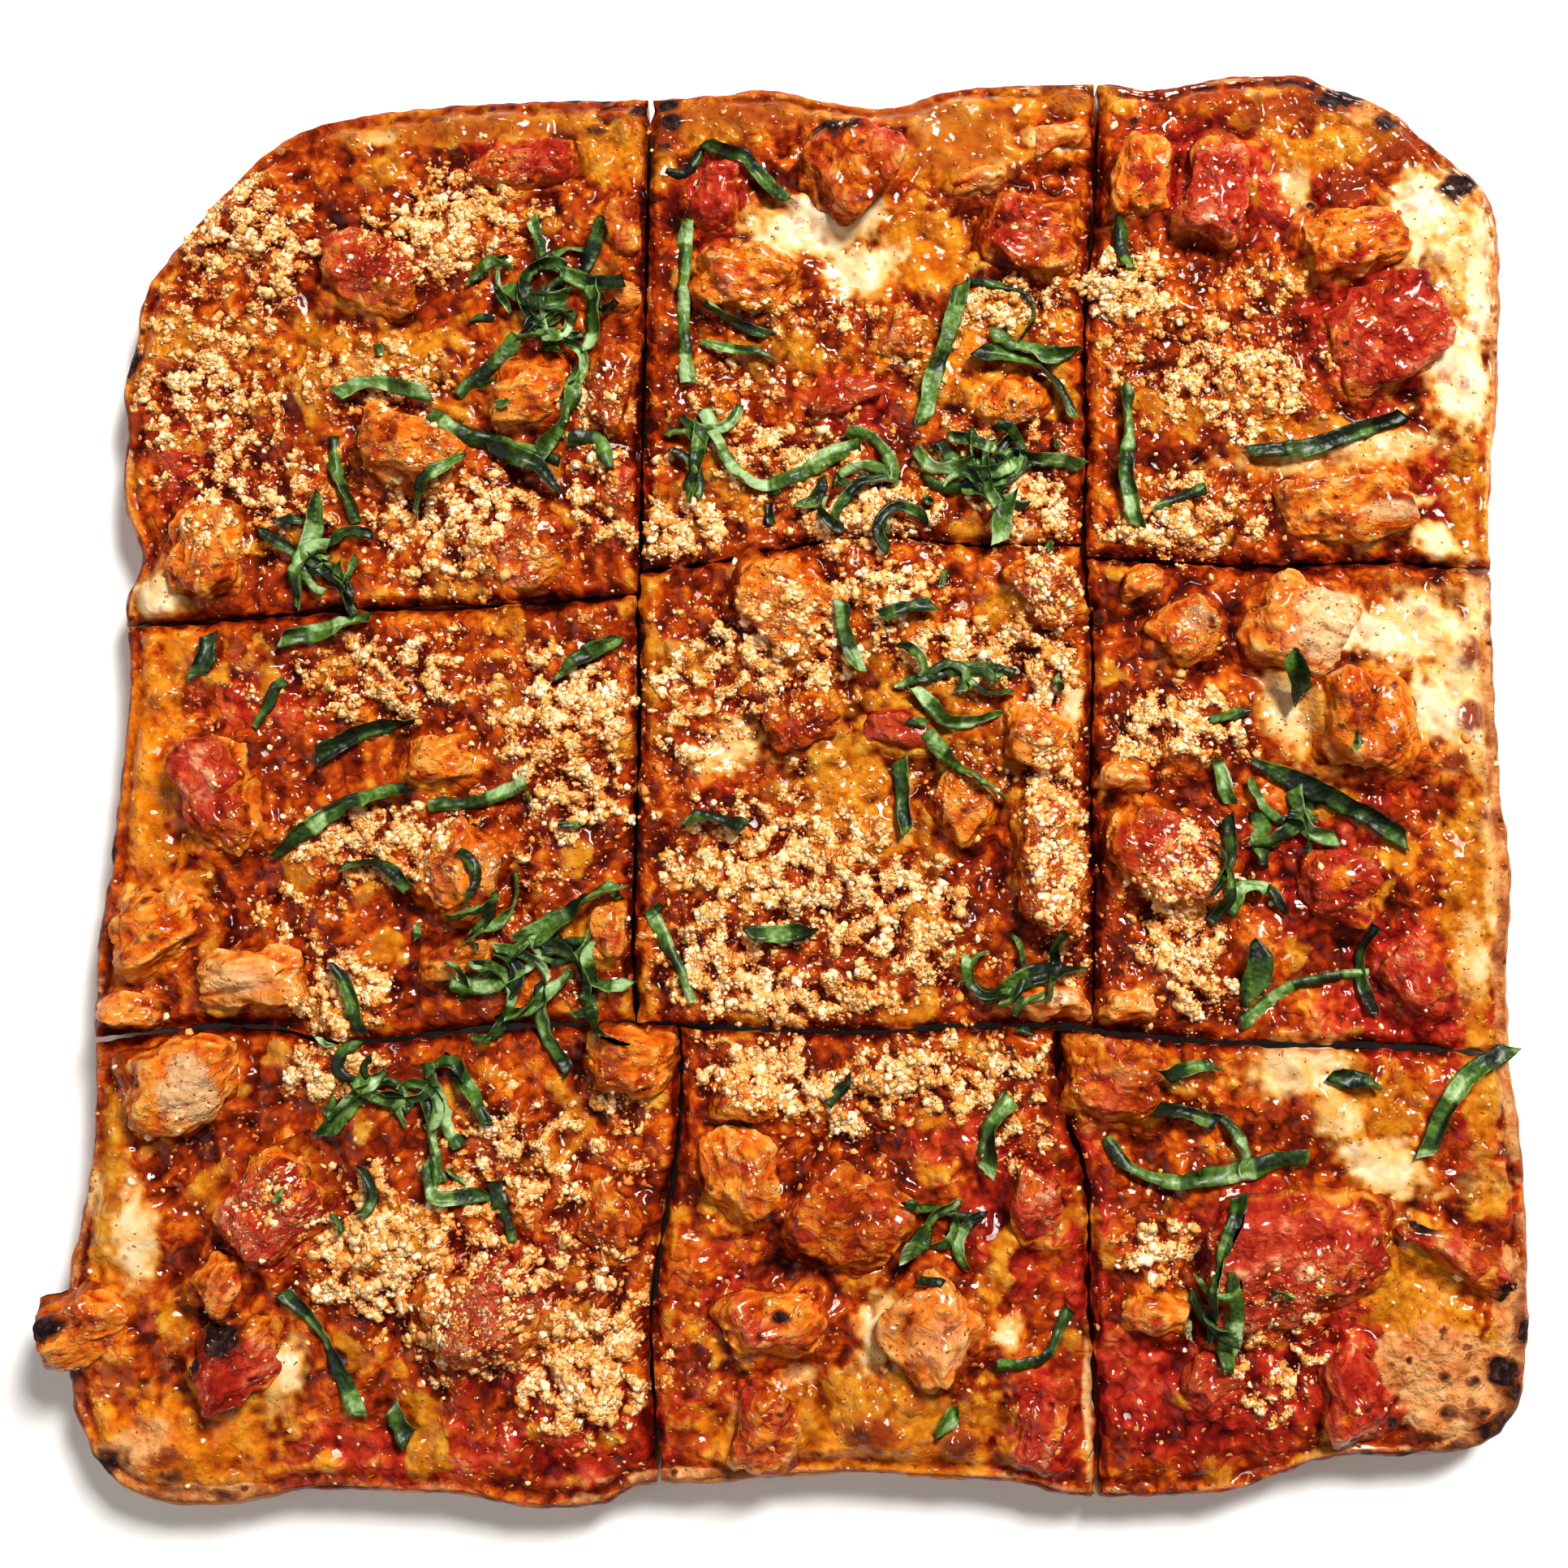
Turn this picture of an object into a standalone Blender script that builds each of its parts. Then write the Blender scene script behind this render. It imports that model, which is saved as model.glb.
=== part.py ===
"""Square chicken parmesan pizza, cut three by three into nine slices that keep the whole's shape.

Lengths are metres, +Z is up, and the origin is under the middle of the pizza, on what it rests on.
Rows run from the back (1) to the front (3), columns from the left (1) to the right (3).
Places on top are given as points of a square picture taken from nearly straight above; `on_plane`
turns them into plan places. Sizes are real sizes.
"""

import math

import bmesh
import bpy
import numpy as np
from mathutils import Vector
from mathutils.bvhtree import BVHTree

# Heights of the layers
DOUGH_HEIGHT = 0.0120
RIM_RISE = 0.0024
BULGE_HEIGHT = 0.0065
SAUCE_DEPTH = 0.0036
SAUCE_WAVE = 0.0006
MIDDLE_LIFT = 0.0010
FIT_GAP = 0.0003

# Widths at the edges of a slice
SLICE_GAP = 0.0018
FOOT_INSET = 0.0022
CREST_INSET = 0.0026
SAUCE_INSET = 0.0056
SAUCE_SHOULDER = 0.0022
SAUCE_DROP = 0.0011

# Fineness of the faceted solids
CELLS = 8
EVEN_PASSES = 30
CHUNK_TURNS = 8
CHUNK_RINGS = 4
SMALL_TURNS = 6
SMALL_RINGS = 3
RIBBON_STEP = 0.0085

# Toppings
CHUNK_EDGE = 9.0
CHUNK_SINK = 2.6
SINK_STOP = 0.0008
APRON = 0.030
RIBBON_THICK = 0.0012
RIBBON_SINK = 0.0009
RIBBON_MIN_LENGTH = 0.0110
RIBBON_COUNT = 25
LUMP_SIZE = (0.0026, 0.0036)

# The picture that places are read from: a square frame seen from a tilted eye above the middle
PICTURE_MIDDLE = 966.0
FOCAL_PIXELS = 2270.0
EYE_DISTANCE = 0.455
EYE_TILT = math.radians(6.87)
EYE_LEVEL = 0.0150
EYE_SHIFT = (-0.00345, -0.0069)

# Outline of the whole, as picture points, from corner middle to corner middle
OUTLINE_HEIGHT = 0.0120
BACK_EDGE = [(262, 250), (320, 192), (392, 152), (500, 133), (640, 123), (760, 121), (880, 115),
             (950, 108), (1050, 128), (1110, 127), (1165, 110), (1260, 102), (1350, 100), (1425, 108),
             (1480, 97), (1590, 90), (1650, 110), (1705, 130), (1750, 165), (1792, 200)]
RIGHT_EDGE = [(1792, 200), (1832, 236), (1849, 300), (1850, 460), (1840, 610), (1842, 740), (1846, 860),
              (1852, 960), (1866, 1090), (1860, 1190), (1866, 1320), (1880, 1430), (1886, 1560),
              (1885, 1670), (1876, 1728), (1852, 1768)]
FRONT_EDGE = [(112, 1798), (150, 1836), (205, 1856), (290, 1858), (390, 1840), (500, 1843), (580, 1848),
              (650, 1862), (740, 1859), (795, 1834), (900, 1830), (1040, 1820), (1150, 1826),
              (1260, 1832), (1320, 1847), (1500, 1844), (1570, 1823), (1640, 1801), (1740, 1797),
              (1812, 1791), (1852, 1768)]
LEFT_EDGE = [(262, 250), (215, 306), (176, 360), (163, 430), (147, 485), (155, 530), (148, 590),
             (152, 635), (172, 690), (152, 745), (156, 830), (150, 920), (140, 1000), (130, 1090),
             (115, 1180), (113, 1300), (111, 1400), (96, 1500), (82, 1570), (80, 1660), (88, 1730),
             (112, 1798)]

# Cuts, as picture points: one run for each slice that they pass
CUT_HEIGHT = 0.0150
DOWN_CUTS = [
    [[(802, 80), (798, 300), (793, 500), (789, 780)],
     [(786, 700), (788, 900), (783, 1050), (781, 1180), (788, 1300)],
     [(836, 1220), (838, 1380), (820, 1500), (803, 1610), (806, 1720), (815, 1880)]],
    [[(1352, 60), (1348, 250), (1336, 400), (1338, 520), (1334, 730)],
     [(1330, 640), (1345, 790), (1343, 950), (1347, 1100), (1346, 1310)],
     [(1304, 1220), (1306, 1350), (1338, 1450), (1342, 1600), (1352, 1740), (1354, 1890)]],
]
ACROSS_CUTS = [
    [[(110, 772), (260, 766), (420, 752), (620, 746), (850, 728)],
     [(740, 712), (880, 694), (1000, 672), (1120, 664), (1230, 674), (1390, 670)],
     [(1280, 684), (1420, 692), (1560, 698), (1700, 694), (1900, 708)]],
    [[(60, 1290), (220, 1268), (330, 1266), (430, 1284), (620, 1266), (840, 1258)],
     [(730, 1258), (900, 1266), (1060, 1272), (1200, 1264), (1400, 1266)],
     [(1290, 1264), (1450, 1280), (1600, 1288), (1720, 1290), (1920, 1306)]],
]

# Swells of cheese and heaps of grated cheese: picture point, radius and rise in millimetres
SWELLS = [
    (300, 300, 13, 1.6), (560, 300, 15, 2.0), (440, 455, 15, 1.8), (180, 735, 9, 2.6), (330, 560, 12, 1.2),
    (740, 560, 9, 2.0), (580, 690, 12, 1.4), (250, 430, 12, 1.2), (1180, 175, 20, 1.8),
    (1000, 300, 16, 1.6), (1225, 385, 13, 2.6), (820, 655, 11, 2.2), (1040, 645, 14, 2.2),
    (1270, 645, 10, 2.6), (900, 600, 12, 1.0), (1395, 360, 13, 2.6), (1560, 465, 15, 2.0),
    (1480, 640, 13, 2.2), (1770, 480, 14, 1.8), (1600, 200, 14, 1.4), (430, 1215, 12, 3.0),
    (470, 1030, 16, 1.6), (420, 1120, 12, 1.6), (560, 860, 13, 1.6), (700, 900, 14, 1.4),
    (300, 850, 14, 1.0), (200, 930, 12, 1.2), (690, 1225, 12, 2.0), (970, 800, 13, 2.2),
    (1070, 760, 14, 2.4), (1060, 1020, 16, 2.4), (980, 1110, 18, 2.2), (1170, 1150, 12, 2.0),
    (900, 1210, 14, 2.0), (1080, 1220, 12, 2.2), (860, 930, 13, 1.6), (1450, 870, 12, 2.6),
    (1470, 930, 10, 2.0), (1460, 1200, 13, 3.0), (1680, 790, 14, 1.8), (1600, 920, 12, 1.6),
    (1770, 900, 12, 1.6), (1790, 1100, 16, 1.8), (1560, 1180, 10, 1.4), (415, 1330, 12, 2.6),
    (470, 1530, 17, 2.8), (740, 1700, 14, 3.0), (630, 1740, 12, 1.4), (690, 1520, 12, 1.8),
    (170, 1520, 14, 1.8), (150, 1760, 15, 1.4), (350, 1740, 14, 1.4), (920, 1340, 12, 1.6),
    (1100, 1310, 12, 1.8), (1240, 1350, 12, 1.6), (1080, 1680, 14, 2.0), (1060, 1770, 14, 1.2),
    (1230, 1660, 12, 1.4), (1575, 1325, 16, 2.4), (1640, 1375, 9, 2.0), (1720, 1440, 14, 1.6),
    (1440, 1530, 12, 1.4), (1780, 1650, 16, 1.6), (1560, 1700, 10, 1.2), (1800, 1350, 12, 1.4),
]

# Chopped chicken: picture point, length, width and height in millimetres, turn in degrees, dressing.
# The CHUNK_NODES largest by length times width are solids of their own, the rest lie in the sauce's.
CHUNKS = [
    (452, 338, 24, 18, 8, -18, "sauced"), (640, 204, 28, 13, 7, 8, "sauced"),
    (506, 560, 27, 18, 10, -22, "roasted"), (650, 482, 20, 16, 9, 8, "roasted"),
    (255, 676, 25, 20, 10, 80, "roasted"), (652, 682, 21, 19, 6, 20, "sauced"),
    (750, 478, 26, 14, 8, 84, "sauced"), (885, 244, 18, 14, 8, 88, "sauced"),
    (1036, 204, 28, 26, 11, 60, "sauced"), (914, 340, 25, 18, 10, -16, "roasted"),
    (1266, 288, 24, 21, 9, -12, "sauced"), (1246, 492, 19, 16, 8, 30, "roasted"),
    (1404, 214, 23, 15, 9, 82, "roasted"), (1500, 226, 29, 17, 10, 78, "sauced"),
    (1672, 292, 28, 20, 10, 14, "roasted"), (1698, 416, 30, 26, 9, 24, "sauced"),
    (1662, 622, 37, 17, 8, 8, "roasted"), (272, 980, 31, 20, 11, -72, "sauced"),
    (196, 1142, 27, 20, 10, 24, "roasted"), (306, 1208, 27, 15, 10, 8, "pale"),
    (574, 1072, 22, 20, 10, 64, "roasted"), (962, 742, 24, 20, 8, -30, "roasted"),
    (988, 892, 19, 17, 8, 10, "sauced"), (1276, 908, 18, 16, 9, -10, "roasted"),
    (1292, 1050, 38, 18, 11, -84, "sauced"), (1186, 990, 17, 15, 8, 60, "roasted"),
    (1292, 740, 20, 15, 8, -70, "sauced"), (1286, 1232, 22, 9, 7, -4, "pale"),
    (1466, 778, 18, 15, 9, 34, "roasted"), (1600, 768, 27, 25, 9, -20, "pale"),
    (1694, 888, 29, 24, 12, -80, "roasted"), (1446, 1060, 31, 23, 10, -26, "sauced"),
    (1652, 1094, 22, 17, 8, -14, "sauced"), (222, 1332, 29, 21, 10, 14, "roasted"),
    (774, 1311, 20, 16, 10, -8, "roasted"), (338, 1494, 27, 22, 10, 50, "sauced"),
    (590, 1622, 31, 24, 12, 28, "sauced"), (290, 1676, 23, 18, 10, 22, "sauced"),
    (96, 1640, 24, 16, 9, 12, "roasted"), (912, 1452, 25, 19, 10, -76, "roasted"),
    (1052, 1504, 28, 26, 10, -30, "sauced"), (960, 1628, 26, 18, 9, 14, "roasted"),
    (1150, 1636, 25, 23, 11, 56, "pale"), (944, 1762, 20, 17, 8, 70, "sauced"),
    (1377, 1333, 24, 20, 9, -6, "sauced"), (1606, 1548, 45, 32, 11, 10, "sauced"),
    (1800, 1548, 31, 9, 8, -30, "sauced"), (768, 366, 10, 9, 6, 20, "pale"),
    (762, 598, 12, 8, 5, 80, "sauced"), (766, 286, 17, 10, 6, 84, "sauced"),
    (1208, 228, 16, 5, 5, 12, "pale"), (1306, 176, 17, 8, 5, 4, "pale"),
    (1036, 488, 17, 10, 6, 26, "sauced"), (1112, 418, 15, 12, 6, 70, "sauced"),
    (564, 1186, 19, 8, 7, 14, "roasted"), (542, 934, 15, 12, 7, 10, "roasted"),
    (157, 1243, 15, 8, 6, -4, "pale"), (750, 1150, 13, 9, 7, 80, "roasted"),
    (1104, 896, 17, 11, 5, -12, "sauced"), (1408, 721, 12, 9, 7, 10, "roasted"),
    (1384, 958, 13, 8, 7, -8, "pale"), (1388, 1238, 14, 7, 6, 4, "pale"),
    (1746, 1206, 18, 14, 6, -60, "sauced"), (272, 1578, 14, 12, 8, 70, "roasted"),
    (750, 1510, 17, 14, 7, 60, "sauced"), (916, 1356, 15, 9, 7, -8, "roasted"),
    (1280, 1490, 19, 11, 8, 84, "sauced"), (1486, 1702, 14, 12, 7, 40, "sauced"),
    (1426, 1618, 17, 9, 6, -14, "roasted"), (1284, 1760, 24, 13, 6, 80, "sauced"),
    (1664, 1716, 23, 16, 7, -66, "sauced"),
]
CHUNK_NODES = 42

# Ribbons of basil: picture points along each and its width in millimetres
BASIL = [
    ([(820, 206), (846, 208), (872, 170)], 4), ([(872, 172), (918, 198), (964, 248)], 5),
    ([(655, 268), (662, 300), (668, 326)], 4), ([(742, 270), (730, 300), (712, 334)], 5),
    ([(615, 352), (660, 372), (700, 360)], 6), ([(730, 345), (738, 380), (730, 430)], 6),
    ([(632, 408), (600, 445), (565, 486)], 6), ([(714, 452), (700, 500), (664, 556)], 6),
    ([(415, 488), (470, 476), (530, 484)], 5), ([(532, 504), (580, 536), (688, 568)], 6),
    ([(578, 566), (530, 600), (515, 636)], 5), ([(600, 545), (650, 565), (690, 608)], 6),
    ([(406, 536), (420, 590), (440, 640)], 5), ([(392, 606), (376, 680), (366, 748)], 7),
    ([(316, 656), (372, 682), (428, 722)], 4), ([(700, 545), (735, 545), (756, 580)], 6),
    ([(345, 782), (400, 776), (452, 766)], 6), ([(256, 780), (240, 832)], 6),
    ([(352, 838), (310, 894)], 4), ([(388, 934), (440, 900), (515, 882)], 6),
    ([(332, 1056), (410, 1002), (508, 974)], 6), ([(528, 996), (590, 984), (648, 962)], 5),
    ([(422, 1074), (460, 1068), (510, 1092)], 5), ([(684, 838), (720, 806), (760, 782)], 5),
    ([(845, 268), (836, 360), (848, 470)], 6), ([(872, 376), (945, 412)], 4),
    ([(862, 420), (958, 444)], 4), ([(868, 500), (930, 590), (1060, 546)], 6),
    ([(860, 520), (862, 570), (850, 622)], 6), ([(1136, 520), (1160, 420), (1184, 350)], 6),
    ([(1190, 345), (1260, 360), (1276, 384), (1256, 420)], 3), ([(1204, 430), (1290, 466), (1316, 512)], 6),
    ([(1222, 420), (1290, 438), (1330, 424)], 6), ([(1160, 540), (1205, 590), (1250, 560)], 6),
    ([(1240, 560), (1290, 562), (1335, 572)], 5), ([(1245, 610), (1226, 670)], 7),
    ([(1376, 266), (1396, 332)], 6), ([(1386, 466), (1384, 550), (1404, 650)], 6),
    ([(1545, 564), (1630, 545), (1728, 504)], 6), ([(1422, 626), (1486, 602)], 4),
    ([(1036, 745), (1046, 800), (1056, 828)], 5), ([(1084, 762), (1152, 748)], 5),
    ([(1102, 846), (1180, 820), (1250, 832)], 5), ([(1120, 852), (1170, 886), (1236, 878)], 5),
    ([(1112, 934), (1116, 1026)], 5), ([(1136, 906), (1190, 950), (1240, 986)], 6),
    ([(846, 1008), (916, 1022)], 6), ([(926, 1160), (1006, 1142)], 6),
    ([(802, 1120), (826, 1180), (850, 1236)], 5), ([(1212, 1234), (1262, 1206), (1340, 1196)], 6),
    ([(640, 1160), (700, 1130), (766, 1092)], 7), ([(556, 1216), (620, 1206), (690, 1150)], 6),
    ([(410, 1186), (436, 1230), (450, 1274)], 5), ([(398, 1400), (430, 1360), (462, 1322)], 6),
    ([(520, 1310), (540, 1370), (568, 1414)], 6), ([(548, 1296), (575, 1340), (596, 1388)], 5),
    ([(524, 1430), (530, 1478), (600, 1470)], 5), ([(612, 1456), (624, 1530)], 5),
    ([(348, 1592), (400, 1640), (440, 1746)], 5), ([(488, 1730), (502, 1776)], 7),
    ([(1022, 1364), (1048, 1322)], 4), ([(1216, 1446), (1226, 1400), (1246, 1352)], 7),
    ([(1112, 1556), (1130, 1510), (1180, 1476)], 9), ([(1228, 1686), (1290, 1676), (1322, 1616)], 5),
    ([(1152, 1762), (1182, 1738)], 6), ([(1586, 806), (1600, 862)], 8), ([(1488, 884), (1544, 876)], 4),
    ([(1496, 936), (1520, 990)], 5), ([(1542, 936), (1640, 976), (1736, 1034)], 7),
    ([(1546, 1000), (1566, 1066)], 8), ([(1512, 1120), (1530, 1096), (1560, 1102)], 6),
    ([(1540, 1160), (1550, 1228)], 9), ([(1530, 1258), (1600, 1216), (1690, 1202)], 5),
    ([(1690, 1140), (1682, 1200), (1692, 1250)], 4), ([(1424, 1320), (1500, 1316)], 5),
    ([(1366, 1402), (1440, 1450), (1612, 1432)], 7), ([(1420, 1366), (1504, 1380)], 5),
    ([(1522, 1470), (1496, 1560), (1490, 1656)], 5), ([(1504, 1560), (1516, 1690)], 7),
    ([(1642, 1320), (1700, 1346)], 6), ([(1756, 1426), (1800, 1340), (1862, 1290)], 6),
]

# Heaps where the coarsest lumps of grated cheese lie, as picture points with a radius in millimetres
HEAPS = [
    (300, 272, 12), (555, 290, 14), (280, 370, 9), (440, 450, 12), (260, 520, 14), (740, 585, 6),
    (560, 660, 12), (330, 540, 12), (1230, 380, 9), (830, 650, 10), (1060, 640, 12), (950, 560, 12),
    (1280, 645, 7), (1390, 350, 10), (1500, 480, 15), (1450, 640, 10), (1380, 430, 9), (470, 1035, 13),
    (430, 1230, 9), (560, 860, 12), (690, 890, 14), (740, 960, 12), (490, 830, 12), (970, 810, 10),
    (1075, 740, 10), (980, 1050, 14), (1090, 1110, 14), (900, 1100, 14), (900, 1210, 12),
    (1180, 1140, 10), (1450, 910, 12), (1450, 1150, 12), (1480, 1220, 8), (410, 1330, 9),
    (480, 1540, 14), (730, 1680, 12), (640, 1460, 10), (700, 1600, 10), (930, 1330, 9), (1110, 1310, 8),
    (1000, 1360, 10), (1240, 1330, 9), (1430, 1540, 9), (1600, 1680, 10), (1560, 1690, 8),
]

FINISHES = {
    "dough": ((0.62, 0.33, 0.13), 0.62),
    "sauce": ((0.47, 0.09, 0.025), 0.30),
    "roasted": ((0.72, 0.24, 0.05), 0.34),
    "sauced": ((0.56, 0.10, 0.03), 0.30),
    "pale": ((0.80, 0.45, 0.17), 0.38),
}


def clear_scene():
    """Remove every object, so that the script always starts from nothing."""
    for item in list(bpy.data.objects):
        bpy.data.objects.remove(item, do_unlink=True)


def finish(name):
    """The named Principled material, made once."""
    found = bpy.data.materials.get(name)
    if found:
        return found
    colour, roughness = FINISHES[name]
    made = bpy.data.materials.new(name)
    made.use_nodes = True
    shader = made.node_tree.nodes["Principled BSDF"]
    shader.inputs["Base Color"].default_value = (*colour, 1.0)
    shader.inputs["Roughness"].default_value = roughness
    shader.inputs["Metallic"].default_value = 0.0
    return made


def on_plane(points, height):
    """Plan place of picture points: where the eye's ray through each meets the level plane `height`."""
    points = np.asarray(points, float)
    across = (points[..., 0] - PICTURE_MIDDLE) / FOCAL_PIXELS
    down = (points[..., 1] - PICTURE_MIDDLE) / FOCAL_PIXELS
    reach = (EYE_DISTANCE - (height - EYE_LEVEL) / math.cos(EYE_TILT)) / (1 + down * math.tan(EYE_TILT))
    x = reach * across + EYE_SHIFT[0]
    y = reach * (math.sin(EYE_TILT) - down * math.cos(EYE_TILT)) - EYE_DISTANCE * math.sin(EYE_TILT)
    return np.stack([x, y + EYE_SHIFT[1]], axis=-1)


def spread(line, fractions):
    """Points at the given fractions of a polyline's length."""
    steps = np.linalg.norm(np.diff(line, axis=0), axis=1)
    run = np.concatenate([[0.0], np.cumsum(steps)])
    at = np.asarray(fractions) * run[-1]
    return np.stack([np.interp(at, run, line[:, k]) for k in range(line.shape[1])], axis=-1)


def smooth(points, count=400):
    """Catmull-Rom curve through the points, as `count` points evenly spaced along it."""
    p = np.asarray(points, float)
    p = np.vstack([2 * p[0] - p[1], p, 2 * p[-1] - p[-2]])
    t = np.linspace(0, 1, 24, endpoint=False)[None, :, None]
    a, b, c, d = p[:-3, None], p[1:-2, None], p[2:-1, None], p[3:, None]
    bend = b + 0.5 * t * (c - a + t * (2 * a - 5 * b + 4 * c - d + t * (3 * (b - c) + d - a)))
    line = np.vstack([bend.reshape(-1, p.shape[1]), p[-2]])
    return spread(line, np.linspace(0, 1, count))


def beside(line, distance):
    """The polyline moved sideways, to its left for a positive distance."""
    along = np.gradient(line, axis=0)
    along /= np.linalg.norm(along, axis=1, keepdims=True)
    return line + distance * np.stack([-along[:, 1], along[:, 0]], axis=-1)


def between(line, start_line, end_line):
    """The stretch of a line from its nearest point to one line to its nearest point to another."""
    ends = []
    for other in (start_line, end_line):
        gap = np.linalg.norm(line[:, None] - other[None], axis=-1)
        ends.append(np.unravel_index(np.argmin(gap), gap.shape)[0])
    return line[ends[0]:ends[1] + 1]


def slice_edges(row, column):
    """Back, front, left and right edges of a slice, left to right and back to front, meeting exactly."""
    half = SLICE_GAP / 2
    if row == 0:
        back = smooth(on_plane(BACK_EDGE, OUTLINE_HEIGHT), 1400)
    else:
        back = beside(smooth(on_plane(ACROSS_CUTS[row - 1][column], CUT_HEIGHT)), -half)
    if row == 2:
        front = smooth(on_plane(FRONT_EDGE, OUTLINE_HEIGHT), 1400)
    else:
        front = beside(smooth(on_plane(ACROSS_CUTS[row][column], CUT_HEIGHT)), half)
    if column == 0:
        left = smooth(on_plane(LEFT_EDGE, OUTLINE_HEIGHT), 1400)
    else:
        left = beside(smooth(on_plane(DOWN_CUTS[column - 1][row], CUT_HEIGHT)), half)
    if column == 2:
        right = smooth(on_plane(RIGHT_EDGE, OUTLINE_HEIGHT), 1400)
    else:
        right = beside(smooth(on_plane(DOWN_CUTS[column][row], CUT_HEIGHT)), -half)
    back, front, left, right = (between(back, left, right), between(front, left, right),
                                between(left, back, front), between(right, back, front))
    for one, end, other, side in ((back, 0, left, 0), (back, -1, right, 0),
                                  (front, 0, left, -1), (front, -1, right, -1)):
        corner = (one[end] + other[side]) / 2
        one[end] = corner
        other[side] = corner
    return back, front, left, right


def slice_ring(edges):
    """Points round a slice, clockwise from its back left corner, CELLS to an edge."""
    back, front, left, right = edges
    fractions = np.linspace(0, 1, CELLS + 1)
    return np.vstack([spread(back, fractions)[:-1], spread(right, fractions)[:-1],
                      spread(front, fractions)[::-1][:-1], spread(left, fractions)[::-1][:-1]])


def inset(ring, outer, outer_inset, cut_inset):
    """The ring moved inwards, by one distance on the pizza's outline and by another at the cuts."""
    count = len(ring)
    moved = ring.copy()
    ahead = np.roll(ring, -1, axis=0) - ring
    normal = np.stack([ahead[:, 1], -ahead[:, 0]], axis=-1)
    normal /= np.linalg.norm(normal, axis=1, keepdims=True)
    for k in range(count):
        before, after = (k - 1) % count, k
        sides = (before // CELLS, after // CELLS)
        amounts = [outer_inset if outer[side] else cut_inset for side in sides]
        if outer[sides[0]] == outer[sides[1]] and sides[0] == sides[1] or all(outer[s] for s in sides):
            middle = normal[before] + normal[after]
            moved[k] += middle / np.linalg.norm(middle) * amounts[0]
        else:
            moved[k] += normal[before] * amounts[0] + normal[after] * amounts[1]
    return moved


def filled_grid(ring):
    """Grid of points inside a ring: a Coons patch of its four edges, then evened out by averaging."""
    n = CELLS
    back, right = ring[:n + 1], ring[n:2 * n + 1]
    front = ring[2 * n:3 * n + 1][::-1]
    left = np.vstack([ring[3 * n:], ring[:1]])[::-1]
    u = np.linspace(0, 1, n + 1)[None, :, None]
    v = np.linspace(0, 1, n + 1)[:, None, None]
    grid = ((1 - v) * back[None] + v * front[None] + (1 - u) * left[:, None] + u * right[:, None]
            - (1 - u) * (1 - v) * back[0] - u * (1 - v) * back[-1]
            - (1 - u) * v * front[0] - u * v * front[-1])
    for _ in range(EVEN_PASSES):
        grid[1:-1, 1:-1] = (grid[:-2, 1:-1] + grid[2:, 1:-1] + grid[1:-1, :-2] + grid[1:-1, 2:]) / 4
    return grid


def sauce_level(places, row, column):
    """Height of the sauce and cheese: an even depth, long low waves and the listed swells."""
    x, y = places[..., 0], places[..., 1]
    level = np.full(x.shape, DOUGH_HEIGHT + FIT_GAP + SAUCE_DEPTH)
    level += SAUCE_WAVE * (np.sin(190 * x + 60 * y + 1.0) + np.sin(-80 * x + 230 * y + 2.0)
                           + 0.6 * np.sin(420 * x + 310 * y))
    for px, py, radius, rise in SWELLS:
        middle = on_plane((px, py), EYE_LEVEL)
        away = (x - middle[0]) ** 2 + (y - middle[1]) ** 2
        level += rise * 0.001 * np.exp(-away / (radius * 0.001) ** 2)
    if row == 1 and column == 1:
        level += MIDDLE_LIFT
    return level


class Shell:
    """Collects points and faces of one closed surface, sharing points that coincide."""

    def __init__(self):
        self.index = {}
        self.points = []
        self.faces = []

    def point(self, place):
        key = tuple(round(float(c) * 1e7) for c in place)
        if key not in self.index:
            self.index[key] = len(self.points)
            self.points.append(tuple(float(c) for c in place))
        return self.index[key]

    def face(self, places):
        """One face, leaving out repeated corners and any face that shrinks to an edge."""
        corners = []
        for corner in [self.point(p) for p in places]:
            if not corners or corner != corners[-1]:
                corners.append(corner)
        if len(corners) > 1 and corners[0] == corners[-1]:
            corners.pop()
        if len(corners) > 2:
            self.faces.append(corners)

    def quad(self, a, b, c, d):
        """Two triangles, both split along the same corners."""
        self.face([a, b, c])
        self.face([a, c, d])

    def band(self, lower, upper):
        """Wall between two closed rings that run clockwise seen from above, facing outwards."""
        for k in range(len(lower)):
            m = (k + 1) % len(lower)
            self.quad(lower[m], lower[k], upper[k], upper[m])

    def build(self, name, material):
        mesh = bpy.data.meshes.new(name)
        mesh.from_pydata(self.points, [], self.faces)
        mesh.validate()
        mesh.materials.append(finish(material))
        item = bpy.data.objects.new(name, mesh)
        bpy.context.scene.collection.objects.link(item)
        return item


def at_height(ring, height):
    """Plan points lifted to one height, or each to its own."""
    return np.column_stack([ring, np.broadcast_to(height, len(ring))])


def make_crust(row, column, ring, outer):
    """Dough slab of one slice: a rounded foot, a bulging side, a raised rim and a flat bed."""
    count = len(ring)
    shell = Shell()
    on_rim = np.array([outer[k // CELLS] or outer[(k - 1) % count // CELLS] for k in range(count)])
    foot = at_height(inset(ring, outer, FOOT_INSET, 0.0), 0.0)
    bulge = at_height(ring, BULGE_HEIGHT)
    crest = at_height(inset(ring, outer, CREST_INSET, 0.0), DOUGH_HEIGHT + RIM_RISE * on_rim)
    bed = at_height(inset(ring, outer, SAUCE_INSET, 0.0), DOUGH_HEIGHT)
    shell.face(foot)
    shell.band(foot, bulge)
    shell.band(bulge, crest)
    shell.band(crest, bed)
    shell.face(bed[::-1])
    return shell.build(f"crust_r{row + 1}_c{column + 1}", "dough")


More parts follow.
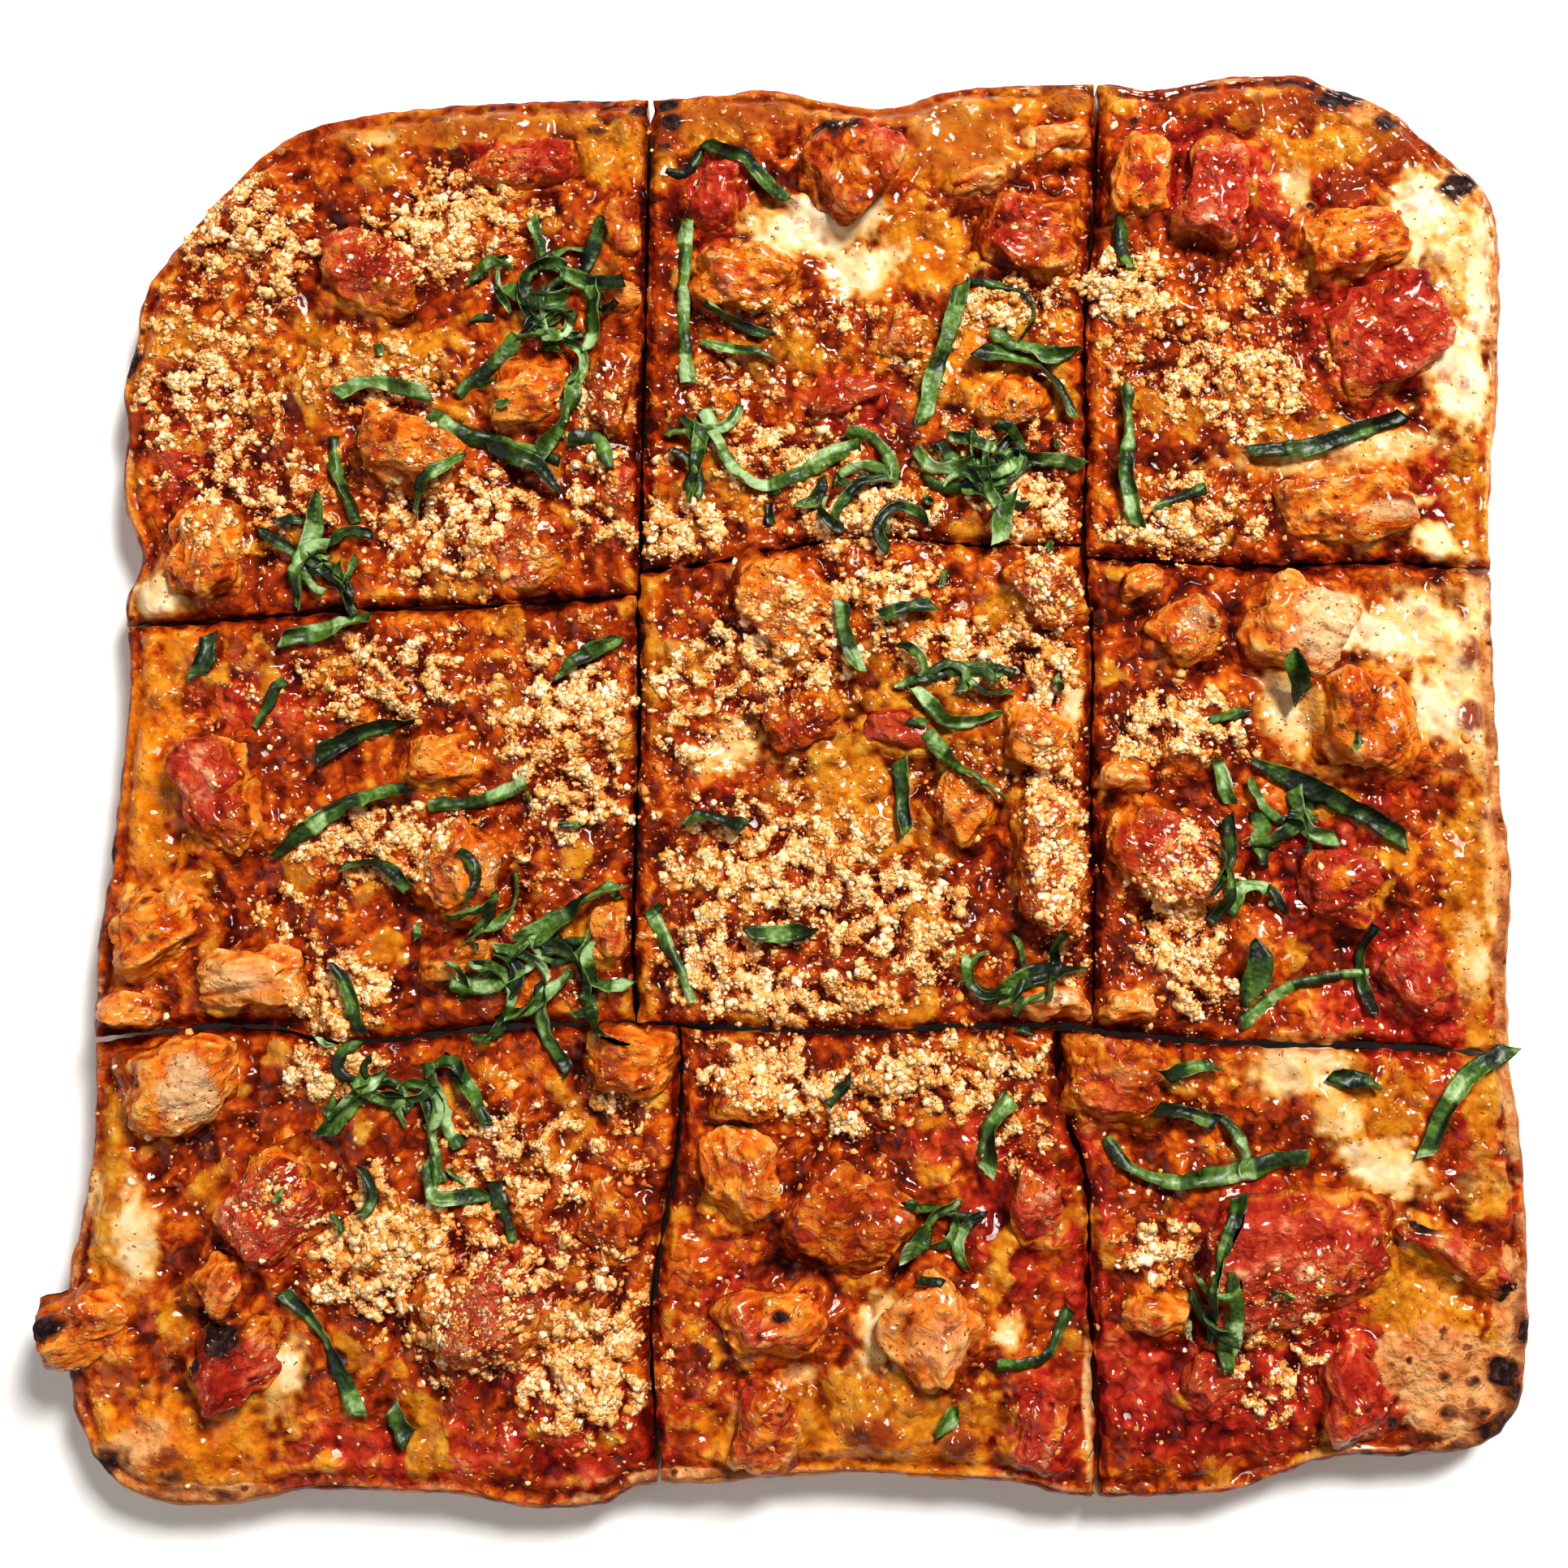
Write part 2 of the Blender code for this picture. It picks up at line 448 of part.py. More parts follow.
def sauce_rings(ring, outer):
    """Plan rings of the sauce layer: its lower edge and the line where its top starts to fall."""
    lower = inset(ring, outer, SAUCE_INSET + FIT_GAP, 0.0)
    upper = inset(ring, outer, SAUCE_INSET + FIT_GAP + SAUCE_SHOULDER, SAUCE_SHOULDER)
    return lower, upper


def add_grid(shell, grid):
    """Upward triangles over a grid of points that runs back to front and left to right."""
    for j in range(grid.shape[0] - 1):
        for i in range(grid.shape[1] - 1):
            shell.quad(grid[j, i], grid[j + 1, i], grid[j + 1, i + 1], grid[j, i + 1])


def make_sauce(row, column, ring, outer):
    """Sauce and cheese over one slice: flat below, with a rounded edge and a swelling top."""
    shell = Shell()
    lower, upper = sauce_rings(ring, outer)
    floor = at_height(lower, DOUGH_HEIGHT + FIT_GAP)
    lip = at_height(lower, sauce_level(lower, row, column) - SAUCE_DROP)
    grid = filled_grid(upper)
    top = np.dstack([grid, sauce_level(grid, row, column)])
    shoulder = at_height(upper, sauce_level(upper, row, column))
    shell.face(floor)
    shell.band(floor, lip)
    shell.band(lip, shoulder)
    add_grid(shell, top)
    return shell.build(f"topping_r{row + 1}_c{column + 1}", "sauce")


def make_cutter(row, column, ring, outer):
    """Solid under the sauce's top raised by the fit gap, wide enough to cut what hangs over an edge."""
    shell = Shell()
    lower, upper = sauce_rings(ring, outer)
    grid = filled_grid(upper)
    top = np.dstack([grid, sauce_level(grid, row, column) + FIT_GAP])
    shoulder = at_height(upper, sauce_level(upper, row, column) + FIT_GAP)
    lip = at_height(lower, sauce_level(lower, row, column) - SAUCE_DROP + FIT_GAP)
    edge = lip.copy()
    for side, (right, away) in enumerate(((0, 1), (1, 0), (0, -1), (-1, 0))):
        stretch = np.arange(side * CELLS, (side + 1) * CELLS + 1) % len(ring)
        reach = APRON if outer[side] else FIT_GAP
        edge[stretch, 0] += right * reach
        edge[stretch, 1] += away * reach
    base = at_height(edge[:, :2], -0.02)
    shell.face(base)
    shell.band(base, edge)
    shell.band(edge, lip)
    shell.band(lip, shoulder)
    add_grid(shell, top)
    item = shell.build("cutter", "sauce")
    item.hide_render = True
    item.display_type = "WIRE"
    return item


def chunk_radius(toward, seed):
    """Radius of a chopped chunk in a unit box: its cut faces n at distance k, rounded together as
    (sum of max(0, n.d / k)^p)^(-1/p)."""
    draw = np.random.default_rng(seed)
    sides = np.array([(1, 0, 0), (-1, 0, 0), (0, 1, 0), (0, -1, 0), (0, 0, 1), (0, 0, -1)], float)
    sides += draw.uniform(-0.22, 0.22, sides.shape)
    slants = draw.uniform(-1, 1, (5, 3))
    slants[:, 2] = np.abs(slants[:, 2]) * 0.8 + 0.15
    faces = np.vstack([sides, slants])
    faces /= np.linalg.norm(faces, axis=1, keepdims=True)
    distance = np.concatenate([draw.uniform(0.86, 1.0, 6), draw.uniform(0.86, 1.12, 5)])
    reach = np.maximum(toward @ faces.T / distance, 0.0)
    return (reach ** CHUNK_EDGE).sum(axis=-1) ** (-1.0 / CHUNK_EDGE)


def large_chunks():
    """Places in the list of the pieces that are solids of their own, in the list's order."""
    by_size = sorted(range(len(CHUNKS)), key=lambda index: -CHUNKS[index][2] * CHUNKS[index][3])
    return sorted(by_size[:CHUNK_NODES])


def ball_directions(turns, rings):
    """Unit directions in level rings, without the two poles."""
    turn = np.linspace(0, 2 * math.pi, turns, endpoint=False)[None]
    rise = np.linspace(-math.pi / 2, math.pi / 2, rings + 2)[1:-1, None]
    return np.stack([np.cos(rise) * np.cos(turn), np.cos(rise) * np.sin(turn),
                     np.sin(rise) + 0 * turn], axis=-1)


def make_chunk(name, index, row, column, turns, rings):
    """One chopped piece, its top at its listed height over the sauce and its base below it."""
    px, py, length, width, height, turn, dressing = CHUNKS[index]
    middle = on_plane((px, py), EYE_LEVEL + 0.0005 * height)
    half = np.array([length, width, height + CHUNK_SINK]) * 0.0005
    level = float(sauce_level(middle[None], row, column)[0])
    centre = np.array([*middle, level + 0.001 * height - half[2]])
    cos, sin = math.cos(math.radians(turn)), math.sin(math.radians(turn))

    def placed(toward):
        local = toward * chunk_radius(toward, index + 1)[..., None] * half
        return centre + np.stack([local[..., 0] * cos - local[..., 1] * sin,
                                  local[..., 0] * sin + local[..., 1] * cos, local[..., 2]], axis=-1)

    body = placed(ball_directions(turns, rings))
    foot, crown = placed(np.array([(0.0, 0.0, -1.0), (0.0, 0.0, 1.0)]))
    lowest = DOUGH_HEIGHT + FIT_GAP + SINK_STOP
    body[..., 2] = np.maximum(body[..., 2], lowest + 0.0002 * np.arange(rings)[:, None])
    foot[2] = lowest - 0.0002
    shell = Shell()
    for k in range(turns):
        m = (k + 1) % turns
        shell.face([foot, body[0, m], body[0, k]])
        shell.face([crown, body[-1, k], body[-1, m]])
        for j in range(rings - 1):
            shell.quad(body[j, k], body[j, m], body[j + 1, m], body[j + 1, k])
    return shell.build(name, dressing)


def bake_modifiers(item):
    """Replace an object's mesh by its evaluated mesh and drop its modifiers."""
    bpy.context.view_layer.update()
    graph = bpy.context.evaluated_depsgraph_get()
    mesh = bpy.data.meshes.new_from_object(item.evaluated_get(graph))
    item.modifiers.clear()
    item.data = mesh


def cut_away(item, cutter):
    """Take the cutter's space out of an object."""
    cut = item.modifiers.new("cut", "BOOLEAN")
    cut.operation = "DIFFERENCE"
    cut.solver = "EXACT"
    cut.object = cutter
    bake_modifiers(item)


def drop_scraps(item):
    """Keep the largest connected body of an object's mesh."""
    shape = bmesh.new()
    shape.from_mesh(item.data)
    left = set(shape.verts)
    bodies = []
    while left:
        front = [left.pop()]
        body = list(front)
        while front:
            near = {edge.other_vert(v) for v in front for edge in v.link_edges} & left
            left -= near
            front = list(near)
            body += front
        bodies.append(body)
    bodies.sort(key=len)
    bmesh.ops.delete(shape, geom=[v for body in bodies[:-1] for v in body], context="VERTS")
    shape.to_mesh(item.data)
    shape.free()


def fuse(item, pieces):
    """Join the pieces to an object in one union, and remove them."""
    group = bpy.data.collections.new("fused")
    bpy.context.scene.collection.children.link(group)
    for piece in pieces:
        bpy.context.scene.collection.objects.unlink(piece)
        group.objects.link(piece)
    union = item.modifiers.new("fuse", "BOOLEAN")
    union.operation = "UNION"
    union.solver = "EXACT"
    union.operand_type = "COLLECTION"
    union.collection = group
    bake_modifiers(item)
    for piece in pieces:
        bpy.data.objects.remove(piece, do_unlink=True)
    bpy.data.collections.remove(group)
    drop_scraps(item)


def surface_of(item):
    """Lookup of an object's faces for rays."""
    mesh = item.data
    mesh.calc_loop_triangles()
    points = [v.co.copy() for v in mesh.vertices]
    return BVHTree.FromPolygons(points, [tuple(t.vertices) for t in mesh.loop_triangles])


def drop_on(surface, place):
    """Height of the surface under a plan place, or None beside it."""
    hit = surface.ray_cast(Vector((place[0], place[1], 0.2)), Vector((0, 0, -1)))
    return None if hit[0] is None else hit[0].z


def clear_of_chunks(place, spare):
    """True where a plan place is at least `spare` from every chunk's outline box."""
    for px, py, length, width, height, turn, _ in CHUNKS:
        middle = on_plane((px, py), EYE_LEVEL + 0.0005 * height)
        away = np.asarray(place) - middle
        angle = math.radians(turn)
        along = abs(away[0] * math.cos(angle) + away[1] * math.sin(angle))
        across = abs(-away[0] * math.sin(angle) + away[1] * math.cos(angle))
        if along < length * 0.0005 + spare and across < width * 0.0005 + spare:
            return False
    return True


def longest_run(flags):
    """Start and end of the longest stretch of true values."""
    best = (0, 0)
    start = None
    for k, flag in enumerate(list(flags) + [False]):
        if flag and start is None:
            start = k
        if not flag and start is not None:
            if k - start > best[1] - best[0]:
                best = (start, k)
            start = None
    return best


def inside_ring(ring, place, spare):
    """True where a plan place lies inside a clockwise ring by at least `spare`."""
    ahead = np.roll(ring, -1, axis=0) - ring
    away = place - ring
    share = np.clip((away * ahead).sum(axis=1) / (ahead ** 2).sum(axis=1), 0, 1)
    gap = np.linalg.norm(away - ahead * share[:, None], axis=1).min()
    crossing = (ring[:, 1] > place[1]) != (np.roll(ring, -1, axis=0)[:, 1] > place[1])
    with np.errstate(divide="ignore", invalid="ignore"):
        meet = ring[:, 0] + (place[1] - ring[:, 1]) / ahead[:, 1] * ahead[:, 0]
    return bool((crossing & (meet > place[0])).sum() % 2) and gap >= spare


def make_ribbon(path, width, surface, seed):
    """Basil strip: a thin oblong carried along the path, half sunk, rocking from side to side."""
    heights = [drop_on(surface, place) for place in path]
    if any(height is None for height in heights):
        return None
    along = np.gradient(path, axis=0)
    along /= np.linalg.norm(along, axis=1, keepdims=True)
    side = np.stack([-along[:, 1], along[:, 0]], axis=-1)
    t = np.linspace(0, 1, len(path))
    taper = 0.35 + 0.65 * np.sin(math.pi * np.clip(t, 0.06, 0.94)) ** 0.5
    rock = 0.0003 * np.sin(7 * t + seed)
    left = path + side * (width / 2 * taper)[:, None]
    right = path - side * (width / 2 * taper)[:, None]
    low = np.array(heights) - RIBBON_SINK
    high = low + RIBBON_SINK + RIBBON_THICK
    rims = [np.column_stack([left, low]), np.column_stack([right, low]),
            np.column_stack([right, high - rock]), np.column_stack([left, high + rock])]
    shell = Shell()
    for k in range(len(path) - 1):
        for a in range(4):
            b = (a + 1) % 4
            shell.quad(rims[a][k], rims[b][k], rims[b][k + 1], rims[a][k + 1])
    shell.quad(*(rims[a][0] for a in (3, 2, 1, 0)))
    shell.quad(*(rims[a][-1] for a in (0, 1, 2, 3)))
    return shell.build("ribbon", "sauce")


def ribbon_runs(rings):
    """The longest clear stretches of the basil strips, each with its slice, longest first."""
    runs = []
    for seed, (points, width) in enumerate(BASIL):
        path = smooth(on_plane(points, EYE_LEVEL), 60)
        for key, ring in rings.items():
            spare = width * 0.0005 + 0.0026
            flags = [inside_ring(ring, place, spare + 0.001) and clear_of_chunks(place, spare)
                     for place in path]
            start, end = longest_run(flags)
            if end - start < 8:
                continue
            stretch = path[start:end]
            length = np.linalg.norm(np.diff(stretch, axis=0), axis=1).sum()
            if length >= RIBBON_MIN_LENGTH:
                steps = max(3, round(length / RIBBON_STEP))
                runs.append((length, seed, key, spread(stretch, np.linspace(0, 1, steps + 1)), width))
    runs.sort(key=lambda run: (-run[0], run[1]))
    return runs[:RIBBON_COUNT]


def make_lump(place, size, height):
    """Lump of grated cheese: a twenty-sided ball, half sunk."""
    mesh = bpy.data.meshes.new("lump")
    golden = (1 + 5 ** 0.5) / 2
    corners = [(s * a, t * b, 0.0) for s in (1, -1) for t in (1, -1) for a, b in ((1, golden),)]
    points = [c for x, y, z in corners for c in ((x, y, z), (z, x, y), (y, z, x))]
    points = np.array(points) * size / (2 * math.hypot(1, golden))
    hull = [(place[0] + x, place[1] + y, height + 0.8 * z) for x, y, z in points]
    reach = 2 * size / (2 * math.hypot(1, golden)) * 1.02
    faces = []
    for a in range(12):
        for b in range(a + 1, 12):
            for c in range(b + 1, 12):
                p, q, r = points[a], points[b], points[c]
                if max(np.linalg.norm(p - q), np.linalg.norm(q - r), np.linalg.norm(r - p)) < reach:
                    outward = np.dot(np.cross(q - p, r - p), p + q + r) > 0
                    faces.append((a, b, c) if outward else (a, c, b))
    mesh.from_pydata(hull, [], faces)
    item = bpy.data.objects.new("lump", mesh)
    bpy.context.scene.collection.objects.link(item)
    return item


def lumps_on(key, ring, surface):
    """Seeded lumps of grated cheese within the heaps of one slice, clear of the chunks."""
    draw = np.random.default_rng(100 + 3 * key[0] + key[1])
    made = []
    for px, py, radius in HEAPS:
        angle, away, size = draw.uniform(0, 2 * math.pi), draw.uniform(0.0, 0.6), draw.uniform(*LUMP_SIZE)
        place = on_plane((px, py), EYE_LEVEL)
        place = place + away * radius * 0.001 * np.array([math.cos(angle), math.sin(angle)])
        if inside_ring(ring, place, 0.004) and clear_of_chunks(place, size + 0.0006):
            made.append(make_lump(place, 2 * size, drop_on(surface, place)))
    return made


def slice_of(place, rings):
    """The slice that holds a plan place, or the nearest one."""
    for key, ring in rings.items():
        if inside_ring(ring, place, 0.0):
            return key
    return min(rings, key=lambda key: np.linalg.norm(rings[key] - place, axis=1).min())


def build():
    clear_scene()
    rings, outers, sauces, surfaces, loose, cutters = {}, {}, {}, {}, {}, {}
    for row in range(3):
        for column in range(3):
            key = (row, column)
            rings[key] = slice_ring(slice_edges(row, column))
            outers[key] = (row == 0, column == 2, row == 2, column == 0)
            make_crust(row, column, rings[key], outers[key])
            sauces[key] = make_sauce(row, column, rings[key], outers[key])
            surfaces[key] = surface_of(sauces[key])
            cutters[key] = make_cutter(row, column, rings[key], outers[key])
            loose[key] = []

    large = large_chunks()
    for index, (px, py, *_) in enumerate(CHUNKS):
        key = slice_of(on_plane((px, py), EYE_LEVEL), rings)
        if index in large:
            name = f"chicken_{large.index(index) + 1:02d}"
            piece = make_chunk(name, index, *key, CHUNK_TURNS, CHUNK_RINGS)
            cut_away(piece, cutters[key])
        else:
            loose[key].append(make_chunk("piece", index, *key, SMALL_TURNS, SMALL_RINGS))
    for cutter in cutters.values():
        bpy.data.objects.remove(cutter, do_unlink=True)

    for _, seed, key, path, width in ribbon_runs(rings):
        ribbon = make_ribbon(path, width * 0.001, surfaces[key], seed)
        if ribbon:
            loose[key].append(ribbon)
    for key, sauce in sauces.items():
        fuse(sauce, loose[key] + lumps_on(key, rings[key], surfaces[key]))


build()
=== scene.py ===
"""Looks of the square chicken parmesan pizza: baked dough, sauce and cheese, chicken, parmesan, basil.

Lengths are metres unless a name says otherwise. Places on top are points of a square picture taken
from nearly straight above, as in the part's own source; `on_plane` turns them into plan places.
The surfaces are worked out with numpy, all but the crumbs on a grid of two parameters. Each finish is
a node material that reads Object coordinates and the masks stored on the mesh.
"""
import math

import bpy
import numpy as np
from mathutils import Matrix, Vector
from mathutils.bvhtree import BVHTree


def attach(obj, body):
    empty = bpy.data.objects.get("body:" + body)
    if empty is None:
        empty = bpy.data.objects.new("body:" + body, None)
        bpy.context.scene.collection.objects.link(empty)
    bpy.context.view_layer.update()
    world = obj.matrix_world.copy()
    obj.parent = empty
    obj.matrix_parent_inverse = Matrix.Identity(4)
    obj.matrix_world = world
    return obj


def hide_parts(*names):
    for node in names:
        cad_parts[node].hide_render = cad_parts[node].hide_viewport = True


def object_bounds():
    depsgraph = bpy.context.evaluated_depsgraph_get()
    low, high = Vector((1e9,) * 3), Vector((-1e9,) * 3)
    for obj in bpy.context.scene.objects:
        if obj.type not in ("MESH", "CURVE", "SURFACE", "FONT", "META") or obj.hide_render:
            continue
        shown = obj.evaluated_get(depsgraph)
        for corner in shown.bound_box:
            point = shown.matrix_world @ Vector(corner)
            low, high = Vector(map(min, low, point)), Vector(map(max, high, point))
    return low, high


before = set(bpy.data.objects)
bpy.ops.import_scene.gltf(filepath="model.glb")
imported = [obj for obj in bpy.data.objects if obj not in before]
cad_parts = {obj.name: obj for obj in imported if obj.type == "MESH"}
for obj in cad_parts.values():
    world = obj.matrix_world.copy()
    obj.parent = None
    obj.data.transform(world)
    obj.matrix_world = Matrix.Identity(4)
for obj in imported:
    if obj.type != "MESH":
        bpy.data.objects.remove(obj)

CAD_BOX = [list(corner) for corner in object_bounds()]
LOW, HIGH = np.array(CAD_BOX)
MM = 0.001
HALF_MM = 0.0005
BOX_MARGIN = 0.0002

# Heights and widths of the layers and chunks, as in the solids
DOUGH_HEIGHT = 0.0120
RIM_RISE = 0.0024
BULGE_HEIGHT = 0.0065
SAUCE_DEPTH = 0.0036
SAUCE_WAVE = 0.0006
MIDDLE_LIFT = 0.0010
FIT_GAP = 0.0003
SLICE_GAP = 0.0018
FOOT_INSET = 0.0022
CREST_INSET = 0.0026
SAUCE_INSET = 0.0056
CHUNK_EDGE = 6.0
CHUNK_SINK = 2.6
SINK_STOP = 0.0008
CEILING_EASE = 0.0005
CHUNK_BOX = 0.62
CHUNK_ROUND = 0.36
CHUNK_REACH = 0.032
LEFT_BY_OVERHANG = -0.172

# The picture that places are read from, seen from a tilted eye above the middle
PICTURE_MIDDLE = 966.0
PICTURE_SIZE = 1932
FOCAL_PIXELS = 2270.0
EYE_DISTANCE = 0.455
EYE_TILT = math.radians(6.87)
EYE_LEVEL = 0.0150
EYE_SHIFT = (-0.00345, -0.0069)

# Outline of the whole and its cuts, as picture points
OUTLINE_HEIGHT = 0.0120
CUT_HEIGHT = 0.0150
BACK_EDGE = [
    (262, 250), (320, 192), (392, 152), (500, 133), (640, 123), (760, 121), (880, 115), (950, 108),
    (1050, 128), (1110, 127), (1165, 110), (1260, 102), (1350, 100), (1425, 108), (1480, 97), (1590, 90),
    (1650, 110), (1705, 130), (1750, 165), (1792, 200)]
RIGHT_EDGE = [
    (1792, 200), (1832, 236), (1849, 300), (1850, 460), (1840, 610), (1842, 740), (1846, 860),
    (1852, 960), (1866, 1090), (1860, 1190), (1866, 1320), (1880, 1430), (1886, 1560), (1885, 1670),
    (1876, 1728), (1852, 1768)]
FRONT_EDGE = [
    (112, 1798), (150, 1836), (205, 1856), (290, 1858), (390, 1840), (500, 1843), (580, 1848),
    (650, 1862), (740, 1859), (795, 1834), (900, 1830), (1040, 1820), (1150, 1826), (1260, 1832),
    (1320, 1847), (1500, 1844), (1570, 1823), (1640, 1801), (1740, 1797), (1812, 1791), (1852, 1768)]
LEFT_EDGE = [
    (262, 250), (215, 306), (176, 360), (163, 430), (147, 485), (155, 530), (148, 590), (152, 635),
    (172, 690), (152, 745), (156, 830), (150, 920), (140, 1000), (130, 1090), (115, 1180), (113, 1300),
    (111, 1400), (96, 1500), (82, 1570), (80, 1660), (88, 1730), (112, 1798)]
DOWN_CUTS = [
    [[(802, 80), (798, 300), (793, 500), (789, 780)],
     [(786, 700), (788, 900), (783, 1050), (781, 1180), (788, 1300)],
     [(836, 1220), (838, 1380), (820, 1500), (803, 1610), (806, 1720), (815, 1880)]],
    [[(1352, 60), (1348, 250), (1336, 400), (1338, 520), (1334, 730)],
     [(1330, 640), (1345, 790), (1343, 950), (1347, 1100), (1346, 1310)],
     [(1304, 1220), (1306, 1350), (1338, 1450), (1342, 1600), (1352, 1740), (1354, 1890)]],
]
ACROSS_CUTS = [
    [[(110, 772), (260, 766), (420, 752), (620, 746), (850, 728)],
     [(740, 712), (880, 694), (1000, 672), (1120, 664), (1230, 674), (1390, 670)],
     [(1280, 684), (1420, 692), (1560, 698), (1700, 694), (1900, 708)]],
    [[(60, 1290), (220, 1268), (330, 1266), (430, 1284), (620, 1266), (840, 1258)],
     [(730, 1258), (900, 1266), (1060, 1272), (1200, 1264), (1400, 1266)],
     [(1290, 1264), (1450, 1280), (1600, 1288), (1720, 1290), (1920, 1306)]],
]

# Swells of cheese: picture point, radius and rise in millimetres
SWELLS = [
    (300, 300, 13, 1.6), (560, 300, 15, 2.0), (440, 455, 15, 1.8), (180, 735, 9, 2.6),
    (330, 560, 12, 1.2), (740, 560, 9, 2.0), (580, 690, 12, 1.4), (250, 430, 12, 1.2),
    (1180, 175, 20, 1.8), (1000, 300, 16, 1.6), (1225, 385, 13, 2.6), (820, 655, 11, 2.2),
    (1040, 645, 14, 2.2), (1270, 645, 10, 2.6), (900, 600, 12, 1.0), (1395, 360, 13, 2.6),
    (1560, 465, 15, 2.0), (1480, 640, 13, 2.2), (1770, 480, 14, 1.8), (1600, 200, 14, 1.4),
    (430, 1215, 12, 3.0), (470, 1030, 16, 1.6), (420, 1120, 12, 1.6), (560, 860, 13, 1.6),
    (700, 900, 14, 1.4), (300, 850, 14, 1.0), (200, 930, 12, 1.2), (690, 1225, 12, 2.0),
    (970, 800, 13, 2.2), (1070, 760, 14, 2.4), (1060, 1020, 16, 2.4), (980, 1110, 18, 2.2),
    (1170, 1150, 12, 2.0), (900, 1210, 14, 2.0), (1080, 1220, 12, 2.2), (860, 930, 13, 1.6),
    (1450, 870, 12, 2.6), (1470, 930, 10, 2.0), (1460, 1200, 13, 3.0), (1680, 790, 14, 1.8),
    (1600, 920, 12, 1.6), (1770, 900, 12, 1.6), (1790, 1100, 16, 1.8), (1560, 1180, 10, 1.4),
    (415, 1330, 12, 2.6), (470, 1530, 17, 2.8), (740, 1700, 14, 3.0), (630, 1740, 12, 1.4),
    (690, 1520, 12, 1.8), (170, 1520, 14, 1.8), (150, 1760, 15, 1.4), (350, 1740, 14, 1.4),
    (920, 1340, 12, 1.6), (1100, 1310, 12, 1.8), (1240, 1350, 12, 1.6), (1080, 1680, 14, 2.0),
    (1060, 1770, 14, 1.2), (1230, 1660, 12, 1.4), (1575, 1325, 16, 2.4), (1640, 1375, 9, 2.0),
    (1720, 1440, 14, 1.6), (1440, 1530, 12, 1.4), (1780, 1650, 16, 1.6), (1560, 1700, 10, 1.2),
    (1800, 1350, 12, 1.4)]

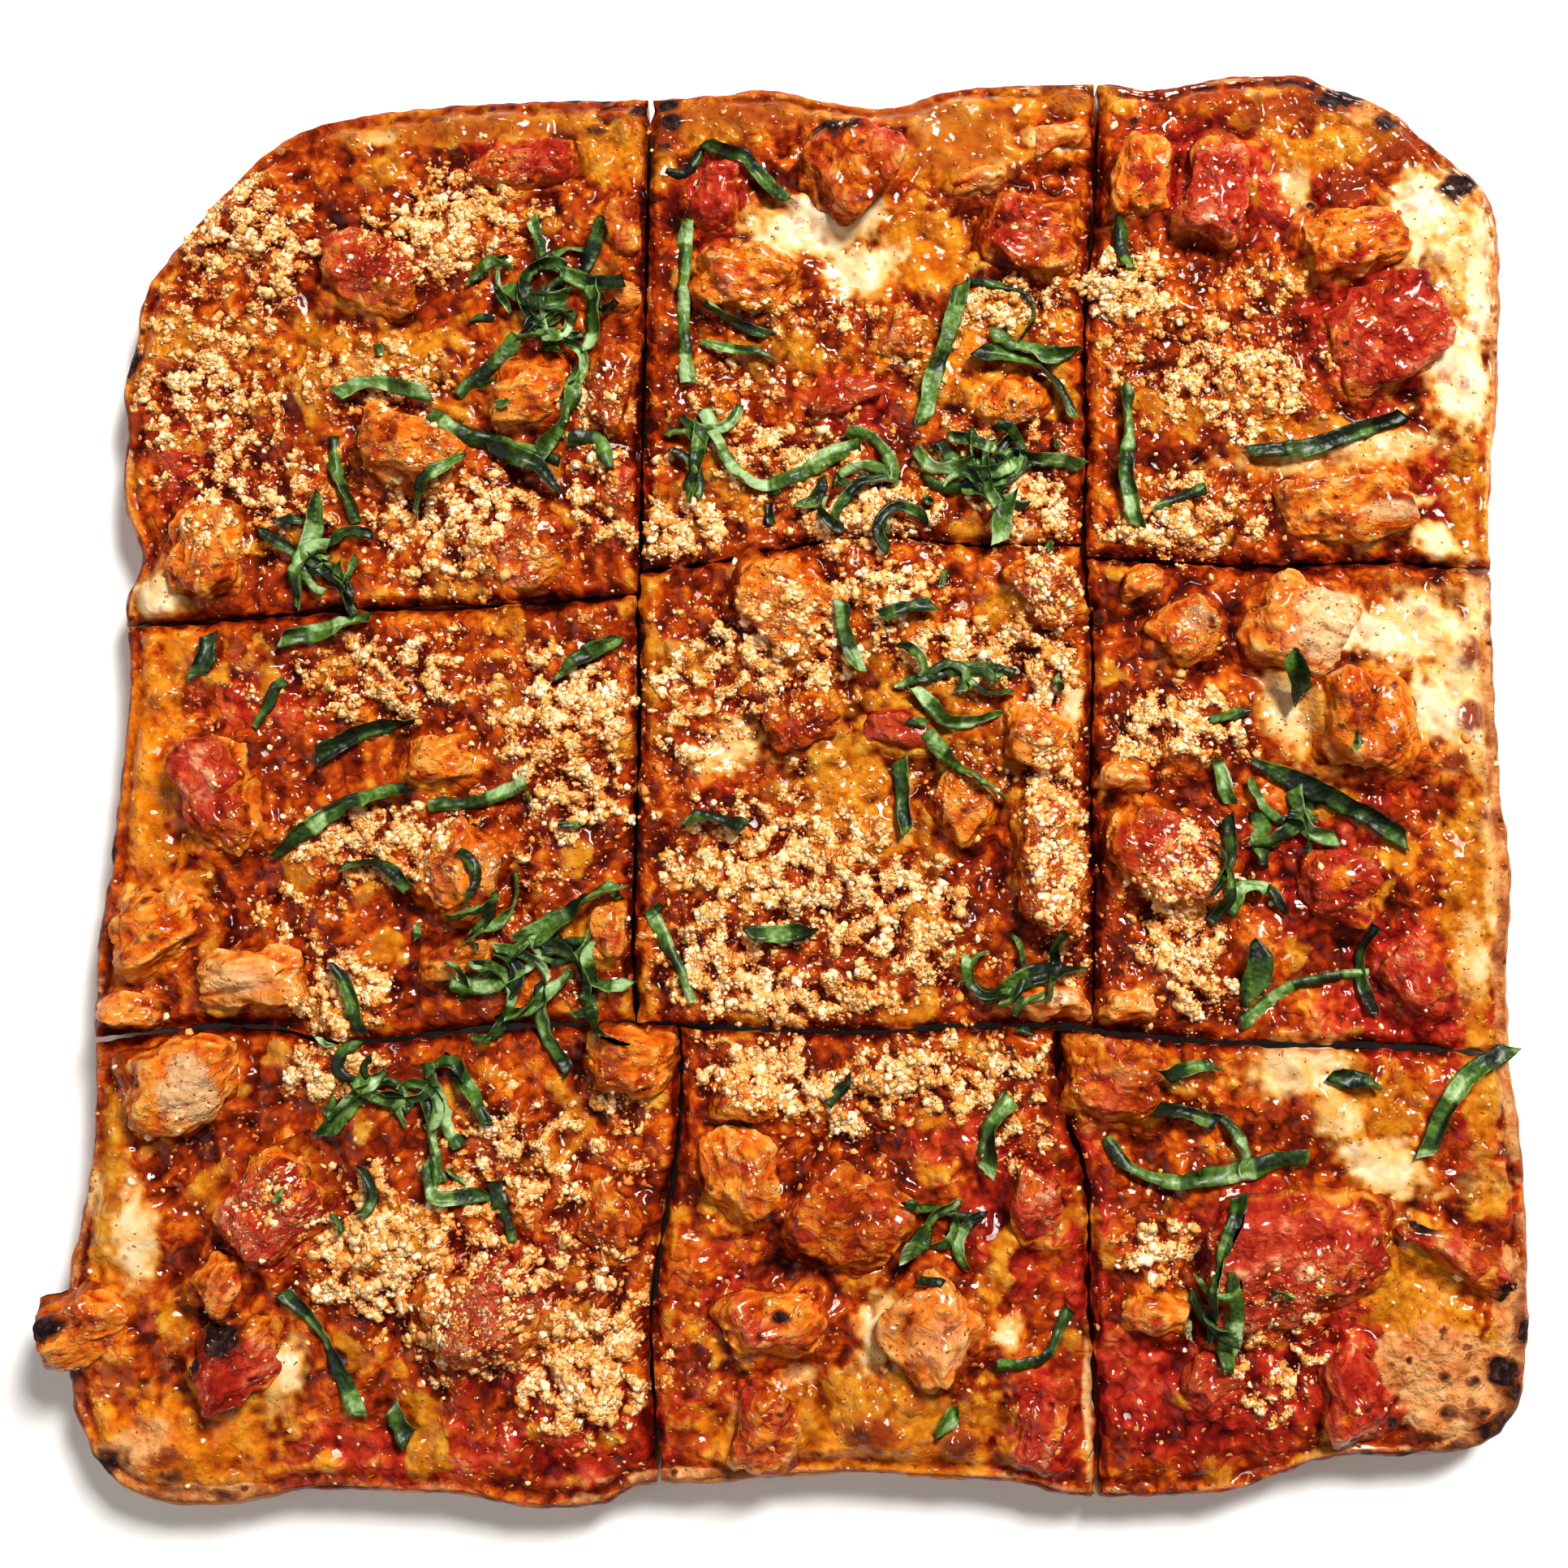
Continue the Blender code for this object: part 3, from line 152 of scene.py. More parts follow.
# Chopped chicken: picture point, length, width and height in millimetres, turn in degrees, dressing.
# The CHUNK_NODES largest by length times width are solids of their own, the rest lie in the sauce's.
CHUNKS = [
    (452, 338, 24, 18, 8, -18, "sauced"), (640, 204, 28, 13, 7, 8, "sauced"),
    (506, 560, 27, 18, 10, -22, "roasted"), (650, 482, 20, 16, 9, 8, "roasted"),
    (255, 676, 25, 20, 10, 80, "roasted"), (652, 682, 21, 19, 6, 20, "sauced"),
    (750, 478, 26, 14, 8, 84, "sauced"), (885, 244, 18, 14, 8, 88, "sauced"),
    (1036, 204, 28, 26, 11, 60, "sauced"), (914, 340, 25, 18, 10, -16, "roasted"),
    (1266, 288, 24, 21, 9, -12, "sauced"), (1246, 492, 19, 16, 8, 30, "roasted"),
    (1404, 214, 23, 15, 9, 82, "roasted"), (1500, 226, 29, 17, 10, 78, "sauced"),
    (1672, 292, 28, 20, 10, 14, "roasted"), (1698, 416, 30, 26, 9, 24, "sauced"),
    (1662, 622, 37, 17, 8, 8, "roasted"), (272, 980, 31, 20, 11, -72, "sauced"),
    (196, 1142, 27, 20, 10, 24, "roasted"), (306, 1208, 27, 15, 10, 8, "pale"),
    (574, 1072, 22, 20, 10, 64, "roasted"), (962, 742, 24, 20, 8, -30, "roasted"),
    (988, 892, 19, 17, 8, 10, "sauced"), (1276, 908, 18, 16, 9, -10, "roasted"),
    (1292, 1050, 38, 18, 11, -84, "sauced"), (1186, 990, 17, 15, 8, 60, "roasted"),
    (1292, 740, 20, 15, 8, -70, "sauced"), (1286, 1232, 22, 9, 7, -4, "pale"),
    (1466, 778, 18, 15, 9, 34, "roasted"), (1600, 768, 27, 25, 9, -20, "pale"),
    (1694, 888, 29, 24, 12, -80, "roasted"), (1446, 1060, 31, 23, 10, -26, "sauced"),
    (1652, 1094, 22, 17, 8, -14, "sauced"), (222, 1332, 29, 21, 10, 14, "roasted"),
    (774, 1311, 20, 16, 10, -8, "roasted"), (338, 1494, 27, 22, 10, 50, "sauced"),
    (590, 1622, 31, 24, 12, 28, "sauced"), (290, 1676, 23, 18, 10, 22, "sauced"),
    (96, 1640, 24, 16, 9, 12, "roasted"), (912, 1452, 25, 19, 10, -76, "roasted"),
    (1052, 1504, 28, 26, 10, -30, "sauced"), (960, 1628, 26, 18, 9, 14, "roasted"),
    (1150, 1636, 25, 23, 11, 56, "pale"), (944, 1762, 20, 17, 8, 70, "sauced"),
    (1377, 1333, 24, 20, 9, -6, "sauced"), (1606, 1548, 45, 32, 11, 10, "sauced"),
    (1800, 1548, 31, 9, 8, -30, "sauced"), (768, 366, 10, 9, 6, 20, "pale"),
    (762, 598, 12, 8, 5, 80, "sauced"), (766, 286, 17, 10, 6, 84, "sauced"),
    (1208, 228, 16, 5, 5, 12, "pale"), (1306, 176, 17, 8, 5, 4, "pale"),
    (1036, 488, 17, 10, 6, 26, "tomato"), (1112, 418, 15, 12, 6, 70, "sauced"),
    (564, 1186, 19, 8, 7, 14, "roasted"), (542, 934, 15, 12, 7, 10, "roasted"),
    (157, 1243, 15, 8, 6, -4, "pale"), (750, 1150, 13, 9, 7, 80, "roasted"),
    (1104, 896, 17, 11, 5, -12, "tomato"), (1408, 721, 12, 9, 7, 10, "roasted"),
    (1384, 958, 13, 8, 7, -8, "pale"), (1388, 1238, 14, 7, 6, 4, "pale"),
    (1746, 1206, 18, 14, 6, -60, "sauced"), (272, 1578, 14, 12, 8, 70, "roasted"),
    (750, 1510, 17, 14, 7, 60, "sauced"), (916, 1356, 15, 9, 7, -8, "roasted"),
    (1280, 1490, 19, 11, 8, 84, "sauced"), (1486, 1702, 14, 12, 7, 40, "tomato"),
    (1426, 1618, 17, 9, 6, -14, "roasted"), (1284, 1760, 24, 13, 6, 80, "sauced"),
    (1664, 1716, 23, 16, 7, -66, "sauced")]
CHUNK_NODES = 42

# Patches of one finish: picture point, length and width in millimetres, turn in degrees, strength
CREAM = [
    (1005, 280, 34, 19, 8, 1.0), (1062, 335, 22, 14, 20, 0.85), (1300, 178, 17, 7, 0, 0.9),
    (1592, 235, 10, 20, 10, 0.6), (1745, 265, 17, 26, -20, 0.95), (1795, 460, 16, 34, 0, 1.0),
    (1822, 330, 9, 44, 0, 0.9), (1728, 620, 15, 4, 5, 0.9), (1766, 668, 9, 13, 50, 0.9),
    (1672, 775, 27, 15, -12, 1.0), (1768, 872, 14, 22, 10, 0.95), (1822, 745, 9, 34, 0, 0.7),
    (1740, 775, 36, 20, 10, 0.75), (1800, 860, 18, 40, 0, 0.7), (1580, 880, 16, 24, 20, 0.65),
    (1790, 290, 20, 40, 0, 0.7), (1650, 560, 60, 10, 6, 0.6), (1810, 1180, 12, 30, 0, 0.6),
    (1592, 1318, 29, 15, 4, 0.72), (1645, 1370, 14, 12, 0, 0.6), (1704, 1440, 24, 14, -18, 0.8),
    (200, 735, 18, 12, 20, 0.8), (168, 1252, 14, 6, 0, 0.8), (246, 1340, 12, 15, 20, 0.9),
    (172, 1530, 11, 26, 8, 0.8), (357, 1692, 10, 18, -10, 0.7), (1076, 1645, 10, 17, 0, 0.8),
    (985, 1692, 9, 6, 0, 0.7), (1240, 1635, 9, 8, 0, 0.7), (1341, 1730, 3, 34, 0, 0.8),
    (905, 920, 20, 13, 30, 0.7), (1320, 865, 7, 13, 0, 0.8), (450, 455, 18, 8, 0, 0.6),
    (1262, 660, 10, 6, 0, 0.5), (470, 172, 10, 5, 0, 0.6), (1560, 560, 18, 8, 10, 0.5),
    (120, 1470, 5, 12, 0, 0.6), (1765, 1590, 9, 9, 0, 0.5), (1090, 1600, 9, 8, 0, 0.7),
    (1700, 545, 16, 7, 10, 0.6), (1840, 560, 5, 18, 0, 0.6), (1812, 1440, 9, 16, 0, 0.35),
    (1838, 1080, 7, 60, 0, 0.6), (1862, 1330, 6, 44, 0, 0.5), (1125, 160, 14, 12, 0, 0.40),
    (1210, 215, 18, 9, 0, 0.45)]
GOLDEN = [
    (1185, 180, 32, 26, 0, 1.0), (1075, 345, 16, 14, 0, 0.8), (580, 158, 62, 12, 2, 0.9),
    (735, 190, 26, 16, 0, 0.9), (1226, 385, 24, 15, 0, 0.8), (1040, 962, 24, 16, 0, 1.0),
    (1060, 1018, 24, 18, 0, 0.9), (1615, 900, 13, 20, 0, 0.8), (1722, 1055, 9, 12, 0, 0.9),
    (1812, 1100, 17, 62, 0, 0.95), (1750, 1585, 22, 34, 10, 1.0), (185, 925, 16, 56, 0, 1.0),
    (226, 1035, 12, 14, 0, 0.7), (225, 1620, 10, 14, 0, 0.8), (230, 1775, 50, 30, 12, 0.95),
    (1060, 1768, 76, 28, 0, 0.95), (480, 1540, 28, 22, 0, 0.5), (735, 1165, 18, 14, 0, 0.8),
    (1560, 465, 20, 16, 0, 0.3), (1600, 545, 40, 14, 8, 0.8), (1810, 640, 16, 44, 0, 0.7),
    (1780, 380, 24, 40, 0, 0.6), (170, 440, 8, 26, 0, 0.8), (1825, 1330, 12, 40, 0, 0.8),
    (300, 560, 16, 12, 0, 0.3), (160, 620, 6, 20, 0, 0.7), (1650, 175, 40, 16, 20, 0.9),
    (1560, 165, 26, 16, 0, 0.6), (1450, 1500, 12, 16, 0, 0.4), (1090, 420, 20, 10, 0, 0.5),
    (850, 820, 24, 16, 0, 0.6), (1010, 800, 26, 20, 0, 0.5), (140, 1430, 9, 40, 0, 0.8),
    (135, 1560, 12, 30, 0, 0.8), (1160, 330, 20, 12, 0, 0.6), (880, 160, 30, 14, 0, 0.8),
    (1500, 860, 20, 12, 0, 0.4), (1700, 1360, 26, 16, 0, 0.7), (420, 560, 20, 10, 0, 0.3),
    (1160, 1560, 20, 8, 0, 0.3), (1580, 1000, 24, 14, 0, 0.3), (620, 420, 24, 12, 0, 0.3),
    (950, 132, 50, 8, 0, 0.8), (1120, 142, 40, 10, 0, 0.9), (1310, 125, 40, 10, 0, 0.8),
    (1140, 310, 30, 26, 0, 0.8), (960, 440, 36, 16, 0, 0.6), (1180, 450, 40, 26, 0, 0.6),
    (900, 610, 40, 16, 0, 0.6), (1100, 880, 50, 40, 0, 0.6), (1200, 960, 34, 30, 0, 0.6),
    (440, 420, 40, 20, 0, 0.6), (300, 480, 30, 30, 0, 0.5), (560, 500, 36, 20, 0, 0.5)]
BARE = [
    (1800, 1712, 44, 24, -24, 1.0), (1862, 1620, 9, 34, 0, 1.0), (150, 1800, 30, 13, 40, 0.6),
    (1844, 950, 8, 90, 0, 0.5), (1860, 1250, 8, 70, 0, 0.7), (1720, 115, 34, 9, 30, 0.6),
    (1850, 480, 6, 80, 0, 0.5), (250, 1845, 40, 6, 0, 0.8), (900, 1822, 60, 5, 0, 0.7)]
CHAR = [
    (700, 115, 9, 6, 0, 1.0), (745, 118, 8, 5, 0, 1.0), (785, 140, 6, 5, 0, 1.0),
    (735, 165, 5, 3, 0, 0.8), (825, 130, 7, 6, 0, 1.0), (828, 155, 7, 7, 0, 1.0),
    (820, 185, 6, 5, 0, 0.9), (1650, 125, 20, 8, 12, 1.0), (1705, 155, 8, 7, 0, 1.0),
    (1612, 257, 2.4, 2.4, 0, 1.0), (1795, 228, 12, 8, 30, 1.0), (960, 1615, 6, 4, 0, 0.9),
    (1010, 1555, 2.4, 2, 0, 1.0), (1055, 1765, 8, 6, 0, 0.6), (1175, 1780, 8, 5, 0, 0.7),
    (1235, 1795, 6, 5, 0, 0.8), (1010, 1790, 5, 3, 0, 0.7), (1855, 1690, 10, 8, 0, 1.0),
    (1815, 1740, 7, 5, 0, 0.9), (1780, 1740, 6, 5, 0, 0.9), (1715, 1750, 6, 4, 0, 0.9),
    (1810, 1700, 5, 3, 0, 0.8), (1775, 1695, 4, 4, 0, 0.8), (1880, 1640, 4, 6, 0, 1.0),
    (1690, 1795, 7, 4, 0, 0.9), (1750, 1770, 10, 4, 0, 0.8), (1835, 1765, 12, 5, -20, 0.8),
    (135, 1805, 14, 9, 40, 0.9), (215, 1815, 9, 5, 0, 0.8), (275, 1842, 9, 4, 0, 0.9),
    (135, 1055, 6, 10, 0, 1.0), (158, 445, 6, 10, 0, 1.0), (1800, 815, 6, 5, 0, 0.5),
    (1812, 885, 5, 5, 0, 0.5), (1826, 1010, 5, 5, 0, 0.5), (540, 150, 6, 3, 0, 0.8),
    (1395, 155, 5, 3, 0, 1.0), (560, 1670, 2.4, 2, 0, 0.8), (530, 1690, 2.4, 2, 0, 0.8),
    (1355, 760, 3, 4, 0, 0.8), (930, 128, 14, 4, 0, 0.6), (1300, 105, 12, 4, 0, 0.7),
    (165, 350, 5, 10, 0, 0.5), (1845, 1757, 16, 6, 30, 0.9), (1790, 1788, 14, 5, 15, 0.9),
    (1866, 1715, 6, 14, 0, 0.8), (1738, 1798, 10, 4, 0, 0.8), (1850, 700, 3, 18, 0, 0.5),
    (1480, 110, 14, 5, 0, 0.5), (1590, 105, 16, 5, 0, 0.9)]

# Grated cheese: picture point, length and width in millimetres, turn in degrees, thickness of cover
GRATED = [
    (300, 290, 46, 30, -40, 0.9), (560, 285, 44, 30, 10, 0.95), (255, 470, 40, 62, 0, 0.75),
    (460, 470, 46, 26, 0, 0.7), (330, 620, 46, 34, 0, 0.7), (560, 650, 50, 36, 0, 0.8),
    (735, 570, 22, 42, 0, 0.75), (450, 340, 20, 14, 0, 0.3), (620, 560, 20, 14, 0, 0.5),
    (960, 560, 60, 24, 0, 0.75), (900, 490, 40, 26, 0, 0.55), (830, 650, 28, 18, 0, 0.95),
    (1060, 640, 46, 20, 0, 0.95), (1250, 380, 26, 15, 0, 1.0), (1265, 630, 28, 24, 0, 0.85),
    (1130, 440, 34, 26, 0, 0.5), (1000, 392, 50, 12, 0, 0.6), (1385, 360, 26, 22, 0, 1.0),
    (1510, 470, 50, 34, -10, 0.85), (1460, 640, 40, 22, 0, 0.95), (1560, 360, 26, 18, 0, 0.6),
    (1390, 450, 22, 26, 0, 0.6), (1620, 560, 36, 12, 0, 0.3), (490, 835, 52, 26, 0, 0.75),
    (695, 880, 40, 40, 0, 0.9), (470, 1040, 46, 20, 0, 0.95), (720, 990, 28, 26, 0, 0.8),
    (425, 1220, 22, 22, 0, 0.95), (290, 870, 36, 26, 0, 0.35), (650, 1060, 22, 36, 0, 0.55),
    (360, 1130, 30, 20, 0, 0.5), (730, 1210, 20, 12, 0, 0.4), (960, 800, 44, 36, 0, 0.85),
    (1090, 735, 34, 18, 0, 0.9), (860, 890, 30, 44, 0, 0.7), (960, 1080, 62, 46, 0, 0.88),
    (880, 1190, 28, 32, 0, 0.85), (1120, 1130, 40, 34, 0, 0.88), (1296, 1040, 17, 62, 4, 1.0),
    (1180, 800, 44, 22, 0, 0.85), (1285, 820, 20, 30, 0, 0.9), (1000, 1230, 60, 14, 0, 0.9),
    (1290, 730, 20, 20, 0, 0.8), (1455, 900, 38, 20, 0, 0.95), (1450, 1130, 24, 44, -10, 1.0),
    (1485, 1228, 20, 12, 0, 0.8), (1470, 790, 16, 14, 0, 0.5), (1600, 880, 16, 16, 0, 0.2),
    (412, 1322, 24, 17, 0, 1.0), (475, 1540, 38, 34, 0, 1.0), (620, 1440, 40, 34, 0, 0.75),
    (590, 1606, 38, 34, 0, 0.95), (725, 1680, 36, 32, 0, 1.0), (350, 1480, 24, 20, 0, 0.65),
    (700, 1560, 34, 20, 0, 0.75), (750, 1400, 26, 30, 0, 0.6), (250, 1400, 40, 16, 0, 0.3),
    (935, 1322, 30, 20, 0, 1.0), (1040, 1350, 42, 20, 0, 0.9), (1180, 1322, 50, 20, 0, 0.9),
    (1250, 1400, 20, 24, 0, 0.6), (900, 1560, 20, 14, 0, 0.3), (860, 1680, 16, 30, 0, 0.3),
    (1430, 1540, 20, 20, 0, 0.85), (1565, 1690, 24, 28, 0, 0.6), (1600, 1610, 24, 22, 0, 0.6),
    (1470, 1350, 22, 16, 0, 0.3), (660, 1770, 50, 16, 0, 0.25), (780, 1620, 10, 30, 0, 0.6),
    (1210, 560, 40, 30, 0, 0.6), (1180, 960, 30, 20, 0, 0.4), (560, 1000, 24, 12, 0, 0.5)]
BARE_OF_GRATED = 0.10

# Pools of golden oil
OIL = [
    (1057, 962, 15, 10, 0, 1.0), (1033, 871, 12, 8, 0, 0.7), (503, 436, 16, 10, 0, 0.8),
    (216, 415, 12, 14, 0, 0.8), (974, 800, 14, 10, 0, 0.6), (540, 300, 14, 16, 0, 0.5),
    (470, 1520, 22, 14, 0, 0.9), (690, 1630, 16, 12, 0, 0.7), (1240, 745, 14, 10, 0, 0.8),
    (1730, 1585, 22, 20, 0, 0.9), (1105, 300, 12, 8, 0, 0.6), (620, 700, 14, 8, 0, 0.6),
    (1020, 1000, 18, 10, 0, 0.6), (400, 1345, 12, 8, 0, 0.6), (1560, 1180, 10, 8, 0, 0.4),
    (740, 190, 20, 10, 0, 0.7), (1470, 640, 14, 8, 0, 0.5), (1450, 1100, 10, 20, 0, 0.5)]

# Where oil stains the melted cheese orange
ORANGE = [
    (180, 720, 24, 40, 0, 0.9), (175, 900, 24, 60, 0, 1.0), (160, 1080, 20, 50, 0, 0.9),
    (240, 1030, 16, 20, 0, 0.7), (130, 1640, 16, 40, 0, 0.9), (200, 1770, 44, 26, 0, 0.9),
    (330, 1805, 50, 16, 0, 0.8), (1060, 1800, 80, 14, 0, 0.7), (900, 1740, 30, 30, 0, 0.7),
    (195, 440, 14, 22, 0, 0.8), (1120, 340, 34, 22, 0, 0.7), (1200, 450, 30, 20, 0, 0.7),
    (1660, 560, 60, 16, 8, 0.8), (1750, 1090, 14, 50, 0, 0.6), (640, 620, 30, 20, 0, 0.5),
    (1240, 250, 30, 14, 0, 0.5), (580, 900, 20, 20, 0, 0.5), (540, 1010, 20, 14, 0, 0.5),
    (1400, 1500, 14, 40, 0, 0.5), (260, 700, 20, 20, 0, 0.6)]

# Blisters with brown-red tops on the melted cheese
BLISTERS = [
    (1812, 807, 9, 8, 0, 1.0), (1809, 883, 9, 8, 0, 1.0), (1788, 941, 8, 6, 20, 0.9),
    (1836, 938, 7, 5, 0, 0.9), (1832, 1008, 8, 7, 0, 0.9), (1655, 235, 10, 9, 0, 1.0),
    (1700, 705, 7, 5, 0, 0.7), (1822, 700, 6, 10, 0, 0.7), (1545, 150, 12, 7, 10, 0.8),
    (1500, 175, 8, 6, 0, 0.7), (1835, 400, 5, 7, 0, 0.6), (1800, 560, 7, 5, 0, 0.7),
    (1075, 1762, 13, 9, 0, 1.0), (1185, 1778, 10, 7, 0, 0.9), (1130, 1720, 7, 6, 0, 0.7),
    (985, 1745, 7, 5, 0, 0.6), (210, 1790, 9, 6, 0, 0.8), (150, 1690, 8, 8, 0, 0.7),
    (560, 300, 6, 5, 0, 0.5), (745, 420, 5, 6, 0, 0.7), (490, 530, 8, 6, 0, 0.7),
    (1000, 880, 7, 6, 0, 0.6), (1270, 760, 5, 7, 0, 0.5), (1800, 1250, 8, 6, 0, 0.6),
    (1850, 1150, 5, 8, 0, 0.6), (1560, 1370, 8, 5, 0, 0.6), (1750, 1640, 10, 7, 0, 0.5),
    (165, 520, 5, 9, 0, 0.7), (200, 860, 7, 6, 0, 0.6), (160, 1000, 6, 8, 0, 0.6),
    (620, 150, 10, 6, 0, 0.7), (1185, 180, 34, 28, 0, 0.52), (580, 160, 60, 12, 0, 0.65),
    (900, 145, 60, 10, 0, 0.70), (1130, 140, 40, 8, 0, 0.70), (700, 138, 13, 7, 0, 0.8),
    (822, 160, 10, 12, 0, 0.9), (960, 135, 12, 5, 0, 0.8), (1225, 150, 13, 7, 0, 0.7),
    (1320, 125, 12, 6, 0, 0.8), (1130, 175, 8, 6, 0, 0.6), (430, 170, 14, 8, 0, 0.6),
    (1690, 170, 12, 8, 20, 0.7), (1600, 132, 32, 9, 8, 0.75), (1720, 175, 20, 9, 32, 0.75),
    (1480, 128, 20, 7, 0, 0.6), (330, 210, 20, 8, -35, 0.5)]

# Where the sauce is redder than elsewhere
RED = [
    (1500, 220, 44, 30, 0, 0.9), (1700, 400, 40, 40, 0, 1.0), (1620, 250, 20, 18, 0, 0.6),
    (1800, 610, 22, 26, 0, 0.9), (1830, 700, 10, 26, 0, 0.8), (1470, 1720, 60, 30, 0, 1.0),
    (1640, 1700, 40, 30, 0, 0.9), (1590, 1550, 50, 30, 0, 0.9), (1730, 1240, 40, 26, 0, 0.8),
    (1620, 1060, 30, 40, 0, 0.6), (1700, 1180, 24, 24, 0, 0.7), (1240, 1500, 22, 40, 0, 0.8),
    (1270, 1760, 26, 26, 0, 0.8), (1100, 150, 16, 20, 0, 0.9), (880, 250, 20, 20, 0, 0.8),
    (1240, 290, 22, 18, 0, 0.5), (1160, 1400, 30, 20, 0, 0.5), (730, 1770, 50, 22, 0, 0.7),
    (500, 1790, 50, 16, 0, 0.6), (300, 1690, 20, 16, 0, 0.9), (650, 1560, 24, 16, 0, 0.6),
    (640, 200, 30, 14, 0, 0.7), (600, 1690, 20, 20, 0, 0.5), (740, 600, 24, 30, 0, 0.5),
    (240, 560, 26, 24, 0, 0.6), (330, 860, 30, 20, 0, 0.7), (1060, 500, 24, 20, 0, 0.7),
    (1340, 1530, 16, 60, 0, 0.6), (880, 1000, 16, 12, 0, 0.6), (910, 1620, 20, 30, 0, 0.5),
    (1820, 1360, 20, 60, 0, 0.6), (1690, 1000, 20, 20, 0, 0.5), (338, 1494, 22, 22, 0, 1.0),
    (620, 1590, 22, 20, 0, 0.9), (290, 1690, 16, 14, 0, 1.0), (260, 960, 14, 18, 0, 0.7),
    (1400, 200, 12, 18, 0, 0.6), (470, 320, 22, 14, 0, 0.7), (1440, 1040, 24, 16, 0, 0.6)]

# What shows on the chicken alone
CHAR_ON_CHICKEN = [
    (1030, 172, 15, 8, -10, 1.0), (820, 185, 6, 5, 0, 0.9), (1395, 155, 4, 3, 0, 1.0),
    (1745, 1503, 9, 7, 0, 1.0), (1858, 1590, 10, 9, 0, 1.0), (62, 1632, 14, 7, 15, 1.0),
    (285, 1645, 14, 10, 0, 1.0), (240, 1680, 9, 11, 0, 1.0), (960, 1615, 6, 4, 0, 1.0),
    (1690, 1520, 20, 6, 20, 0.4), (130, 1150, 6, 8, 0, 0.5), (640, 500, 5, 3, 0, 0.3)]
CREAM_ON_CHICKEN = [
    (245, 1342, 14, 16, 20, 0.9), (1624, 770, 16, 22, 0, 0.9), (1160, 1650, 16, 16, 0, 0.35),
    (306, 1208, 18, 8, 0, 0.5), (1300, 1230, 12, 4, 0, 0.7), (1700, 640, 16, 6, 0, 0.5),
    (1376, 1320, 8, 5, 0, 0.3), (1466, 770, 8, 8, 0, 0.4)]

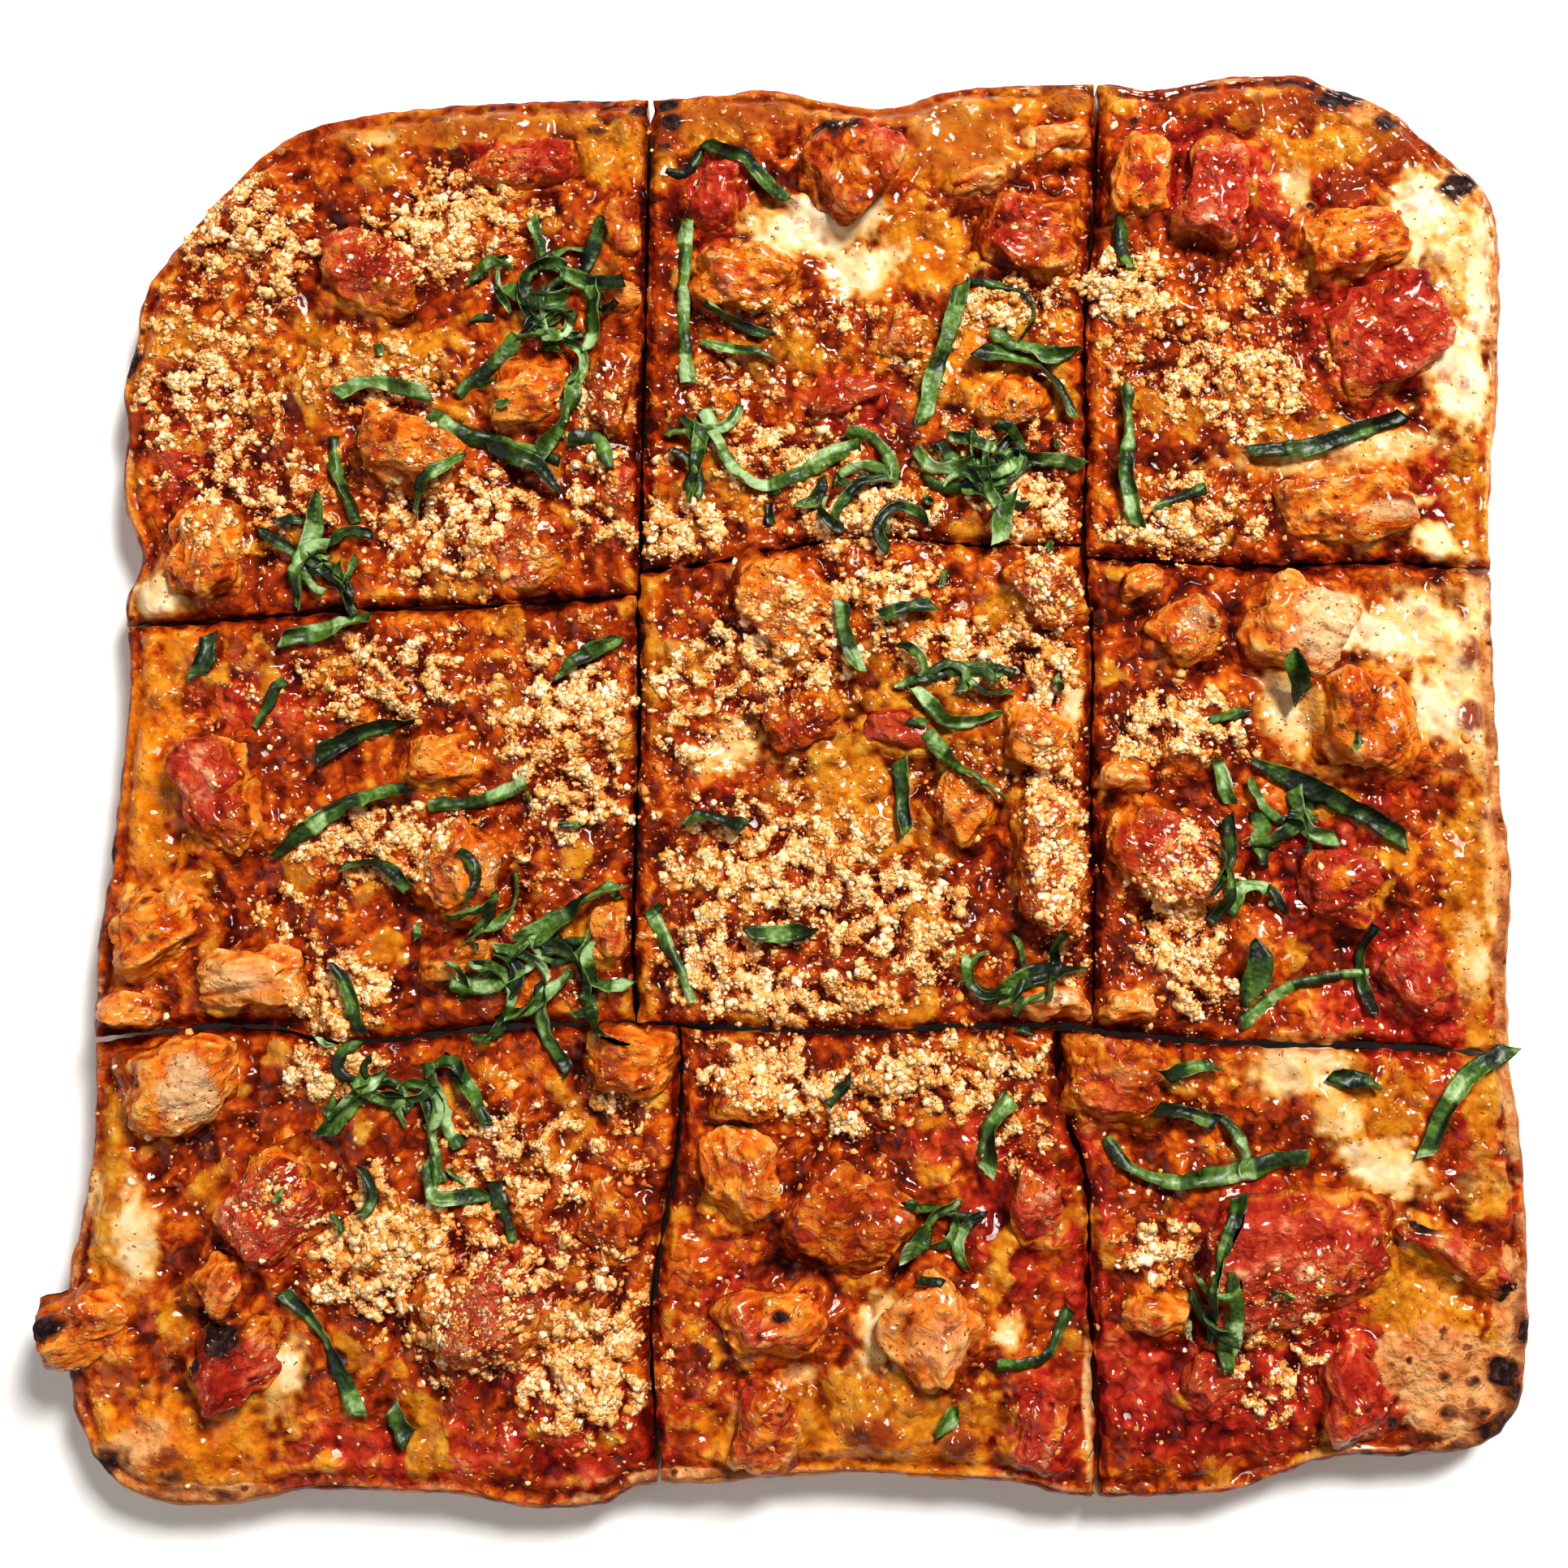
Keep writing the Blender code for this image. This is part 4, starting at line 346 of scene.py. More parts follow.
# Ribbons of basil: picture points along each and its width in millimetres
BASIL = [
    ([(820, 206), (846, 208), (872, 170)], 4), ([(872, 172), (918, 198), (964, 248)], 5),
    ([(655, 268), (662, 300), (668, 326)], 4), ([(742, 270), (730, 300), (712, 334)], 5),
    ([(615, 352), (660, 372), (700, 360)], 6), ([(730, 345), (738, 380), (730, 430)], 6),
    ([(632, 408), (600, 445), (565, 486)], 6), ([(714, 452), (700, 500), (664, 556)], 6),
    ([(415, 488), (470, 476), (530, 484)], 5), ([(532, 504), (580, 536), (688, 568)], 6),
    ([(578, 566), (530, 600), (515, 636)], 5), ([(600, 545), (650, 565), (690, 608)], 6),
    ([(406, 536), (420, 590), (440, 640)], 5), ([(392, 606), (376, 680), (366, 748)], 7),
    ([(316, 656), (372, 682), (428, 722)], 4), ([(700, 545), (735, 545), (756, 580)], 6),
    ([(345, 782), (400, 776), (452, 766)], 6), ([(256, 780), (240, 832)], 6),
    ([(352, 838), (310, 894)], 4), ([(388, 934), (440, 900), (515, 882)], 6),
    ([(332, 1056), (410, 1002), (508, 974)], 6), ([(528, 996), (590, 984), (648, 962)], 5),
    ([(422, 1074), (460, 1068), (510, 1092)], 5), ([(684, 838), (720, 806), (760, 782)], 5),
    ([(845, 268), (836, 360), (848, 470)], 6), ([(872, 376), (945, 412)], 4),
    ([(862, 420), (958, 444)], 4), ([(868, 500), (930, 590), (1060, 546)], 6),
    ([(860, 520), (862, 570), (850, 622)], 6), ([(1136, 520), (1160, 420), (1184, 350)], 6),
    ([(1190, 345), (1260, 360), (1276, 384), (1256, 420)], 3),
    ([(1204, 430), (1290, 466), (1316, 512)], 6), ([(1222, 420), (1290, 438), (1330, 424)], 6),
    ([(1160, 540), (1205, 590), (1250, 560)], 6), ([(1240, 560), (1290, 562), (1335, 572)], 5),
    ([(1245, 610), (1226, 670)], 7), ([(1376, 266), (1396, 332)], 6),
    ([(1386, 466), (1384, 550), (1404, 650)], 6), ([(1545, 564), (1630, 545), (1728, 504)], 6),
    ([(1422, 626), (1486, 602)], 4), ([(1036, 745), (1046, 800), (1056, 828)], 5),
    ([(1084, 762), (1152, 748)], 5), ([(1102, 846), (1180, 820), (1250, 832)], 5),
    ([(1120, 852), (1170, 886), (1236, 878)], 5), ([(1112, 934), (1116, 1026)], 5),
    ([(1136, 906), (1190, 950), (1240, 986)], 6), ([(846, 1008), (916, 1022)], 6),
    ([(926, 1160), (1006, 1142)], 6), ([(802, 1120), (826, 1180), (850, 1236)], 5),
    ([(1212, 1234), (1262, 1206), (1340, 1196)], 6), ([(640, 1160), (700, 1130), (766, 1092)], 7),
    ([(556, 1216), (620, 1206), (690, 1150)], 6), ([(410, 1186), (436, 1230), (450, 1274)], 5),
    ([(398, 1400), (430, 1360), (462, 1322)], 6), ([(520, 1310), (540, 1370), (568, 1414)], 6),
    ([(548, 1296), (575, 1340), (596, 1388)], 5), ([(524, 1430), (530, 1478), (600, 1470)], 5),
    ([(612, 1456), (624, 1530)], 5), ([(348, 1592), (400, 1640), (440, 1746)], 5),
    ([(488, 1730), (502, 1776)], 7), ([(1022, 1364), (1048, 1322)], 4),
    ([(1216, 1446), (1226, 1400), (1246, 1352)], 7), ([(1112, 1556), (1130, 1510), (1180, 1476)], 9),
    ([(1228, 1686), (1290, 1676), (1322, 1616)], 5), ([(1152, 1762), (1182, 1738)], 6),
    ([(1586, 806), (1600, 862)], 8), ([(1488, 884), (1544, 876)], 4), ([(1496, 936), (1520, 990)], 5),
    ([(1542, 936), (1640, 976), (1736, 1034)], 7), ([(1546, 1000), (1566, 1066)], 8),
    ([(1512, 1120), (1530, 1096), (1560, 1102)], 6), ([(1540, 1160), (1550, 1228)], 9),
    ([(1530, 1258), (1600, 1216), (1690, 1202)], 5), ([(1690, 1140), (1682, 1200), (1692, 1250)], 4),
    ([(1424, 1320), (1500, 1316)], 5), ([(1366, 1402), (1440, 1450), (1612, 1432)], 7),
    ([(1420, 1366), (1504, 1380)], 5), ([(1522, 1470), (1496, 1560), (1490, 1656)], 5),
    ([(1504, 1560), (1516, 1690)], 7), ([(1642, 1320), (1700, 1346)], 6),
    ([(1756, 1426), (1800, 1340), (1862, 1290)], 6)]
# Heaps of tangled ribbons: picture point, radius in millimetres and how many
TANGLES = [
    (680, 380, 15, 14), (1230, 580, 13, 11), (1070, 620, 12, 6), (640, 1200, 16, 14), (470, 1380, 16, 10),
    (1570, 1040, 14, 6), (1500, 1600, 10, 2), (1190, 850, 12, 4), (870, 540, 10, 3), (1500, 1390, 10, 1),
    (1260, 1190, 9, 4), (440, 700, 12, 4), (1160, 1520, 8, 3), (590, 1110, 9, 3)]

# Fineness
GRID_CELLS = 192
CHUNK_TURNS = 76
CHUNK_RINGS = 44
SMALL_TURNS = 54
SMALL_RINGS = 30
CRUST_ROWS = 16
CRUST_CELLS = 128
CRUMB_FAMILIES = 60000
CRUMBS_IN_FAMILY = 4
RIBBON_POINTS = 60
RIBBON_STEP = 0.0008
RIBBON_ACROSS = 7

# Crumbs and ribbons: grades by size with the most grains of each, and a ribbon's own measures
CRUMB_GRADES = [
    ("parmesan_fine", 0.0, 0.00105, 24000), ("parmesan_medium", 0.00105, 0.0015, 9800),
    ("parmesan_coarse", 0.0015, 1.0, 9800)]
CRUMB_SPREAD = 0.0009
CRUMB_SIZE = 1.08
CRUMB_FORM = np.array([1.12, 1.12, 0.68])
HEAP_RISE = 0.35
RIBBON_WIDTH_SHARE = 0.79
RIBBON_LIFT = 0.0004
RIBBON_THICKNESS = 0.00024
RIBBON_LEVEL = EYE_LEVEL + 0.004


# Places and lines

def on_plane(points, height):
    """Plan place of picture points: where the eye's ray through each meets the level plane `height`."""
    points = np.asarray(points, float)
    across = (points[..., 0] - PICTURE_MIDDLE) / FOCAL_PIXELS
    down = (points[..., 1] - PICTURE_MIDDLE) / FOCAL_PIXELS
    reach = (EYE_DISTANCE - (height - EYE_LEVEL) / math.cos(EYE_TILT)) / (1 + down * math.tan(EYE_TILT))
    x = reach * across + EYE_SHIFT[0]
    y = reach * (math.sin(EYE_TILT) - down * math.cos(EYE_TILT)) - EYE_DISTANCE * math.sin(EYE_TILT)
    return np.stack([x, y + EYE_SHIFT[1]], axis=-1)


def spread(line, fractions):
    """Points at the given fractions of a polyline's length."""
    steps = np.linalg.norm(np.diff(line, axis=0), axis=1)
    run = np.concatenate([[0.0], np.cumsum(steps)])
    at = np.asarray(fractions) * run[-1]
    return np.stack([np.interp(at, run, line[:, k]) for k in range(line.shape[1])], axis=-1)


def smooth(points, count=400):
    """Catmull-Rom curve through the points: each span is the cubic that keeps the chord of its
    neighbours as its slope at both ends. It comes back as `count` points evenly spaced along it."""
    p = np.asarray(points, float)
    p = np.vstack([2 * p[0] - p[1], p, 2 * p[-1] - p[-2]])
    t = np.linspace(0, 1, 24, endpoint=False)[None, :, None]
    a, b, c, d = p[:-3, None], p[1:-2, None], p[2:-1, None], p[3:, None]
    bend = b + 0.5 * t * (c - a + t * (2 * a - 5 * b + 4 * c - d + t * (3 * (b - c) + d - a)))
    line = np.vstack([bend.reshape(-1, p.shape[1]), p[-2]])
    return spread(line, np.linspace(0, 1, count))


def beside(line, distance):
    """The polyline moved sideways, to its left for a positive distance."""
    along = np.gradient(line, axis=0)
    along /= np.linalg.norm(along, axis=1, keepdims=True)
    return line + distance * np.stack([-along[:, 1], along[:, 0]], axis=-1)


def between(line, start_line, end_line):
    """The stretch of a line from its nearest point to one line to its nearest point to another."""
    ends = []
    for other in (start_line, end_line):
        gap = np.linalg.norm(line[:, None] - other[None], axis=-1)
        ends.append(np.unravel_index(np.argmin(gap), gap.shape)[0])
    return line[ends[0]:ends[1] + 1]


def slice_ring(row, column, rim_inset=0.0, cut_inset=0.0, cells=GRID_CELLS):
    """Points round a slice, clockwise from its back left corner: four edge lines moved inwards, cut
    where they meet, each then divided into `cells` equal steps."""
    half = SLICE_GAP / 2 + cut_inset
    sides = []
    for outside, edge, cut, way in (
            (row == 0, BACK_EDGE, (ACROSS_CUTS, row - 1, column), -1),
            (row == 2, FRONT_EDGE, (ACROSS_CUTS, row, column), 1),
            (column == 0, LEFT_EDGE, (DOWN_CUTS, column - 1, row), 1),
            (column == 2, RIGHT_EDGE, (DOWN_CUTS, column, row), -1)):
        if outside:
            sides.append(beside(smooth(on_plane(edge, OUTLINE_HEIGHT), 1000), way * rim_inset))
        else:
            cuts, line, run = cut
            sides.append(beside(smooth(on_plane(cuts[line][run], CUT_HEIGHT), 700), way * half))
    back, front, left, right = sides
    back, front, left, right = (between(back, left, right), between(front, left, right),
                                between(left, back, front), between(right, back, front))
    for one, end, other, side in ((back, 0, left, 0), (back, -1, right, 0),
                                  (front, 0, left, -1), (front, -1, right, -1)):
        corner = (one[end] + other[side]) / 2
        one[end] = corner
        other[side] = corner
    t = np.linspace(0, 1, cells + 1)
    return np.vstack([spread(back, t)[:-1], spread(right, t)[:-1],
                      spread(front, t)[::-1][:-1], spread(left, t)[::-1][:-1]])


def sides_of(row, column):
    """Which sides of a slice lie on the outline: back, right, front, left."""
    return np.array([row == 0, column == 2, row == 2, column == 0])


def on_outline(row, column, cells):
    """For each point of a slice's ring, whether it lies on the pizza's outline."""
    outer = sides_of(row, column)
    k = np.arange(4 * cells)
    return outer[k // cells] & (outer[(k - 1) % (4 * cells) // cells])


# Noise and masks over plan places and in space, in metres

TABLE = np.random.default_rng(5).uniform(0, 2 * math.pi, (256, 256))
MIX = np.random.default_rng(6).permutation(256)


def fade(t):
    """Quintic step 6t^5 - 15t^4 + 10t^3."""
    return t * t * t * (t * (t * 6 - 15) + 10)


def step(low, high, value):
    """Smooth step from 0 at `low` to 1 at `high`."""
    t = np.clip((value - low) / (high - low), 0, 1)
    return t * t * (3 - 2 * t)


def noise(x, y, cell, seed):
    """Gradient noise, about -1 to 1: the dot product of a random unit slope with the offset, at the
    four corners of each lattice cell, blended by the quintic step."""
    u, v = x / cell + 37.17 * seed, y / cell + 11.83 * seed
    i, j = np.floor(u).astype(int), np.floor(v).astype(int)
    f, g = u - i, v - j
    corner = []
    for a in (0, 1):
        for b in (0, 1):
            turn = TABLE[(i + a) & 255, (j + b) & 255]
            corner.append(np.cos(turn) * (f - a) + np.sin(turn) * (g - b))
    p, q = fade(f), fade(g)
    low = corner[0] + (corner[1] - corner[0]) * q
    high = corner[2] + (corner[3] - corner[2]) * q
    return 1.6 * (low + (high - low) * p)


def layered(x, y, cell, seed, layers=3):
    """Sum of noises, each of half the cell and half the strength of the last, divided by the sum of
    the strengths."""
    total = sum(noise(x, y, cell / 2 ** k, seed + k) / 2 ** k for k in range(layers))
    return total / (2 - 2 / 2 ** layers)


def bumps(x, y, cell, seed):
    """Distance to the nearest of one random point in each lattice cell, in cells, and that point's
    own random number."""
    u, v = x / cell + 3.7 * seed, y / cell + 9.1 * seed
    i, j = np.floor(u).astype(int), np.floor(v).astype(int)
    best = np.full(u.shape, 9.0)
    own = np.zeros(u.shape)
    for a in (-1, 0, 1):
        for b in (-1, 0, 1):
            draw = TABLE[(i + a + seed) & 255, (j + b) & 255] / (2 * math.pi)
            other = TABLE[(j + b) & 255, (i + a + seed) & 255] / (2 * math.pi)
            away = np.hypot(u - i - a - draw, v - j - b - other)
            nearer = away < best
            best = np.where(nearer, away, best)
            own = np.where(nearer, (draw * 7.3 + other * 3.1) % 1.0, own)
    return best, own


def noise3(p, cell, seed):
    """Gradient noise in space: the dot product of a random unit slope with the offset, at the eight
    corners of each lattice cell, blended by the quintic step."""
    q = p / cell + 13.7 * seed
    base = np.floor(q).astype(int)
    f = q - base
    w = fade(f)
    total = np.zeros(q.shape[:-1])
    for a in (0, 1):
        for b in (0, 1):
            for c in (0, 1):
                h = MIX[(MIX[(MIX[(base[..., 0] + a) & 255] + base[..., 1] + b) & 255]
                         + base[..., 2] + c) & 255]
                turn, lift = TABLE[h, 3], np.cos(TABLE[h, 91])
                flat = np.sqrt(1 - lift ** 2)
                dot = (flat * np.cos(turn) * (f[..., 0] - a) + flat * np.sin(turn) * (f[..., 1] - b)
                       + lift * (f[..., 2] - c))
                total += dot * ((w[..., 0] if a else 1 - w[..., 0]) * (w[..., 1] if b else 1 - w[..., 1])
                                * (w[..., 2] if c else 1 - w[..., 2]))
    return 1.5 * total


def patches(x, y, listed, seed, ragged=0.35, soft=0.45):
    """Strongest of a list of ovals. Each is its strength inside and falls by a smooth step to 0 across
    its edge: the distance from its middle, in half lengths and half widths, plus noise."""
    edge = ragged * (layered(x, y, 0.011, seed) + 0.5 * noise(x, y, 0.0026, seed + 5))
    mask = np.zeros(x.shape)
    for px, py, length, width, turn, strength in listed:
        middle = on_plane((px, py), EYE_LEVEL)
        reach = max(length, width) * MM
        near = (np.abs(x - middle[0]) < reach) & (np.abs(y - middle[1]) < reach)
        if not near.any():
            continue
        dx, dy = x[near] - middle[0], y[near] - middle[1]
        angle = math.radians(turn)
        along = (dx * math.cos(angle) + dy * math.sin(angle)) / (length * MM / 2)
        across = (-dx * math.sin(angle) + dy * math.cos(angle)) / (width * MM / 2)
        away = np.hypot(along, across) + edge[near]
        mask[near] = np.maximum(mask[near], strength * step(1 + soft, 1 - soft, away))
    return mask


def sauce_level(x, y, row, column):
    """Height of the sauce and cheese: an even depth, plus three long sine waves, plus for each listed
    swell its rise times exp(-(distance / radius)^2). The middle slice lies a little higher."""
    level = np.full(x.shape, DOUGH_HEIGHT + FIT_GAP + SAUCE_DEPTH)
    level += SAUCE_WAVE * (np.sin(190 * x + 60 * y + 1.0) + np.sin(-80 * x + 230 * y + 2.0)
                           + 0.6 * np.sin(420 * x + 310 * y))
    for px, py, radius, rise in SWELLS:
        middle = on_plane((px, py), EYE_LEVEL)
        away = (x - middle[0]) ** 2 + (y - middle[1]) ** 2
        level += rise * MM * np.exp(-away / (radius * MM) ** 2)
    if row == 1 and column == 1:
        level += MIDDLE_LIFT
    return level


def from_chunks(x, y):
    """Distance to the nearest chunk's outline, a turned box with rounded corners, below 0 inside it."""
    gap = np.full(x.shape, 0.05)
    for px, py, length, width, height, turn, _ in CHUNKS:
        middle = on_plane((px, py), EYE_LEVEL + HALF_MM * height)
        near = (np.abs(x - middle[0]) < CHUNK_REACH) & (np.abs(y - middle[1]) < CHUNK_REACH)
        if not near.any():
            continue
        dx, dy = x[near] - middle[0], y[near] - middle[1]
        angle = math.radians(turn)
        along = np.abs(dx * math.cos(angle) + dy * math.sin(angle)) - length * HALF_MM * CHUNK_BOX
        across = np.abs(-dx * math.sin(angle) + dy * math.cos(angle)) - width * HALF_MM * CHUNK_BOX
        outside = np.hypot(np.maximum(along, 0), np.maximum(across, 0))
        inside = np.minimum(np.maximum(along, across), 0)
        gap[near] = np.minimum(gap[near], outside + inside - CHUNK_ROUND * HALF_MM * min(length, width))
    return gap


def from_line(x, y, line):
    """Distance of each plan place to the nearest point of a line."""
    gap = np.full(x.size, 9.0, np.float32)
    flat = np.column_stack([x.ravel(), y.ravel()]).astype(np.float32)
    line = line.astype(np.float32)
    for start in range(0, len(line), 64):
        part = line[start:start + 64]
        away = (flat[:, :1] - part[None, :, 0]) ** 2 + (flat[:, 1:] - part[None, :, 1]) ** 2
        gap = np.minimum(gap, away.min(axis=1))
    return np.sqrt(gap).reshape(x.shape)


# Meshes

def dressed(mesh, name, material, masks):
    """Smooth-shaded object of a mesh, with each mask as a number on its vertices."""
    mesh.name = name
    for key, values in masks.items():
        layer = mesh.attributes.new(key, "FLOAT", "POINT")
        layer.data.foreach_set("value", np.asarray(values, np.float32).ravel())
    mesh.shade_smooth()
    mesh.materials.append(material)
    item = bpy.data.objects.new(name, mesh)
    bpy.context.scene.collection.objects.link(item)
    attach(item, "root")
    return item


def grid_quads(rows, columns, start=0, wrap=False):
    """Corner numbers of a grid's quads, rows running back to front and columns left to right, facing
    up; with `wrap` the last column joins the first."""
    j, i = np.meshgrid(np.arange(rows - 1), np.arange(columns if wrap else columns - 1), indexing="ij")
    m = (i + 1) % columns
    quads = np.stack([j * columns + i, (j + 1) * columns + i, (j + 1) * columns + m, j * columns + m], -1)
    return start + quads.reshape(-1, 4)


def filled_grid(ring, cells):
    """Grid of plan points inside a ring. A Coons patch blends the four edges; coarse versions of it
    are evened out by averaging neighbours first, and their shift is carried to the finer ones."""
    shift = None
    n = cells // 16
    while True:
        pick = ring[::cells // n]
        back, right = pick[:n + 1], pick[n:2 * n + 1]
        front = pick[2 * n:3 * n + 1][::-1]
        left = np.vstack([pick[3 * n:], pick[:1]])[::-1]
        u = np.linspace(0, 1, n + 1)[None, :, None]
        v = np.linspace(0, 1, n + 1)[:, None, None]
        coons = ((1 - v) * back[None] + v * front[None] + (1 - u) * left[:, None] + u * right[:, None]
                 - (1 - u) * (1 - v) * back[0] - u * (1 - v) * back[-1]
                 - (1 - u) * v * front[0] - u * v * front[-1])
        grid = coons if shift is None else coons + shift
        for _ in range(60 if shift is None else 12):
            grid[1:-1, 1:-1] = (grid[:-2, 1:-1] + grid[2:, 1:-1] + grid[1:-1, :-2] + grid[1:-1, 2:]) / 4
        if n == cells:
            return grid
        shift = grid - coons
        finer = np.zeros((2 * n + 1, 2 * n + 1, 2))
        finer[::2, ::2] = shift
        finer[1::2, ::2] = (shift[:-1] + shift[1:]) / 2
        finer[:, 1::2] = (finer[:, :-1:2] + finer[:, 2::2]) / 2
        shift = finer
        n *= 2


def blurred(field, passes):
    """A grid of numbers averaged with its four neighbours, several times."""
    for _ in range(passes):
        padded = np.pad(field, 1, mode="edge")
        field = (padded[:-2, 1:-1] + padded[2:, 1:-1] + padded[1:-1, :-2] + padded[1:-1, 2:] + field) / 5
    return field


def finishes_at(x, y):
    """Masks of the finishes that lie at plan places."""
    cream = patches(x, y, CREAM, 11, 0.45, 0.60)
    golden = patches(x, y, GOLDEN, 21, 0.40, 0.45)
    golden = np.maximum(golden, 0.85 * step(0.05, 0.50, layered(x, y, 0.017, 22, 3)))
    bare = patches(x, y, BARE, 31, 0.30, 0.30)
    char = patches(x, y, CHAR, 41, 0.55, 0.60)
    grated = np.maximum(patches(x, y, GRATED, 51, 0.50, 0.55), BARE_OF_GRATED)
    grated *= 1 - 0.85 * bare
    grated *= 1 - 0.6 * cream * (grated < 0.7)
    golden = np.maximum(golden, 0.85 * heaped(x, y, grated) * np.clip(1.5 * grated, 0, 1))
    oil = patches(x, y, OIL, 81, 0.45, 0.60)
    red = patches(x, y, RED, 91, 0.50, 0.60)
    orange = patches(x, y, ORANGE, 93, 0.55, 0.70)
    return {"cream": cream, "golden": golden, "bare": bare, "char": char, "grated": grated, "oil": oil,
            "red": red, "orange": orange}


def heaped(x, y, grated):
    """How thickly grated cheese lies, 0 to 1: heaps and gaps of noise, more of them heaps where the
    given cover is high."""
    return step(-0.08, 0.34, layered(x, y, 0.0050, 68, 3) + 0.80 * grated - 0.52)


def crust_profile(inset):
    """Height of the dough's top at a distance inwards from the outline: a rounded rim, then the bed."""
    points = [(0.0, BULGE_HEIGHT), (0.0008, 0.0115), (CREST_INSET, DOUGH_HEIGHT + RIM_RISE),
              (SAUCE_INSET, DOUGH_HEIGHT), (0.2, DOUGH_HEIGHT)]
    return np.interp(inset, *np.array(points).T)


def make_topping(row, column):
    """Sauce and cheese of one slice. Over the plan grid (u, v) its height is the level of the solid
    plus noise at three scales, domes and blisters on the cheese, grains under the grated cheese and
    a fillet round each chunk, a bell of the distance to it. It rolls off by a smooth step at the cuts
    and thins out to an uneven lip over the rim; a skirt and a fan of faces close it below."""
    cells = GRID_CELLS
    ring = slice_ring(row, column, 0.0016, -0.0003)
    outline = on_outline(row, column, cells)
    inward = np.roll(ring, -1, axis=0) - np.roll(ring, 1, axis=0)
    inward = np.stack([inward[:, 1], -inward[:, 0]], -1)
    inward /= np.linalg.norm(inward, axis=1, keepdims=True)
    creep = 0.0009 * layered(ring[:, 0], ring[:, 1], 0.010, 3) + 0.0004
    sag = 0.00065 * noise(ring[:, 0], ring[:, 1], 0.0042, 4)
    weight = blurred(outline.astype(float)[None], 12)[0]
    ring = ring + inward * (creep * weight + sag * (1 - weight))[:, None]
    grid = filled_grid(ring, cells)
    x, y = grid[..., 0], grid[..., 1]

    outer = sides_of(row, column)
    edge = slice_ring(row, column, 0.0, 0.0)
    k = np.arange(4 * cells) // cells
    rim_gap = from_line(x, y, edge[outer[k]]) if outer.any() else np.full(x.shape, 0.05)
    cut_gap = from_line(x, y, edge[~outer[k]])

    masks = finishes_at(x, y)
    cheese = np.maximum(masks["cream"], 0.8 * masks["golden"])
    smoothness = np.clip(1 - 0.75 * cheese - 0.2 * masks["bare"], 0, 1)
    wave = 0.95 * layered(x, y, 0.0095, 61, 2)
    wave += 0.54 * layered(x, y, 0.0046, 62, 2) * (0.30 + 0.70 * smoothness)
    wave += 0.17 * layered(x, y, 0.0020, 63, 2) * (0.2 + 0.8 * smoothness)
    wave += 0.45 * cheese + 0.30 * cheese * layered(x, y, 0.0060, 64, 2)
    dome, which = bumps(x, y, 0.0072, 65)
    blister = step(0.52, 0.0, dome) * (which > 0.62)
    wave += 0.95 * blister * np.clip(1 - 1.2 * masks["bare"], 0, 1)
    small, other = bumps(x, y, 0.0036, 66)
    wave += 0.55 * step(0.55, 0.0, small) * (other > 0.50) * (1 - 0.6 * masks["cream"])
    masks["blister"] = np.maximum(step(0.42, 0.05, dome) * (which > 0.62),
                                  0.9 * step(0.40, 0.0, small) * (other > 0.7))
    grain, own = bumps(x, y, 0.0021, 67)
    cover = heaped(x, y, masks["grated"]) * np.clip(1.6 * masks["grated"], 0.15, 1)
    wave += cover * (0.80 + 0.60 * step(0.62, 0.0, grain) * (0.4 + own))
    masks["scab"] = patches(x, y, BLISTERS, 95, 0.55, 0.80)
    wave += 1.7 * masks["scab"]
    gap = from_chunks(x, y)
    bank = 0.0019 * (1 + 0.5 * noise(x, y, 0.006, 71))
    wave += 1.5 * np.exp(-(np.maximum(gap, 0) / bank) ** 2)
    wave -= 0.35 * np.exp(-((gap - 0.0042) / 0.0016) ** 2)
    wave += 0.8 * masks["char"] * np.clip(1 - masks["bare"], 0.3, 1)

    level = sauce_level(x, y, row, column)
    rough = 0.0015 * layered(x, y, 0.006, 69, 3)
    roll = step(-0.0004, 0.0022, cut_gap + rough)
    z = level + wave * MM * (0.45 + 0.55 * roll) - 0.0013 * (1 - roll)
    lip = np.maximum(crust_profile(rim_gap), DOUGH_HEIGHT + FIT_GAP) + 0.0002
    lip += 0.0013 * np.maximum(layered(x, y, 0.0065, 75, 3), 0) * step(0.0, 0.0030, rim_gap)
    thin = step(0.0008, 0.0085, rim_gap)
    z = lip + (z - lip) * thin
    # hollow_shade: how far a place lies below its blurred surroundings, plus a ring round each chunk; the
    # sauce material darkens colour by it as painted shade in hollows and painted contact shadow at the
    # chunks, and lets oil gather there
    masks["hollow_shade"] = 0.6 * np.clip((blurred(z, 14) - z) / 0.00042, -1, 1)
    masks["hollow_shade"] += 0.5 * np.clip((blurred(z, 60) - z) / 0.0011, -1, 1)
    masks["hollow_shade"] += 0.45 * np.exp(-((gap - 0.0006) / 0.0014) ** 2)
    # cut: nearness to the cuts between slices; the material darkens colour there as painted shade in the
    # grooves
    masks["cut"] = step(0.0034, 0.0002, cut_gap + 0.8 * rough)
    masks["rim"] = step(0.0080, 0.0020, rim_gap + 0.0022 * layered(x, y, 0.009, 70, 2))
    masks["cover"] = cover

